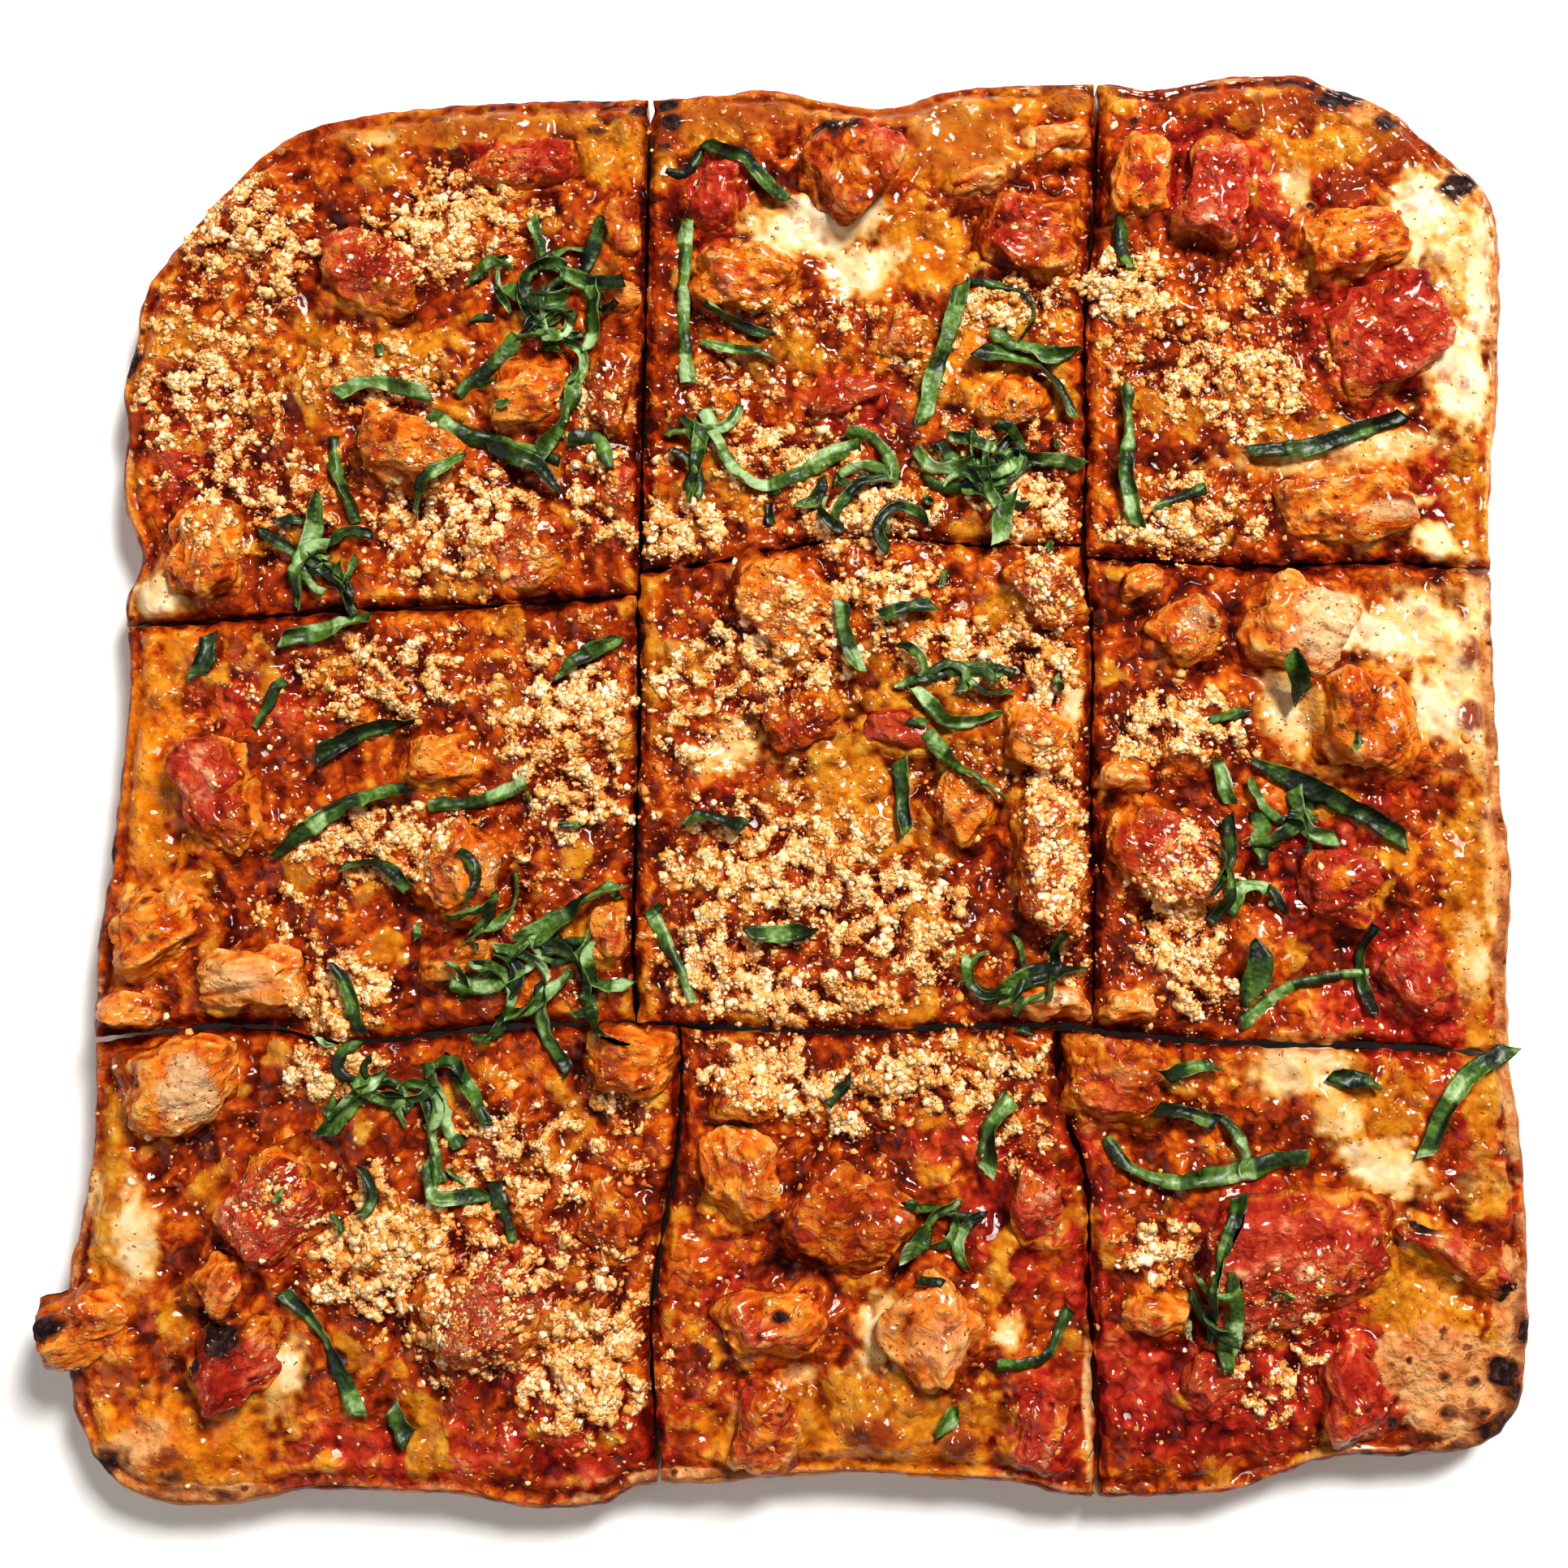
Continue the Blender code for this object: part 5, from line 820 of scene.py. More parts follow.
    count = cells + 1
    around = np.concatenate([np.arange(count - 1), np.arange(count - 1) * count + count - 1,
                             count * count - 1 - np.arange(count - 1),
                             (count - 1 - np.arange(count - 1)) * count])
    points = np.column_stack([x.ravel(), y.ravel(), z.ravel()])
    skirt = points[around].copy()
    skirt[:, 2] = DOUGH_HEIGHT + FIT_GAP
    ring_count = len(around)
    start = len(points)
    nexts = np.roll(np.arange(ring_count), -1)
    wall = np.stack([around, around[nexts], start + nexts, start + np.arange(ring_count)], -1)
    floor = skirt.mean(axis=0)
    points = np.vstack([points, skirt, floor])
    middle = np.full(ring_count, len(points) - 1)
    fan = np.stack([start + np.arange(ring_count), start + nexts, middle], -1)
    values = {}
    for key, field in masks.items():
        flat = field.ravel()
        values[key] = np.concatenate([flat, flat[around], [0.0]])
    faces = np.vstack([grid_quads(count, count), wall]).tolist() + fan.tolist()
    shape = bpy.data.meshes.new("topping")
    shape.from_pydata(points.tolist(), [], faces)
    name = f"sauce_and_cheese_r{row + 1}_c{column + 1}"
    item = dressed(shape, name, material_topping, values)
    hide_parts(f"topping_r{row + 1}_c{column + 1}")
    return item


def crust_rows(row, column):
    """Control rings of a slice's dough, from its foot to its bed, each a ring with its height."""
    cells = CRUST_CELLS
    lift = RIM_RISE * blurred(on_outline(row, column, cells).astype(float)[None], 4)[0]
    steps = ((FOOT_INSET + 0.0015, 0.0, 0.0), (FOOT_INSET, 0.0, 0.0), (0.0007, 0.0026, 0.0),
             (0.0, BULGE_HEIGHT, 0.0), (0.0006, 0.0112, 0.5), (CREST_INSET, DOUGH_HEIGHT, 1.0),
             (0.0044, DOUGH_HEIGHT, 0.55), (SAUCE_INSET, DOUGH_HEIGHT, 0.0))
    rings = []
    for rim_inset, height, share in steps:
        ring = slice_ring(row, column, rim_inset, 0.0, cells)
        rings.append(np.column_stack([ring, height + lift * share]))
    return np.array(rings)


def make_crust(row, column):
    """Dough of one slice: rings carried up a rounded profile from foot to bed (a Catmull-Rom curve
    through the control rings), blown out by noise into blisters on the baked side and pitted inwards
    on the cut faces, and closed by a flat face below and above."""
    rings = crust_rows(row, column)
    count = rings.shape[1]
    rows = np.array([smooth(rings[:, k], CRUST_ROWS) for k in range(count)]).transpose(1, 0, 2)
    x, y, z = rows[..., 0], rows[..., 1], rows[..., 2]
    baked = blurred(on_outline(row, column, CRUST_CELLS).astype(float)[None], 3)[0]
    baked = np.broadcast_to(baked, x.shape)
    ahead = np.roll(rows, -1, axis=1) - np.roll(rows, 1, axis=1)
    outward = np.stack([-ahead[..., 1], ahead[..., 0]], -1)
    outward /= np.linalg.norm(outward, axis=-1, keepdims=True)
    cube = np.stack([x, y, z], -1)
    swell = 0.60 * noise3(cube, 0.009, 1) + 0.50 * noise3(cube, 0.0042, 2) - 0.40
    pits = -0.55 * step(0.05, 0.75, noise3(cube, 0.0030, 3)) - 0.22 * np.abs(noise3(cube, 0.0012, 4))
    free = step(0.0, 0.0016, z) * step(0, 2, np.arange(CRUST_ROWS))[:, None]
    shove = (baked * swell + (1 - baked) * pits) * free * MM
    x = x + outward[..., 0] * shove
    y = y + outward[..., 1] * shove
    lift = step(0.0085, 0.0125, z) * baked
    z = z + lift * MM * (0.60 * noise3(cube, 0.0065, 5) + 0.50 * noise3(cube, 0.0028, 6) - 0.1)
    x = np.clip(x, LOW[0] + BOX_MARGIN, HIGH[0] - BOX_MARGIN)
    y = np.clip(y, LOW[1] + BOX_MARGIN, HIGH[1] - BOX_MARGIN)
    z = np.maximum(z, 0.0)
    points = np.column_stack([x.ravel(), y.ravel(), z.ravel()])
    quads = grid_quads(CRUST_ROWS, count, wrap=True)[:, ::-1]
    shape = bpy.data.meshes.new("crust")
    bottom = np.arange(count)
    top = (CRUST_ROWS - 1) * count + np.arange(count)
    shape.from_pydata(points.tolist(), [], quads.tolist() + [bottom.tolist(), top[::-1].tolist()])
    masks = finishes_at(x, y)
    for unseen in ("grated", "oil", "orange"):
        masks.pop(unseen)
    masks["char"] = masks["char"] * step(0.0085, 0.0125, z + 0.0022 * noise3(cube, 0.0045, 7))
    masks["baked"] = baked
    item = dressed(shape, f"dough_r{row + 1}_c{column + 1}", material_dough, masks)
    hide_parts(f"crust_r{row + 1}_c{column + 1}")


def chunk_radius(toward, seed):
    """Radius of a chopped chunk in a unit box: its cut faces n at distance k, rounded together as
    (sum of max(0, n.d / k)^p)^(-1/p)."""
    draw = np.random.default_rng(seed)
    sides = np.array([(1, 0, 0), (-1, 0, 0), (0, 1, 0), (0, -1, 0), (0, 0, 1), (0, 0, -1)], float)
    sides += draw.uniform(-0.22, 0.22, sides.shape)
    slants = draw.uniform(-1, 1, (5, 3))
    slants[:, 2] = np.abs(slants[:, 2]) * 0.8 + 0.15
    faces = np.vstack([sides, slants])
    faces /= np.linalg.norm(faces, axis=1, keepdims=True)
    distance = np.concatenate([draw.uniform(0.86, 1.0, 6), draw.uniform(0.86, 1.12, 5)])
    reach = np.maximum(toward @ faces.T / distance, 0.0)
    return (reach ** CHUNK_EDGE).sum(axis=-1) ** (-1.0 / CHUNK_EDGE)


def slice_of(place):
    """Row and column of the slice that holds a plan place, by the cuts beside it."""
    row = sum(place[1] < np.interp(place[0], *edge_line(ACROSS_CUTS[n], 0)) for n in (0, 1))
    column = sum(place[0] > np.interp(-place[1], *edge_line(DOWN_CUTS[n], 1)) for n in (0, 1))
    return row, column


def edge_line(cut, way):
    """A cut's runs joined, as increasing places along it and the places across it."""
    line = on_plane([point for run in cut for point in run], CUT_HEIGHT)
    along = line[:, 0] if way == 0 else -line[:, 1]
    across = line[:, 1] if way == 0 else line[:, 0]
    order = np.argsort(along)
    return along[order], across[order]


def make_chunk(index, number):
    """Chopped chicken: the rounded chunk radius over directions that turn about its length, bent by
    noise, then pushed outwards by fibres (noise drawn out along it), creases, lumps, pores and, on a
    sauced piece, drops. Its foot widens, and its top flattens softly below the solids' highest point."""
    px, py, length, width, height, turn, dressing = CHUNKS[index]
    turns, rings = (CHUNK_TURNS, CHUNK_RINGS) if number else (SMALL_TURNS, SMALL_RINGS)
    middle = on_plane((px, py), EYE_LEVEL + HALF_MM * height)
    half = np.array([length, width, height + CHUNK_SINK]) * HALF_MM
    row, column = slice_of(middle)
    level = float(sauce_level(middle[0], middle[1], row, column))
    around = np.linspace(0, 2 * math.pi, turns, endpoint=False)[None]
    along = np.linspace(-math.pi / 2, math.pi / 2, rings + 2)[:, None]
    toward = np.stack([np.sin(along) + 0 * around, np.cos(along) * np.cos(around),
                       np.cos(along) * np.sin(around)], axis=-1)
    radius = chunk_radius(toward, index + 1)
    local = toward * radius[..., None] * half
    small = min(1.0, min(width, height * 1.4) / 14.0)
    away = np.array([px * 0.01, py * 0.01, 0.0])
    bend = np.stack([noise3(local + away, 0.0085, axis) for axis in (11, 12, 13)], axis=-1)
    local = local + bend * np.array([2.6, 2.6, 1.6]) * small * MM
    foot = step(0.1, -0.9, local[..., 2] / half[2])
    local[..., :2] *= (1 + 0.10 * foot)[..., None]
    fibres = noise3(local * np.array([0.20, 1.0, 1.0]) + away, 0.0016, 2)
    tears = noise3(local * np.array([0.5, 1.0, 1.0]) + away, 0.0040, 3)
    lumps = noise3(local + away, 0.0052, 6)
    drops = np.maximum(noise3(local + away, 0.0030, 4), 0)
    pores = noise3(local + away, 0.0015, 5)
    coat = {"sauced": 0.72, "roasted": 0.36, "pale": 0.24, "tomato": 0.5}[dressing]
    crease = 0.30 - np.abs(tears)
    push = 1.4 * lumps + (1 - coat) * (0.75 * fibres + 1.7 * crease)
    push += coat * (1.4 * drops + 1.1 * crease + 0.3 * fibres) + 0.55 * pores - 0.40
    normal = toward / half
    normal /= np.linalg.norm(normal, axis=-1, keepdims=True)
    local = local + normal * (push * (0.4 + 0.6 * small) * MM)[..., None]
    cos, sin = math.cos(math.radians(turn)), math.sin(math.radians(turn))
    centre = np.array([*middle, level + height * MM - half[2]])
    place = centre + np.stack([local[..., 0] * cos - local[..., 1] * sin,
                               local[..., 0] * sin + local[..., 1] * cos, local[..., 2]], axis=-1)
    x, y, z = place[..., 0], place[..., 1], place[..., 2]
    lowest = DOUGH_HEIGHT + FIT_GAP + SINK_STOP
    ceiling = HIGH[2] - 0.0004
    z = ceiling - CEILING_EASE * np.logaddexp(0, (ceiling - np.maximum(z, lowest)) / CEILING_EASE)
    z = np.maximum(z, lowest)
    hang = np.clip((LEFT_BY_OVERHANG - x) / 0.002, 0, 1)
    z = np.maximum(z, lowest + 0.0022 * hang)
    x = np.clip(x, LOW[0] + BOX_MARGIN, HIGH[0] - BOX_MARGIN)
    body = np.stack([x, y, z], -1)
    ends = body[[0, -1]].mean(axis=1)
    points = np.vstack([body[1:-1].reshape(-1, 3), ends])
    quads = grid_quads(rings, turns, wrap=True)
    first, last = np.arange(turns), (rings - 1) * turns + np.arange(turns)
    nexts = (np.arange(turns) + 1) % turns
    caps = np.vstack([np.stack([first, np.full(turns, len(points) - 2), first[nexts]], -1),
                      np.stack([last[nexts], np.full(turns, len(points) - 1), last], -1)])
    faces = quads[:, ::-1].tolist() + caps[:, ::-1].tolist()
    rise = (z - level) / (height * MM)
    flat_x, flat_y = x[1:-1].ravel(), y[1:-1].ravel()
    inner = x[1:-1].shape
    grated = np.maximum(patches(flat_x, flat_y, GRATED, 51, 0.50, 0.55), BARE_OF_GRATED).reshape(inner)
    up = step(0.1, 0.75, normal[1:-1, :, 2])
    char = patches(flat_x, flat_y, CHAR_ON_CHICKEN, 71, 0.50, 0.70).reshape(inner)
    cream = patches(flat_x, flat_y, CREAM_ON_CHICKEN, 72, 0.4, 0.4).reshape(inner)
    red = patches(flat_x, flat_y, RED, 91, 0.50, 0.60).reshape(inner)
    # sunk: the low part that sits in the sauce; the material wets it and paints shade there. ridge: the
    # relief, painted lighter on ridges and darker in creases, and browned on ridges
    sunk = step(0.50, -0.05, rise[1:-1] + 0.25 * lumps[1:-1])
    wet = coat * (0.62 + 0.55 * up) + 0.45 * lumps[1:-1] + 0.5 * drops[1:-1] + 0.75 * sunk
    wet += 0.5 * bend[1:-1, :, 0]
    relief = 0.5 + 0.75 * (0.45 * fibres + 1.1 * crease + 0.5 * lumps + 0.35 * pores + 0.3 * drops)[1:-1]
    masks = {"coat": np.clip(wet, 0, 1), "grated": grated * up, "char": char, "cream": cream,
             "ridge": np.clip(relief, 0, 1), "sunk": sunk, "up": up, "red": red,
             "run": local[1:-1, :, 0], "side": local[1:-1, :, 1], "tall": local[1:-1, :, 2],
             "tomato": np.full(sunk.shape, float(dressing == "tomato")),
             "pale": np.full(sunk.shape, {"roasted": 0.2, "pale": 0.85}.get(dressing, 0.0))}
    masks = {key: np.concatenate([value.ravel(), [value.mean()] * 2]) for key, value in masks.items()}
    shape = bpy.data.meshes.new("chunk")
    shape.from_pydata(points.tolist(), [], faces)
    name = f"chopped_chicken_{number:02d}" if number else f"small_chicken_{index + 1:02d}"
    item = dressed(shape, name, material_chicken, masks)
    if number:
        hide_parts(f"chicken_{number:02d}")
    return item


class Ground:
    """Height and slope of what lies on top, found by rays straight down on the pieces given."""

    def __init__(self, items):
        bpy.context.view_layer.update()
        graph = bpy.context.evaluated_depsgraph_get()
        self.trees = []
        for item in items:
            corners = np.array([corner[:] for corner in item.bound_box])
            self.trees.append((BVHTree.FromObject(item, graph), corners.min(0), corners.max(0)))

    def under(self, places):
        """Heights and upward normals under plan places, 0 where there is nothing."""
        heights = np.zeros(len(places))
        normals = np.tile([0.0, 0.0, 1.0], (len(places), 1))
        down = Vector((0, 0, -1))
        for tree, low, high in self.trees:
            inside = np.flatnonzero((places > low[:2]).all(axis=1) & (places < high[:2]).all(axis=1))
            for k in inside:
                hit, normal, _, _ = tree.ray_cast(Vector((places[k, 0], places[k, 1], 0.1)), down)
                if hit is not None and hit.z > heights[k]:
                    heights[k] = hit.z
                    normals[k] = normal
        return heights, normals


def twenty_sided():
    """Corners and outward faces of an icosahedron in a unit sphere: a face is any three corners that
    are all one edge apart."""
    golden = (1 + 5 ** 0.5) / 2
    corner = np.array([(s, t * golden, 0) for s in (-1, 1) for t in (-1, 1)], float)
    ball = np.vstack([corner, corner[:, [2, 0, 1]], corner[:, [1, 2, 0]]]) / math.hypot(1, golden)
    edge = 2 / math.hypot(1, golden) * 1.02
    faces = []
    for a in range(12):
        for b in range(a + 1, 12):
            for c in range(b + 1, 12):
                p, q, r = ball[a], ball[b], ball[c]
                if max(np.linalg.norm(p - q), np.linalg.norm(q - r), np.linalg.norm(r - p)) < edge:
                    out = np.dot(np.cross(q - p, r - p), p + q + r) > 0
                    faces.append((a, b, c) if out else (a, c, b))
    return ball, np.array(faces)


def eight_sided():
    """Corners and outward faces of an octahedron."""
    star = np.array([(1, 0, 0), (-1, 0, 0), (0, 1, 0), (0, -1, 0), (0, 0, 1), (0, 0, -1)], float)
    faces = [(0, 2, 4), (2, 1, 4), (1, 3, 4), (3, 0, 4), (2, 0, 5), (1, 2, 5), (3, 1, 5), (0, 3, 5)]
    return star, np.array(faces)


def scatter_crumbs(ground):
    """Grated parmesan: seeded places in families of four, kept where a draw falls under the cover there.
    Each grain is a twenty-sided ball, or an eight-sided one in the finest grade, squashed and turned
    at random; it sinks a little into what it lies on, or is raised where the cover is thick."""
    draw = np.random.default_rng(2024)
    parents = draw.uniform(LOW[:2] + 0.004, HIGH[:2] - 0.004, (CRUMB_FAMILIES, 2))
    places = np.repeat(parents, CRUMBS_IN_FAMILY, axis=0)
    places = places + draw.normal(0, CRUMB_SPREAD, places.shape)
    x, y = places[:, 0], places[:, 1]
    masks = finishes_at(x, y)
    chance = heaped(x, y, masks["grated"]) * (0.15 + 0.85 * masks["grated"]) + 0.08 * masks["grated"]
    keep = draw.uniform(0, 1, len(chance)) < chance
    keep &= masks["char"] < 0.4
    places, chance = places[keep], chance[keep]
    heights, normals = ground.under(places)
    good = (heights > DOUGH_HEIGHT + 0.003) & (normals[:, 2] > 0.35)
    places, heights, chance = places[good], heights[good], chance[good]
    size = draw.lognormal(math.log(CRUMB_SIZE), 0.40, len(places))
    size = np.clip(size * (0.78 + 0.42 * chance), 0.5, 2.5) * MM
    heap = HEAP_RISE * MM * step(0.35, 0.95, chance) * draw.uniform(0, 1, len(places))
    shapes = (eight_sided(), twenty_sided(), twenty_sided())
    for (name, low, high, most), (form, faces) in zip(CRUMB_GRADES, shapes):
        corners = len(form)
        chosen = np.flatnonzero((size >= low) & (size < high))[:most]
        count = len(chosen)
        turned = random_turns(draw, count)
        squash = draw.uniform(0.50, 1.25, (count, corners, 1)) * draw.uniform(0.60, 1.40, (count, 1, 3))
        body = np.einsum("nij,nkj->nki", turned, form[None] * squash) * size[chosen, None, None] / 2
        body *= CRUMB_FORM
        seat = (0.06 + 0.14 * chance[chosen]) * size[chosen]
        centre = np.column_stack([places[chosen], heights[chosen] - seat + heap[chosen]])
        centre[:, 2] = np.minimum(centre[:, 2], HIGH[2] - BOX_MARGIN - 0.75 * size[chosen])
        points = body + centre[:, None]
        numbers = (faces[None] + corners * np.arange(count)[:, None, None]).reshape(-1, 3)
        # Tone: random per grain, and lighter towards the grain's top
        tone = draw.uniform(0, 1, (count, 1)) + 0.5 * body[..., 2] / size[chosen, None]
        shape = bpy.data.meshes.new("crumbs")
        shape.from_pydata(points.reshape(-1, 3).tolist(), [], numbers.tolist())
        dressed(shape, name, material_crumb, {"tone": tone})


def random_turns(draw, count):
    """Random rotation matrices, from quaternions of normally drawn parts, brought to length 1."""
    w, x, y, z = (draw.normal(0, 1, (4, count)) + 1e-9)
    size = np.sqrt(w * w + x * x + y * y + z * z)
    w, x, y, z = w / size, x / size, y / size, z / size
    return np.stack([
        np.stack([1 - 2 * (y * y + z * z), 2 * (x * y - z * w), 2 * (x * z + y * w)], -1),
        np.stack([2 * (x * y + z * w), 1 - 2 * (x * x + z * z), 2 * (y * z - x * w)], -1),
        np.stack([2 * (x * z - y * w), 2 * (y * z + x * w), 1 - 2 * (x * x + y * y)], -1)], -2)


def ribbon_paths():
    """All basil ribbons as plan paths with a width, a seed and a lift in millimetres: the listed ones,
    then those of the tangles, each an arc of random turn about its heap or a short straight bit."""
    paths = []
    for seed, (points, width) in enumerate(BASIL):
        path = smooth(on_plane(points, RIBBON_LEVEL), RIBBON_POINTS)
        paths.append((path, RIBBON_WIDTH_SHARE * width * MM, seed, 0.0))
    draw = np.random.default_rng(77)
    for px, py, radius, count in TANGLES:
        middle = on_plane((px, py), RIBBON_LEVEL)
        for _ in range(count):
            turn, bend = draw.uniform(0, 2 * math.pi), draw.uniform(-3.6, 3.6)
            length = draw.uniform(0.010, 0.024)
            start = middle + draw.normal(0, 0.52, 2) * radius * MM
            t = np.linspace(-0.5, 0.5, RIBBON_POINTS)
            angle = turn + bend * t
            run = np.stack([np.cumsum(np.cos(angle)), np.cumsum(np.sin(angle))], -1)
            run = run * length / RIBBON_POINTS
            run += start - run.mean(axis=0)
            paths.append((run, draw.uniform(0.0022, 0.0040), 200 + len(paths), draw.uniform(0.2, 1.6)))
        for _ in range(count // 2 + 1):
            turn = draw.uniform(0, 2 * math.pi)
            reach = np.linspace(-0.5, 0.5, RIBBON_POINTS)[:, None] * draw.uniform(0.003, 0.007)
            start = middle + draw.normal(0, 1.1, 2) * radius * MM
            bit = start + reach * np.array([math.cos(turn), math.sin(turn)])
            paths.append((bit, draw.uniform(0.0014, 0.0030), 200 + len(paths), 0.0))
    return paths


def from_end(t):
    """Share of the length from the nearer end."""
    return np.minimum(t, 1 - t)


def evened(values):
    """A row of numbers averaged with its neighbours by quarter, half, quarter."""
    return np.convolve(np.pad(values, 1, mode="edge"), [0.25, 0.5, 0.25], mode="valid")


def ribbon_rest(ground, line, side, width):
    """Height that a ribbon lies at along its path and how it tilts: the highest ground under its middle
    and both sides, spread over its neighbours and evened, so that it bridges small hollows."""
    steps = len(line)
    probes = np.vstack([line + side * width * share for share in (-0.4, 0.0, 0.4)])
    heights = ground.under(probes)[0].reshape(3, steps)
    usual = np.median(heights[heights > 0]) if (heights > 0).any() else DOUGH_HEIGHT
    heights = np.where(heights < DOUGH_HEIGHT, usual, heights)
    tilt = (heights[2] - heights[0]) / (0.8 * width)
    rest = heights.max(axis=0)
    rest = np.array([rest[max(0, k - 2):k + 3].max() for k in range(steps)])
    for _ in range(6):
        rest = evened(rest)
        tilt = evened(tilt)
    return rest, tilt


def ribbon_taper(t, seed):
    """Width along a ribbon as a share: blunt ends, or now and then a pointed one, and slow waves."""
    tips = []
    for gone, part in ((t, (seed * 0.31) % 1), (1 - t, (seed * 0.47) % 1)):
        blunt, reach = (0.90, 0.06) if part > 0.22 else (0.25, 0.30)
        tips.append(blunt + (1 - blunt) * np.clip(gone / reach, 0, 1) ** 0.75)
    return np.minimum(*tips) * (1 + 0.06 * np.sin(7 * t + seed) + 0.03 * np.sin(19 * t + 2 * seed))


def make_ribbon(ground, path, width, seed, lift):
    """One basil ribbon: rings of points along its path, with their tone and place across. Its profile
    is an arc s -> (sin(s b), 1 - cos(s b)) / b whose bend b changes along it, with ruffled rims, a
    crease lengthways and folds across as a triangle wave; it rocks from side to side and rests on
    the ground. The underside is the same surface a leaf's thickness lower."""
    length = np.linalg.norm(np.diff(path, axis=0), axis=1).sum()
    t = np.linspace(0, 1, max(10, int(length / RIBBON_STEP)))
    line = spread(path, t)
    along = np.gradient(line, axis=0)
    along /= np.linalg.norm(along, axis=1, keepdims=True)
    side = np.stack([-along[:, 1], along[:, 0]], -1)
    rest, tilt = ribbon_rest(ground, line, side, width)
    z = rest + RIBBON_LIFT + lift * MM * (0.6 + 0.4 * np.sin(5 * t + seed))
    curl = 0.15 + 0.75 * np.sin(2.4 * t + seed * 1.7) ** 2
    way = -1.0 if seed % 3 == 0 else 1.0
    turning = 2.2 + 60 * length * ((seed * 0.53) % 1)
    rock = 0.80 * np.sin(turning * t + 1.3 * seed) * (1.2 if lift else 0.9) + np.clip(tilt, -0.6, 0.6)
    z = z + 0.35 * np.abs(np.sin(rock)) * width / 2
    s = np.linspace(-1, 1, RIBBON_ACROSS)[None]
    reach = (width / 2 * ribbon_taper(t, seed))[:, None]
    bow = curl[:, None]
    flat = reach * np.sin(s * bow) / bow
    rise = way * reach * (1 - np.cos(s * bow)) / bow
    ruffle = noise(t[:, None] * length, s * 0.0012 + 0.01 * seed, 0.0026, 91)
    free = (1 - np.exp(-(from_end(t) / 0.05))[:, None])
    rise = rise + 0.60 * MM * ruffle * (0.4 + 0.6 * np.abs(s)) * free
    crease = 0.45 * math.sin(seed * 2.9)
    panel = t * length / (0.0042 + 0.0025 * ((seed * 0.61) % 1)) + seed * 0.37
    rise = rise + 0.55 * MM * np.abs((panel % 2) - 1)[:, None]
    rise = rise + way * reach * np.abs(s - crease) * (0.15 + 0.40 * np.cos(3.1 * t + seed) ** 2)[:, None]
    cos, sin = np.cos(rock)[:, None], np.sin(rock)[:, None]
    sideways = flat * cos - rise * sin
    upward = flat * sin + rise * cos
    skew = (0.8 * math.sin(seed * 2.1) * np.exp(-from_end(t) / 0.10))[:, None] * reach * s
    upper = np.dstack([line[:, :1] + side[:, :1] * sideways + along[:, :1] * skew,
                       line[:, 1:] + side[:, 1:] * sideways + along[:, 1:] * skew, z[:, None] + upward])
    thick = RIBBON_THICKNESS * (1 - 0.55 * s ** 2)[..., None]
    lean = np.dstack([-side[:, :1, None] * sin[..., None], -side[:, 1:, None] * sin[..., None],
                      cos[..., None]])
    lower = upper - lean * thick
    rings = np.concatenate([upper, lower[:, ::-1]], axis=1)
    # Tone: the ribbon's own random tone, plus painted light and shade: one side of the crease lighter
    # than the other, and each fold facet across it lighter or darker
    tone = (seed * 0.37) % 1.0 + 0.30 * np.where(s > crease, 1.0, -1.0) * np.cos(5.0 * t[:, None] + seed)
    tone = tone + 0.45 * np.sin(17.0 * np.floor(panel) + seed)[:, None]
    return rings, np.concatenate([tone, tone[:, ::-1]], axis=1), np.concatenate([s[0], s[0][::-1]])


def make_basil(ground):
    """All basil ribbons as one piece: each one's rings joined into a tube and closed by quads at both
    ends."""
    points, quads, spine, tone, back = [], [], [], [], []
    start = 0
    for path, width, seed, lift in ribbon_paths():
        rings, shade, s = make_ribbon(ground, path, width, seed, lift)
        rows, columns = rings.shape[:2]
        points.append(rings.reshape(-1, 3))
        quads.append(grid_quads(rows, columns, start, wrap=True)[:, ::-1])
        half = columns // 2
        for edge_row, flip in ((0, False), (rows - 1, True)):
            for k in range(half - 1):
                a, b = start + edge_row * columns + k, start + edge_row * columns + k + 1
                c = start + edge_row * columns + columns - 2 - k
                d = start + edge_row * columns + columns - 1 - k
                quads.append(np.array([[d, c, b, a] if flip else [a, b, c, d]]))
        spine.append(np.tile(s, rows))
        tone.append(shade.ravel())
        back.append(np.tile(np.concatenate([np.zeros(half), np.ones(columns - half)]), rows))
        start += rows * columns
    shape = bpy.data.meshes.new("basil")
    body = np.vstack(points)
    body[:, 2] = np.minimum(body[:, 2], HIGH[2] - BOX_MARGIN)
    body[:, 0] = np.clip(body[:, 0], LOW[0] + BOX_MARGIN, HIGH[0] - BOX_MARGIN)
    shape.from_pydata(body.tolist(), [], np.vstack(quads).tolist())
    masks = {"spine": np.concatenate(spine), "tone": np.concatenate(tone), "back": np.concatenate(back)}
    dressed(shape, "basil_ribbons", material_basil, masks)


# Node materials

def paint(red, green, blue):
    """Linear colour of a screen colour given in 0 to 255."""
    return tuple(((c / 255 + 0.055) / 1.055) ** 2.4 if c > 10 else c / 3294.6
                 for c in (red, green, blue)) + (1.0,)


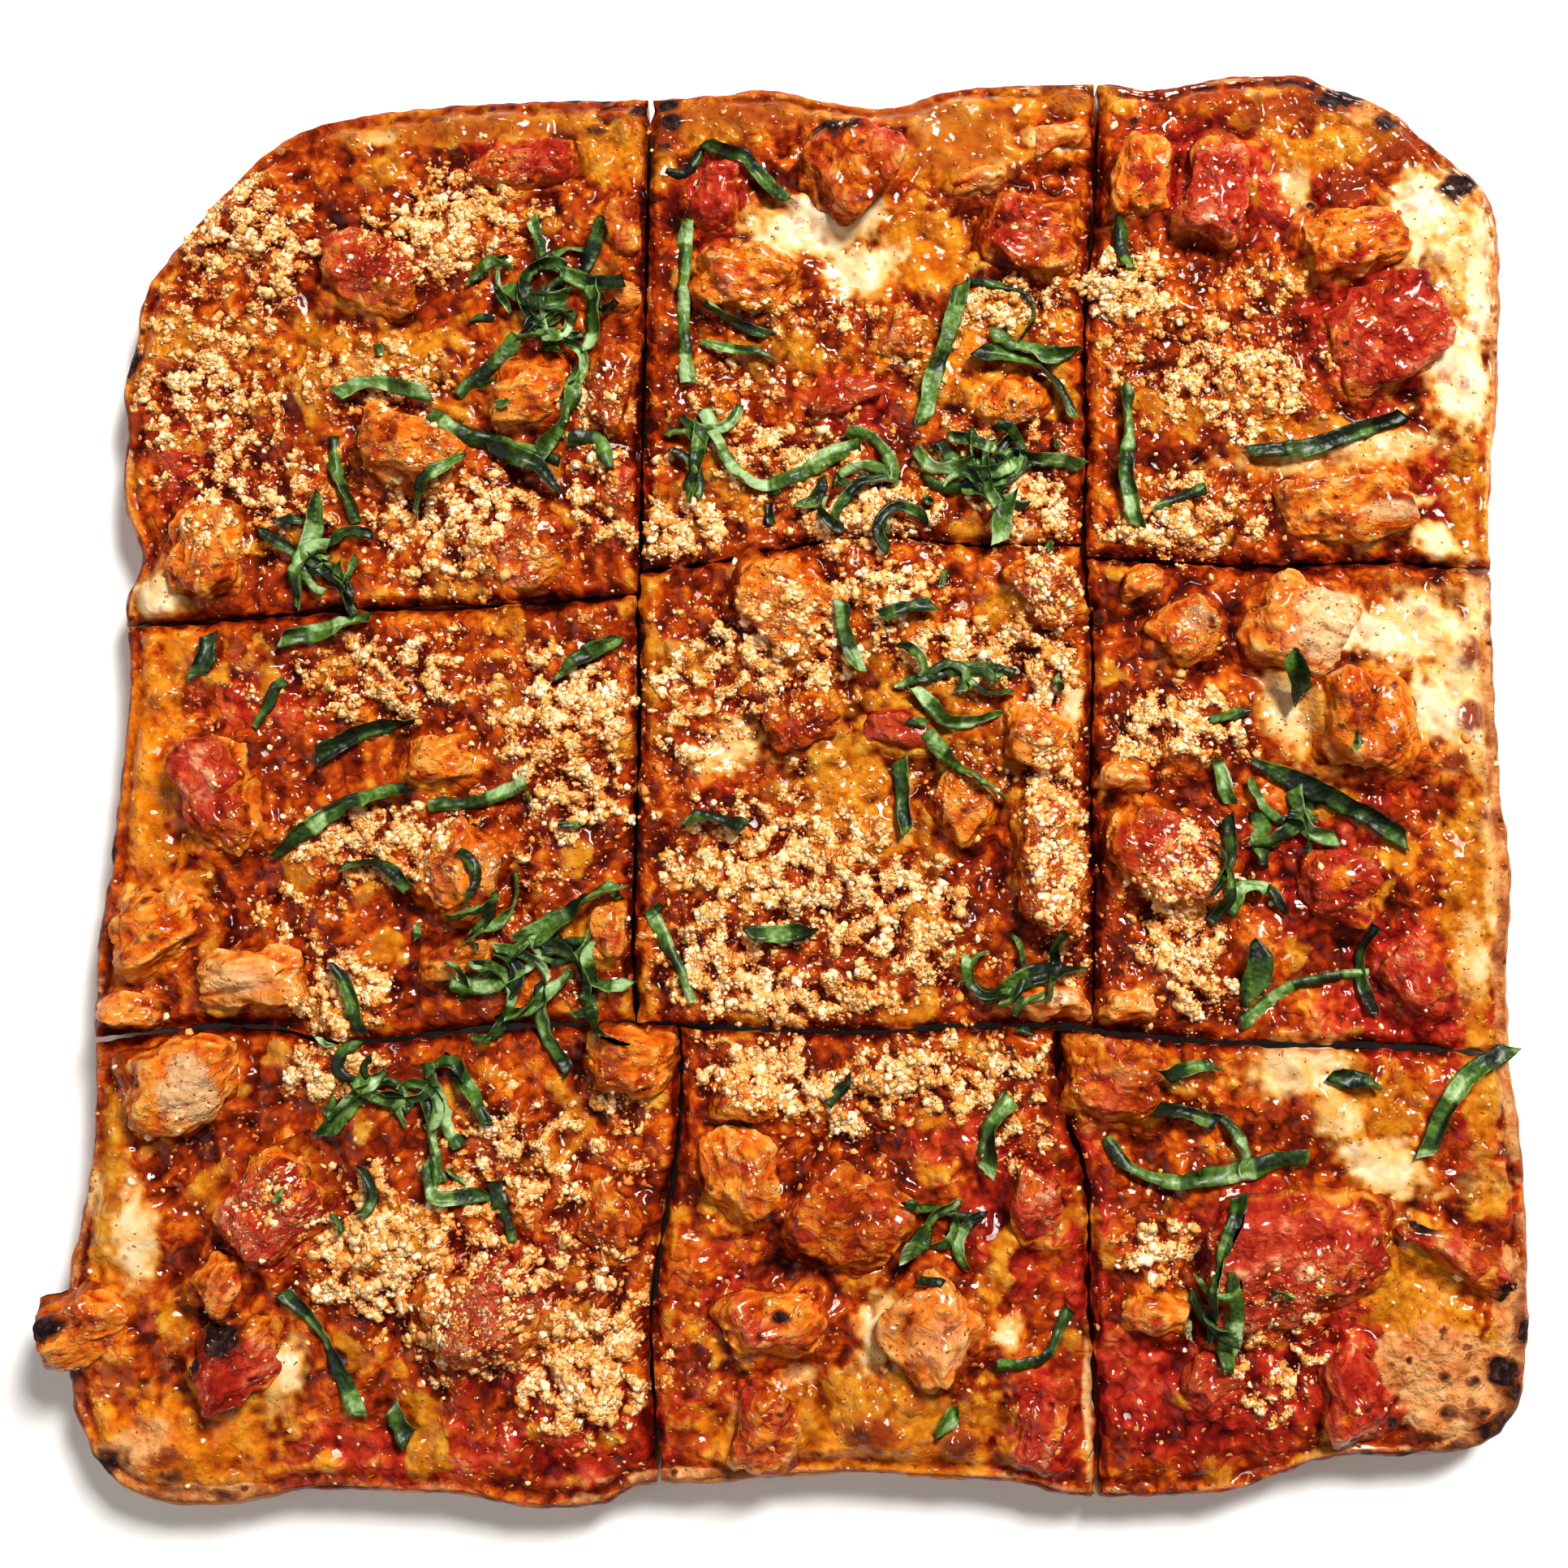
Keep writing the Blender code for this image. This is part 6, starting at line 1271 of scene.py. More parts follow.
class Nodes:
    """Short ways to put nodes in a tree; each takes sockets or plain values and gives a socket."""

    def __init__(self, tree):
        self.tree = tree

    def put(self, kind, output=0, settings=(), **inputs):
        """A node with settings and inputs."""
        node = self.tree.nodes.new(kind)
        for key, value in settings:
            setattr(node, key, value)
        self.give(node, **inputs)
        return node.outputs[output]

    def give(self, node, **inputs):
        """Feed a node's inputs, whose names have _ for a space here."""
        for key, value in inputs.items():
            self.feed(node.inputs[key.replace("_", " ")], value)

    def feed(self, socket, value):
        """Link a socket, or set a plain value."""
        if isinstance(value, bpy.types.NodeSocket):
            self.tree.links.new(value, socket)
        elif value is not None:
            socket.default_value = value

    def place(self):
        """Object coordinates, in metres."""
        return self.put("ShaderNodeTexCoord", "Object")

    def mask(self, name):
        """A number stored on the vertices."""
        return self.put("ShaderNodeAttribute", "Fac", settings=[("attribute_name", name)])

    def calc(self, operation, first, second=None, clamp=False):
        """One step of arithmetic."""
        node = self.tree.nodes.new("ShaderNodeMath")
        node.operation = operation
        node.use_clamp = clamp
        self.feed(node.inputs[0], first)
        self.feed(node.inputs[1], second)
        return node.outputs[0]

    def times(self, first, second, clamp=False):
        """One value times the other."""
        return self.calc("MULTIPLY", first, second, clamp)

    def most(self, first, second):
        """The larger of two values."""
        return self.calc("MAXIMUM", first, second)

    def without(self, value, clamp=False):
        """1 minus a value."""
        return self.calc("SUBTRACT", 1.0, value, clamp)

    def total(self, *terms):
        """Sum of sockets, each with a weight."""
        result = None
        for socket, weight in terms:
            part = self.times(socket, weight)
            result = part if result is None else self.calc("ADD", result, part)
        return result

    def ease(self, value, low, high, end=1.0):
        """Smooth step from 0 at `low` to `end` at `high`."""
        node = self.tree.nodes.new("ShaderNodeMapRange")
        node.interpolation_type = "SMOOTHSTEP"
        for key, number in (("Value", value), ("From Min", low), ("From Max", high), ("To Max", end)):
            self.feed(node.inputs[key], number)
        return node.outputs[0]

    def mix(self, share, first, second, blend="MIX"):
        """Blend of two colours."""
        node = self.tree.nodes.new("ShaderNodeMix")
        node.data_type = "RGBA"
        node.blend_type = blend
        self.feed(node.inputs["Factor"], share)
        self.feed(node.inputs[6], first)
        self.feed(node.inputs[7], second)
        return node.outputs[2]

    def ramp(self, value, *stops):
        """Colour along a ramp of (place, screen colour)."""
        node = self.tree.nodes.new("ShaderNodeValToRGB")
        steps = node.color_ramp.elements
        while len(steps) < len(stops):
            steps.new(0.5)
        for element, (at, colour) in zip(steps, stops):
            element.position = at
            element.color = paint(*colour)
        self.feed(node.inputs[0], value)
        return node.outputs[0]

    def grain(self, vector, size, detail=2.0, rough=0.5, output="Fac"):
        """Noise with features of `size` metres."""
        return self.put("ShaderNodeTexNoise", output, Vector=vector, Scale=1 / size, Detail=detail,
                        Roughness=rough)

    def cells(self, vector, size, output="Distance"):
        """Flat Voronoi cells of `size` metres: the distance to the nearest cell's middle, or that cell's
        colour. The place is moved sideways by a share of its height, so that the cells also change up
        the sides."""
        height = self.put("ShaderNodeSeparateXYZ", "Z", Vector=vector)
        lean = self.put("ShaderNodeCombineXYZ", X=self.times(height, 0.55), Y=self.times(height, 0.70))
        add = self.tree.nodes.new("ShaderNodeVectorMath")
        self.feed(add.inputs[0], vector)
        self.feed(add.inputs[1], lean)
        return self.put("ShaderNodeTexVoronoi", output, settings=[("voronoi_dimensions", "2D")],
                        Vector=add.outputs[0], Scale=1 / size)

    def moved(self, vector, size, amount):
        """A place moved by noise with features of `size` metres, by up to `amount` metres an axis."""
        scale = self.tree.nodes.new("ShaderNodeVectorMath")
        scale.operation = "SCALE"
        self.feed(scale.inputs[0], self.grain(vector, size, 0.0, output="Color"))
        scale.inputs["Scale"].default_value = amount
        add = self.tree.nodes.new("ShaderNodeVectorMath")
        self.feed(add.inputs[0], vector)
        self.feed(add.inputs[1], scale.outputs[0])
        return add.outputs[0]

    def part(self, colour, channel):
        """One channel of a colour."""
        return self.put("ShaderNodeSeparateColor", channel, Color=colour)

    def bump(self, height, depth, strength=1.0, normal=None):
        """Normal tilted by a height that is worth `depth` metres."""
        return self.put("ShaderNodeBump", "Normal", Strength=strength, Distance=depth, Height=height,
                        Normal=normal)

    def group(self, tree, **inputs):
        """A shared effect, placed with its own values: all its outputs."""
        node = self.tree.nodes.new("ShaderNodeGroup")
        node.node_tree = tree
        self.give(node, **inputs)
        return node.outputs


def effect(name, inputs, outputs):
    """An empty shared effect with named inputs and outputs: the tree, its nodes, what comes in and
    where results go out."""
    tree = bpy.data.node_groups.new(name, "ShaderNodeTree")
    kinds = {"value": "NodeSocketFloat", "colour": "NodeSocketColor", "vector": "NodeSocketVector"}
    for socket, kind in inputs:
        tree.interface.new_socket(socket, in_out="INPUT", socket_type=kinds[kind])
    for socket, kind in outputs:
        tree.interface.new_socket(socket, in_out="OUTPUT", socket_type=kinds[kind])
    entry, leave = tree.nodes.new("NodeGroupInput"), tree.nodes.new("NodeGroupOutput")
    return tree, Nodes(tree), entry.outputs, leave.inputs


def grated_cheese_effect():
    """Small grains of cheese in two sizes: a random share of Voronoi cells, given by Density, holds a
    round grain, whose mask and height fall off with the distance from the cell's middle."""
    tree, n, given, result = effect("Grated cheese", [("Place", "vector"), ("Density", "value")],
                                    [("Mask", "value"), ("Colour", "colour"), ("Height", "value")])
    bent = n.moved(given["Place"], 0.0011, 0.0006)
    masks, heights, tints = [], [], []
    for size, reach in ((0.00085, 0.50), (0.0014, 0.425)):
        drawn = n.cells(bent, size, "Color")
        own = n.part(drawn, "Red")
        tint = n.part(drawn, "Green")
        swelling = n.calc("ADD", n.times(n.part(drawn, "Blue"), 0.7), 0.75)
        away = n.times(n.cells(bent, size), swelling)
        there = n.calc("LESS_THAN", own, given["Density"])
        round_mask = n.times(n.ease(away, reach, reach * 0.72), there)
        masks.append(round_mask)
        heights.append(n.times(round_mask, n.ease(away, reach, 0.0)))
        tints.append(tint)
    mask = n.most(masks[0], masks[1])
    tint = n.mix(masks[1], tints[0], tints[1])
    n.feed(result["Mask"], mask)
    n.feed(result["Height"], n.most(heights[0], heights[1]))
    n.feed(result["Colour"], n.ramp(tint, (0.0, (200, 94, 32)), (0.35, (224, 138, 66)),
                                    (0.7, (240, 182, 116)), (1.0, (252, 222, 178))))
    return tree


def tomato_sauce_effect():
    """Crushed tomato: a tone from noise at three sizes, darkened by Hollow as painted shade and lighter
    on small lumps as painted light, read off a brown ramp or, where Red and noise are high, a crimson
    one.
    Height is the fine grain with the lumps."""
    tree, n, given, result = effect("Tomato sauce",
                                    [("Place", "vector"), ("Hollow", "value"), ("Red", "value")],
                                    [("Colour", "colour"), ("Height", "value")])
    place = given["Place"]
    broad = n.grain(place, 0.014, 3.0)
    middle = n.grain(place, 0.0046, 3.0, 0.55)
    fine = n.grain(place, 0.0016, 3.0, 0.6)
    bent = n.moved(place, 0.0030, 0.0040)
    bit = n.cells(bent, 0.0032, "Color")
    lump = n.ease(n.cells(bent, 0.0032), 0.78, 0.0)
    # The tone: painted shade from Hollow, painted light on the lumps, noise and the cells' own random
    # tone
    tone = n.total((given["Hollow"], -0.17), (broad, 1.05), (middle, 0.75), (fine, 0.32),
                   (n.part(bit, "Blue"), 0.26), (lump, 0.18))
    tone = n.calc("ADD", tone, -0.845, clamp=True)
    brown = n.ramp(tone, (0.0, (52, 9, 2)), (0.22, (96, 22, 3)), (0.42, (144, 43, 4)),
                   (0.60, (184, 74, 7)), (0.78, (214, 118, 20)), (1.0, (236, 168, 66)))
    crimson = n.ramp(tone, (0.0, (54, 7, 4)), (0.25, (112, 15, 8)), (0.5, (166, 34, 18)),
                     (0.72, (196, 62, 36)), (0.88, (214, 102, 66)), (1.0, (236, 160, 118)))
    red = n.total((given["Red"], 1.0), (broad, 0.6), (middle, 0.4), (n.part(bit, "Green"), 0.5))
    share = n.ease(red, 0.88, 1.50)
    n.feed(result["Colour"], n.mix(share, brown, crimson))
    n.feed(result["Height"], n.total((n.grain(place, 0.0010, 4.0, 0.75), 1.0), (lump, 0.7)))
    return tree


def herb_effect():
    """Flecks of dried herb and pepper: the hearts of a small share of Voronoi cells."""
    tree, n, given, result = effect("Herb flecks", [("Place", "vector"), ("Share", "value")],
                                    [("Mask", "value"), ("Colour", "colour")])
    away = n.cells(given["Place"], 0.0021)
    tint = n.cells(given["Place"], 0.0021, "Color")
    there = n.calc("LESS_THAN", n.part(tint, "Red"), given["Share"])
    n.feed(result["Mask"], n.times(n.ease(away, 0.16, 0.07), there))
    n.feed(result["Colour"], n.ramp(n.part(tint, "Green"), (0.0, (24, 14, 8)), (0.6, (40, 44, 16)),
                                    (1.0, (66, 74, 26))))
    return tree


def scorch_effect():
    """Leopard spots: blots of noise at three sizes and round spots in Voronoi cells, on a share of the
    surface given by Amount, black at heart and brown about it, with the colour of the burn itself."""
    tree, n, given, result = effect("Scorch", [("Place", "vector"), ("Amount", "value")],
                                    [("Brown", "value"), ("Black", "value"), ("Colour", "colour")])
    place = given["Place"]
    rough = n.grain(place, 0.0016, 3.0, 0.6)
    broad = n.grain(place, 0.0090, 2.0)
    blots = n.total((broad, 0.50), (n.grain(place, 0.0036, 3.0, 0.6), 0.35), (rough, 0.15))
    level = n.calc("ADD", blots, n.times(given["Amount"], 0.62))
    away = n.calc("ADD", n.cells(place, 0.0044), n.times(rough, 0.50))
    own = n.part(n.cells(place, 0.0044, "Color"), "Red")
    few = n.calc("SUBTRACT", given["Amount"], 0.12)
    spot = n.times(n.ease(away, 0.56, 0.40), n.calc("LESS_THAN", own, few))
    heart = n.times(n.ease(away, 0.43, 0.33),
                   n.calc("LESS_THAN", own, n.times(few, 0.55)))
    n.feed(result["Brown"], n.most(n.ease(level, 0.70, 0.92), spot))
    n.feed(result["Black"], n.most(n.ease(level, 0.90, 1.06), n.times(heart, 0.7)))
    n.feed(result["Colour"], n.ramp(rough, (0.30, (16, 10, 10)), (0.55, (44, 26, 24)),
                                    (0.75, (92, 62, 56))))
    return tree


def wet_film_effect():
    """Oil and juice in pools: Film is how wet the surface is, Wet times the pools times 1 minus Dry,
    and Roughness falls as it grows."""
    tree, n, given, result = effect("Wet film",
                                    [("Place", "vector"), ("Wet", "value"), ("Dry", "value")],
                                    [("Film", "value"), ("Roughness", "value")])
    pools = n.ease(n.grain(given["Place"], 0.0055, 3.0, 0.6), 0.38, 0.60)
    share = n.times(given["Wet"], n.calc("ADD", n.times(pools, 0.7), 0.3))
    share = n.times(share, n.without(given["Dry"], clamp=True), clamp=True)
    share = n.times(share, 0.60)
    n.feed(result["Film"], share)
    dull = n.calc("ADD", n.times(share, -0.34), 0.66)
    fine = n.grain(given["Place"], 0.0009, 2.0, 0.6)
    n.feed(result["Roughness"], n.total((dull, 1.0), (fine, 0.10)))
    return tree


def new_material(name):
    """A material with its nodes and its Principled shader, which is joined to the output."""
    material = bpy.data.materials.new(name)
    material.use_nodes = True
    tree = material.node_tree
    shader = tree.nodes["Principled BSDF"]
    return material, Nodes(tree), shader


GRATED_CHEESE = grated_cheese_effect()
TOMATO_SAUCE = tomato_sauce_effect()
SCORCH = scorch_effect()
HERB_FLECKS = herb_effect()
WET_FILM = wet_film_effect()


def sauce_and_cheese():
    """Tomato sauce, then over it by the masks and noise: browned cheese, pale cheese, blisters, scabs,
    oil, bare crust, burns, herbs, painted shade in pits, curds, grated grains and painted shade at the
    cuts."""
    material, n, shader = new_material("sauce and cheese")
    place = n.place()
    hollow_shade = n.mask("hollow_shade")
    rim, cut, bare = n.mask("rim"), n.mask("cut"), n.mask("bare")
    fine = n.grain(place, 0.0016, 3.0, 0.6)
    broad = n.grain(place, 0.0075, 3.0)
    orange = n.ease(n.total((n.mask("orange"), 1.0), (broad, 0.6)), 0.55, 1.20)
    # Painted shade from the hollows, less where oil stains the cheese orange, goes to the sauce's Hollow
    sunk = n.total((hollow_shade, 1.0), (orange, -0.9))
    sauce = n.group(TOMATO_SAUCE, Place=place, Hollow=sunk, Red=n.mask("red"))
    colour = sauce["Colour"]

    # Where hollow_shade is high, the gold, cream and curds thin out and the gold darkens: painted shade
    middle = n.grain(place, 0.0036, 3.0, 0.55)
    golden = n.total((n.mask("golden"), 1.0), (hollow_shade, -0.18), (broad, 0.6), (middle, 0.35), (fine, 0.25))
    golden = n.ease(golden, 0.90, 1.36, 0.94)
    gold_tone = n.total((hollow_shade, -0.20), (fine, 0.5), (middle, 0.7), (broad, 0.7), (orange, 0.16))
    gold_tone = n.calc("ADD", gold_tone, -0.47, clamp=True)
    gold = n.ramp(gold_tone, (0.0, (94, 32, 3)), (0.25, (150, 68, 5)), (0.48, (190, 108, 12)),
                  (0.72, (216, 152, 42)), (1.0, (240, 198, 110)))
    gold = n.mix(orange, gold, n.mix(1.0, gold, paint(255, 204, 110), "MULTIPLY"))
    colour = n.mix(golden, colour, gold)

    milky = n.total((n.mask("cream"), 0.95), (broad, 0.60), (middle, 0.30), (fine, 0.15), (hollow_shade, -0.06))
    cream = n.ease(milky, 0.62, 1.20)
    cream_tone = n.total((milky, 1.1), (n.grain(place, 0.0060, 3.0, 0.6), 1.1), (fine, 0.3))
    cream_tone = n.calc("ADD", cream_tone, -1.46, clamp=True)
    milk = n.ramp(cream_tone, (0.0, (178, 80, 20)), (0.20, (206, 132, 46)), (0.42, (222, 170, 94)),
                  (0.66, (234, 196, 142)), (1.0, (240, 218, 184)))
    colour = n.mix(cream, colour, milk)
    browned = n.ease(n.total((n.mask("blister"), 0.8), (broad, 0.4), (fine, 0.5)), 0.62, 1.1)
    browned = n.times(browned, n.most(n.times(golden, 0.55), n.times(rim, 0.8)))
    colour = n.mix(browned, colour, paint(140, 46, 18))
    scab = n.ease(n.total((n.mask("scab"), 1.0), (fine, 0.5), (middle, 0.4)), 0.65, 1.35, 0.95)
    scabbed = n.ramp(n.total((scab, 0.55), (fine, 0.45)),
                     (0.15, (178, 86, 34)), (0.5, (150, 54, 20)), (0.9, (100, 26, 10)))
    colour = n.mix(scab, colour, scabbed)
    oil = n.ease(n.total((n.mask("oil"), 1.0), (broad, 0.5), (hollow_shade, 0.15)), 0.60, 1.05, 0.85)
    oiled = n.ramp(fine, (0.25, (150, 70, 8)), (0.5, (196, 116, 16)), (0.8, (226, 160, 50)))
    colour = n.mix(oil, colour, oiled)

    crust_tone = n.total((n.grain(place, 0.0060, 3.0, 0.6), 1.1), (fine, 0.5))
    crust_tone = n.calc("ADD", crust_tone, -0.32, clamp=True)
    toast = n.ramp(crust_tone, (0.05, (138, 62, 28)), (0.35, (202, 118, 58)), (0.6, (224, 160, 96)),
                   (0.95, (244, 208, 158)))
    bared = n.ease(n.total((bare, 1.0), (fine, 0.4), (broad, 0.3)), 0.55, 1.0)
    edge = n.total((rim, 1.0), (broad, 0.9), (fine, 0.5), (n.mask("scab"), -0.9), (orange, -0.25))
    colour = n.mix(n.most(bared, n.ease(edge, 1.50, 1.85, 0.8)), colour, toast)

    blot = n.total((bare, 0.34), (rim, 0.30))
    scorch = n.group(SCORCH, Place=place, Amount=n.most(blot, n.mask("char")))
    colour = n.mix(n.times(scorch["Brown"], 0.8), colour, paint(116, 44, 20))
    colour = n.mix(scorch["Black"], colour, scorch["Colour"])

    herbs = n.group(HERB_FLECKS, Place=place, Share=0.07)
    colour = n.mix(n.times(herbs["Mask"], 0.85), colour, herbs["Colour"])
    density = n.times(n.calc("ADD", n.mask("cover"), n.times(n.mask("grated"), 0.40)), 0.55)
    unburnt = n.without(scorch["Black"])
    curd_grain = n.grain(place, 0.0009, 2.0, 0.6)
    curd_level = n.total((n.mask("cover"), 0.66), (n.grain(place, 0.0024, 2.0), 0.60),
                         (curd_grain, 0.50), (hollow_shade, -0.08))
    clumps = n.ease(curd_level, 0.70, 0.94)
    curd = n.times(clumps, unburnt)
    curd_colour = n.ramp(n.ease(curd_level, 0.76, 1.36), (0.0, (184, 84, 14)), (0.25, (216, 128, 36)),
                         (0.5, (234, 166, 74)), (0.75, (244, 200, 130)), (1.0, (251, 224, 178)))
    # Painted shade: colour darkened in hollows by the hollow_shade mask
    pit_shade = n.ease(hollow_shade, 0.30, 1.1, 0.7)
    colour = n.mix(pit_shade, colour, n.mix(1.0, colour, paint(156, 80, 46), "MULTIPLY"))
    colour = n.mix(curd, colour, curd_colour)
    grated = n.group(GRATED_CHEESE, Place=place, Density=density)
    # Painted shade: grains lying in hollows are tinted darker orange
    shade = n.ease(hollow_shade, 0.5, -0.6)
    flake = n.mix(n.times(n.without(shade), 0.55), grated["Colour"], paint(186, 82, 34))
    grains = n.times(grated["Mask"], unburnt)
    colour = n.mix(grains, colour, flake)
    # Painted shade in the grooves at the cuts
    colour = n.mix(n.times(cut, 0.45), colour, n.mix(1.0, colour, paint(186, 96, 60), "MULTIPLY"))

    dry = n.most(n.times(grains, 0.9), n.times(bared, 0.7))
    dry = n.most(dry, n.times(curd, 0.85))
    dry = n.most(dry, n.times(scorch["Black"], 0.6))
    dry = n.most(dry, n.most(n.times(pit_shade, 0.9), n.times(cut, 0.8)))
    film = n.group(WET_FILM, Place=place, Wet=0.95, Dry=dry)
    smooth = n.most(n.mask("cream"), n.times(n.mask("golden"), 0.5))
    calm = n.without(n.times(smooth, 0.8), clamp=True)
    relief = n.total((n.times(sauce["Height"], calm), 0.60), (n.times(clumps, curd_grain), 0.9),
                     (grated["Height"], 0.7), (n.times(bare, fine), 1.5))
    n.give(shader, Base_Color=colour, Roughness=film["Roughness"], Coat_Weight=film["Film"],
           Coat_Roughness=0.07, Coat_IOR=1.42, Specular_IOR_Level=0.02, Normal=n.bump(relief, 0.0008))
    return material


def chopped_chicken():
    """Roasted meat with fibres, stained and coated with sauce, with browned and burnt edges; painted
    light on its ridges and painted shade in its creases and where it sinks into the sauce.
    """
    material, n, shader = new_material("chopped chicken")
    place = n.place()
    ridge, sunk, pale, coat = n.mask("ridge"), n.mask("sunk"), n.mask("pale"), n.mask("coat")
    along = n.times(n.mask("run"), 0.16)
    own = n.put("ShaderNodeCombineXYZ", 0, X=along, Y=n.mask("side"), Z=n.mask("tall"))
    fibre = n.grain(own, 0.00065, 2.0, 0.6)
    fine = n.grain(place, 0.0014, 3.0, 0.6)
    broad = n.grain(place, 0.0060, 3.0)
    # Tone: lighter on ridges and darker low down where it sinks into the sauce, as painted light and
    # shade, with fibre and noise
    tone = n.total((ridge, 0.70), (fibre, 0.40), (fine, 0.40), (broad, 0.50), (sunk, -0.25))
    tone = n.calc("ADD", tone, -0.52, clamp=True)
    meat = n.ramp(tone, (0.0, (132, 30, 4)), (0.20, (196, 66, 7)), (0.42, (232, 108, 16)),
                  (0.68, (242, 152, 50)), (1.0, (250, 208, 130)))
    light = n.ramp(tone, (0.0, (146, 44, 7)), (0.25, (196, 86, 18)), (0.58, (218, 134, 52)),
                   (1.0, (242, 198, 132)))
    colour = n.mix(n.ease(n.total((pale, 1.0), (broad, 0.8)), 0.8, 1.5), meat, light)
    redder = n.total((n.mask("red"), 0.8), (n.mask("up"), 0.35))
    # The coat's Hollow is negative on ridges: painted light on them
    sauce = n.group(TOMATO_SAUCE, Place=place, Hollow=n.times(ridge, -1.8), Red=redder)
    coated = n.total((coat, 1.0), (broad, 0.6), (fine, 0.5), (fibre, 0.4), (ridge, -0.25))
    coated = n.ease(coated, 0.90, 1.40)
    colour = n.mix(coated, colour, sauce["Colour"])
    flesh = n.ramp(tone, (0.0, (104, 14, 6)), (0.4, (166, 40, 18)), (0.8, (200, 78, 40)),
                   (1.0, (226, 128, 88)))
    colour = n.mix(n.mask("tomato"), colour, flesh)
    colour = n.mix(n.ease(n.mask("cream"), 0.15, 0.7, 0.9), colour,
                   n.ramp(fine, (0.3, (214, 148, 88)), (0.7, (240, 206, 156))))
    singed = n.total((n.mask("up"), 0.14), (ridge, 0.18))
    scorch = n.group(SCORCH, Place=place, Amount=n.most(n.mask("char"), singed))
    colour = n.mix(n.times(scorch["Brown"], 0.7), colour, paint(110, 30, 10))
    colour = n.mix(scorch["Black"], colour, scorch["Colour"])
    herbs = n.group(HERB_FLECKS, Place=place, Share=0.10)
    colour = n.mix(n.times(herbs["Mask"], 0.85), colour, herbs["Colour"])
    grated = n.group(GRATED_CHEESE, Place=place, Density=n.times(n.mask("grated"), 0.5))
    colour = n.mix(grated["Mask"], colour, grated["Colour"])
    # Painted shade low on the chunk, where it sinks into the sauce
    colour = n.mix(n.times(sunk, 0.8), colour, n.mix(1.0, colour, paint(150, 70, 50), "MULTIPLY"))
    dry = n.most(n.times(grated["Mask"], 0.9), n.times(scorch["Black"], 0.7))
    film = n.group(WET_FILM, Place=place, Wet=n.calc("ADD", n.times(coated, 0.4), 0.9), Dry=dry)
    rough = n.without(n.times(pale, 0.6))
    relief = n.times(n.total((fine, 0.7), (fibre, 0.4), (sauce["Height"], 1.0)), rough)
    normal = n.bump(grated["Height"], 0.0007, 1.0, n.bump(relief, 0.0010, 0.9))
    n.give(shader, Base_Color=colour, Roughness=film["Roughness"], Coat_Weight=film["Film"],
           Coat_Roughness=0.10, Coat_IOR=1.42, Specular_IOR_Level=0.02, Normal=normal)
    return material


def baked_dough():
    """Browned crust outside, pale crumb on the cut faces, sauce stain near the top of both."""
    material, n, shader = new_material("baked dough")
    place = n.place()
    height = n.put("ShaderNodeSeparateXYZ", "Z", Vector=place)
    fine = n.grain(place, 0.0013, 3.0, 0.6)
    broad = n.grain(place, 0.0070, 4.0, 0.6)
    tone = n.calc("ADD", n.total((broad, 0.9), (fine, 0.35)), -0.12, clamp=True)
    crust = n.ramp(tone, (0.0, (128, 58, 20)), (0.3, (186, 104, 44)), (0.55, (216, 146, 78)),
                   (0.8, (230, 178, 112)), (1.0, (240, 206, 150)))
    crumb = n.ramp(tone, (0.0, (196, 138, 74)), (0.5, (228, 186, 126)), (1.0, (244, 218, 170)))
    colour = n.mix(n.mask("baked"), crumb, crust)
    low = n.ease(n.total((height, 90.0), (broad, 0.6)), 0.75, 0.25)
    colour = n.mix(n.times(low, 0.6), colour, paint(134, 72, 30))
    stain = n.ease(n.total((height, 110.0), (broad, 0.9), (fine, 0.3)), 1.20, 1.62)
    stain = n.times(stain, n.without(n.times(n.mask("bare"), 0.9)))
    sauce = n.group(TOMATO_SAUCE, Place=place, Hollow=0.2, Red=n.mask("red"))
    gold = n.ramp(tone, (0.0, (110, 26, 6)), (0.4, (186, 76, 18)), (0.7, (218, 118, 36)),
                  (1.0, (238, 174, 90)))
    milk = n.ramp(tone, (0.0, (206, 120, 60)), (0.5, (240, 196, 136)), (1.0, (250, 226, 184)))
    top = n.mix(n.ease(n.total((n.mask("golden"), 1.0), (broad, 0.5)), 0.6, 1.0), sauce["Colour"], gold)
    top = n.mix(n.ease(n.total((n.mask("cream"), 1.0), (broad, 0.4)), 0.6, 1.0), top, milk)
    colour = n.mix(stain, colour, top)
    scorch = n.group(SCORCH, Place=place, Amount=n.most(n.mask("char"), n.times(n.mask("baked"), 0.30)))
    colour = n.mix(n.times(scorch["Brown"], 0.75), colour, paint(104, 46, 20))
    colour = n.mix(scorch["Black"], colour, scorch["Colour"])
    film = n.group(WET_FILM, Place=place, Wet=n.times(stain, 0.8), Dry=scorch["Black"])
    normal = n.bump(n.total((fine, 0.6), (broad, 0.6)), 0.0008, 0.7)
    n.give(shader, Base_Color=colour, Roughness=film["Roughness"], Coat_Weight=film["Film"],
           Coat_Roughness=0.20, Specular_IOR_Level=0.10, Normal=normal)
    return material


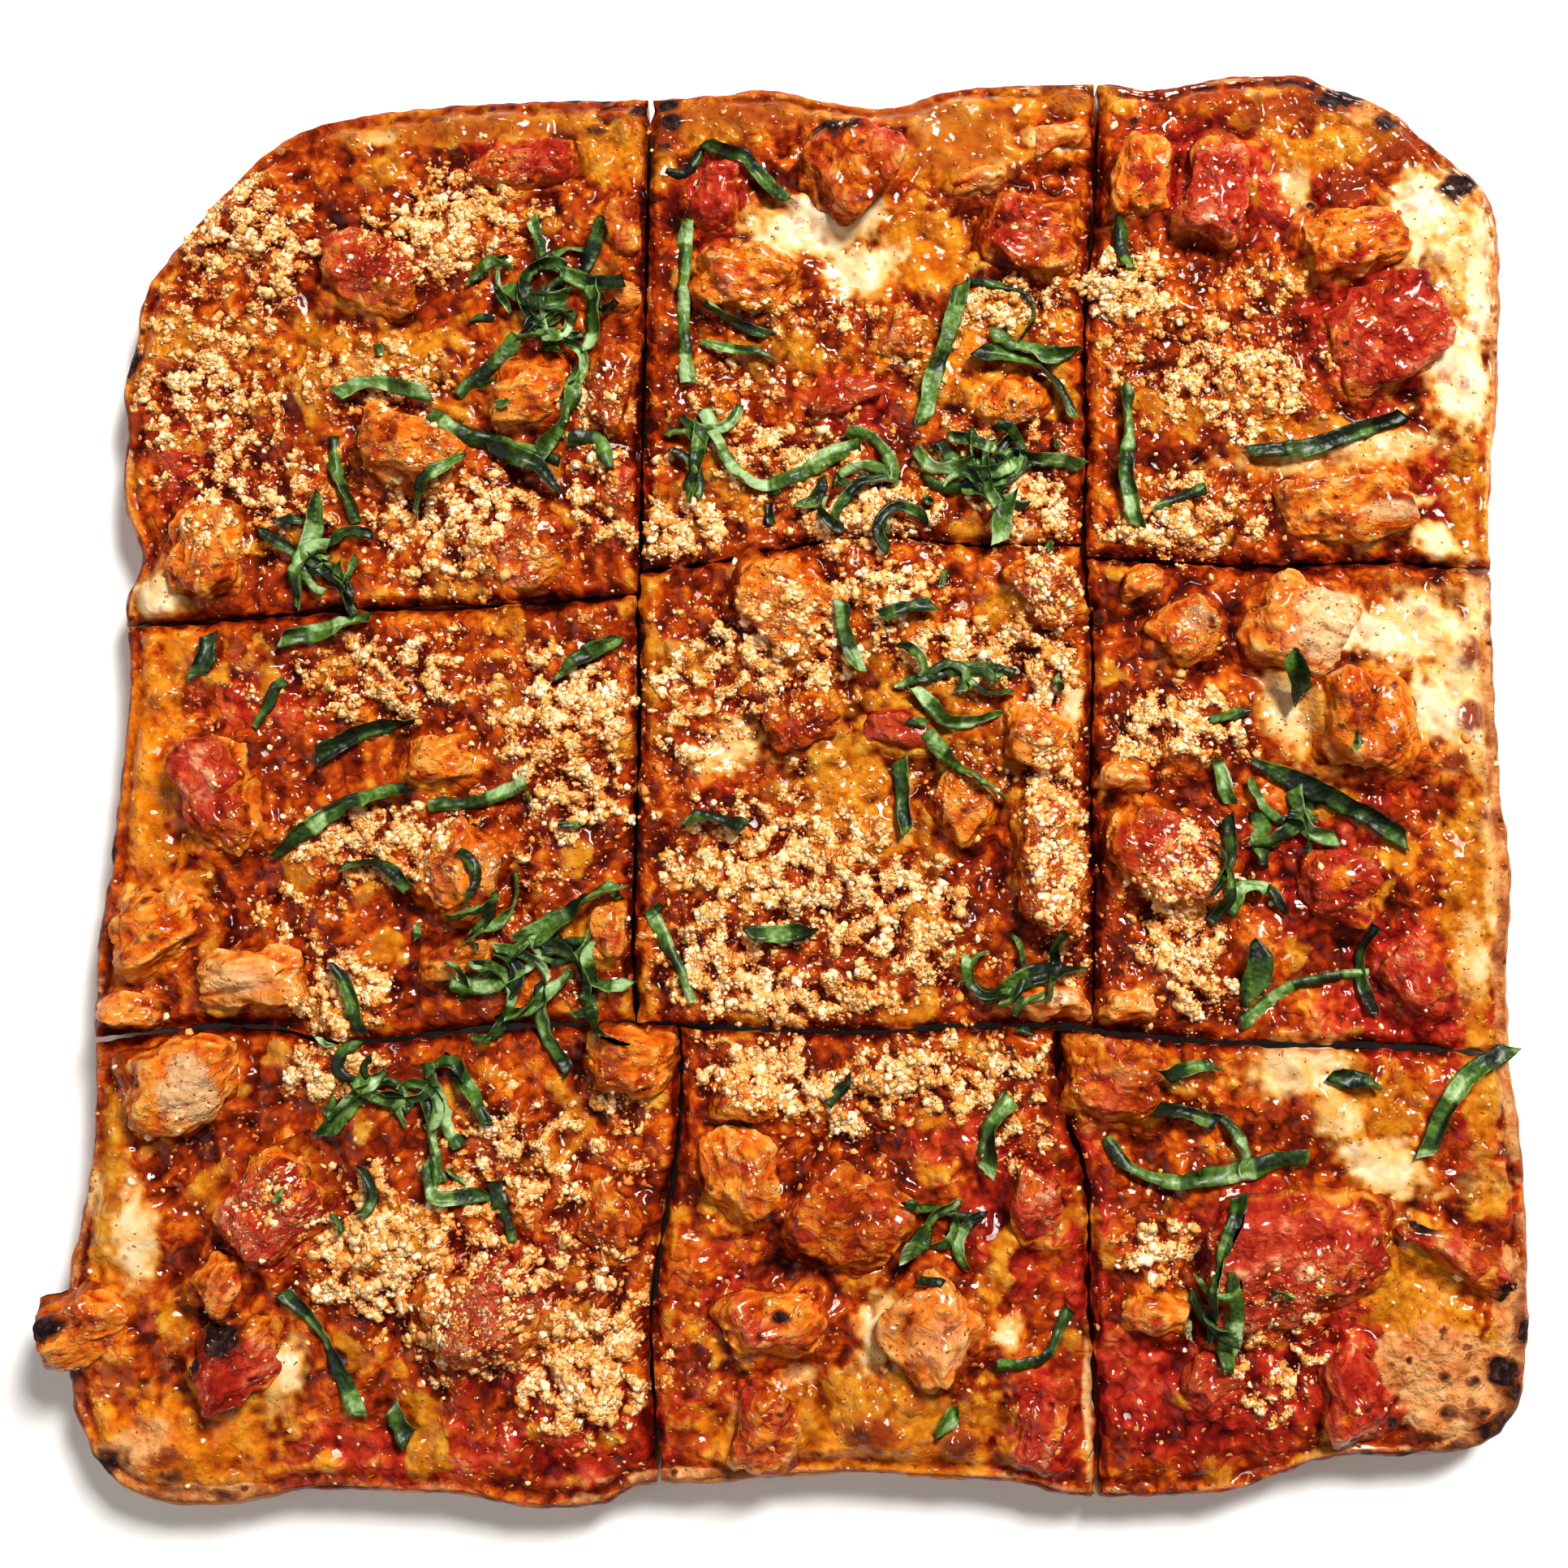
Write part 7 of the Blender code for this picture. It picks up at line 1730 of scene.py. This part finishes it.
def basil_leaf():
    """Basil: dark glossy green by the ribbon's tone (its own tone plus painted light and shade on its
    fold facets and either side of its crease) and by noise, lighter at the back, with darker rims."""
    material, n, shader = new_material("basil leaf")
    place = n.place()
    spine, tone, back = n.mask("spine"), n.mask("tone"), n.mask("back")
    fine = n.grain(place, 0.0018, 3.0, 0.6)
    broad = n.grain(place, 0.0070, 2.0)
    level = n.calc("ADD", n.total((tone, 0.55), (broad, 0.7), (fine, 0.7)), -0.50, clamp=True)
    front = n.ramp(level, (0.0, (8, 18, 4)), (0.26, (20, 38, 6)), (0.50, (46, 74, 14)),
                   (0.74, (86, 120, 40)), (1.0, (156, 186, 128)))
    rear = n.ramp(level, (0.0, (50, 76, 24)), (0.5, (94, 124, 54)), (1.0, (160, 186, 128)))
    colour = n.mix(back, front, rear)
    wilt = n.ease(n.total((n.calc("ABSOLUTE", spine), 0.6), (fine, 0.7)), 0.86, 1.05, 0.5)
    colour = n.mix(wilt, colour, paint(14, 28, 8))
    n.give(shader, Base_Color=colour, Roughness=n.calc("ADD", n.times(fine, 0.25), 0.32),
           Specular_IOR_Level=0.28, Coat_Weight=0.12, Coat_Roughness=0.20,
           Normal=n.bump(n.cells(place, 0.0016), 0.0004, 0.6))
    return material


def parmesan():
    """Parmesan grains: cream to tan by their tone, random and lighter towards each grain's top, stained
    orange by oil in places.
    """
    material, n, shader = new_material("parmesan")
    place = n.place()
    fine = n.grain(place, 0.0007, 2.0)
    stain = n.ease(n.grain(place, 0.0105, 3.0), 0.42, 0.66, 0.5)
    level = n.total((n.mask("tone"), 0.75), (fine, 0.4), (stain, -0.35))
    colour = n.ramp(level, (0.0, (190, 78, 16)), (0.22, (218, 120, 36)), (0.46, (236, 162, 76)),
                    (0.72, (246, 200, 134)), (1.0, (253, 234, 202)))
    n.give(shader, Base_Color=colour, Roughness=0.6, Specular_IOR_Level=0.15, Coat_Weight=0.10,
           Coat_Roughness=0.3, Normal=n.bump(fine, 0.0003, 0.6))
    return material


def large_chunks():
    """Places in the list of the pieces that are solids of their own, in the list's order."""
    by_size = sorted(range(len(CHUNKS)), key=lambda index: -CHUNKS[index][2] * CHUNKS[index][3])
    return sorted(by_size[:CHUNK_NODES])


material_topping = sauce_and_cheese()
material_chicken = chopped_chicken()
material_dough = baked_dough()
material_basil = basil_leaf()
material_crumb = parmesan()

tops = []
for row in range(3):
    for column in range(3):
        make_crust(row, column)
        tops.append(make_topping(row, column))
numbers = {index: place + 1 for place, index in enumerate(large_chunks())}
for index in range(len(CHUNKS)):
    tops.append(make_chunk(index, numbers.get(index, 0)))
ground = Ground(tops)
scatter_crumbs(ground)
make_basil(ground)


# Floor, light and camera

def soft_light(name, place, aim, size, power, tint=(1.0, 1.0, 1.0)):
    """A square area light at a place, turned to its aim."""
    light = bpy.data.lights.new(name, "AREA")
    light.size = size
    light.energy = power
    light.color = tint
    lamp = bpy.data.objects.new(name, light)
    lamp.location = place
    lamp.rotation_euler = (Vector(aim) - Vector(place)).to_track_quat("-Z", "Y").to_euler()
    bpy.context.scene.collection.objects.link(lamp)


floor_mesh = bpy.data.meshes.new("floor")
corners = [(-4, -4, -0.0004), (4, -4, -0.0004), (4, 4, -0.0004), (-4, 4, -0.0004)]
floor_mesh.from_pydata(corners, [], [(0, 1, 2, 3)])
floor = bpy.data.objects.new("floor", floor_mesh)
bpy.context.scene.collection.objects.link(floor)
floor_material, floor_nodes, floor_shader = new_material("pale floor")
floor_nodes.give(floor_shader, Base_Color=(0.93, 0.93, 0.93, 1.0), Roughness=0.9)
floor_mesh.materials.append(floor_material)

soft_light("key", (0.51, 0.75, 1.20), (0, 0, 0), 0.39, 37.5, (1.0, 0.97, 0.93))
soft_light("fill", (-0.7, -0.4, 0.9), (0, 0, 0), 1.0, 3.4, (1.0, 0.98, 0.95))
world = bpy.data.worlds.new("pale room")
world.use_nodes = True
glow = world.node_tree.nodes["Background"]
glow.inputs["Color"].default_value = (1.0, 0.93, 0.85, 1.0)
glow.inputs["Strength"].default_value = 0.15
bpy.context.scene.world = world
bpy.context.scene.view_settings.view_transform = "Standard"

lens = bpy.data.cameras.new("camera")
lens.sensor_width = 36.0
lens.lens = FOCAL_PIXELS / PICTURE_SIZE * lens.sensor_width
camera = bpy.data.objects.new("camera", lens)
bpy.context.scene.collection.objects.link(camera)
eye = Vector((EYE_SHIFT[0], EYE_SHIFT[1] - EYE_DISTANCE * math.sin(EYE_TILT),
              EYE_LEVEL + EYE_DISTANCE * math.cos(EYE_TILT)))
aim = Vector((EYE_SHIFT[0], EYE_SHIFT[1], EYE_LEVEL))
camera.location = eye
camera.rotation_euler = (aim - eye).to_track_quat("-Z", "Y").to_euler()
bpy.context.scene.camera = camera
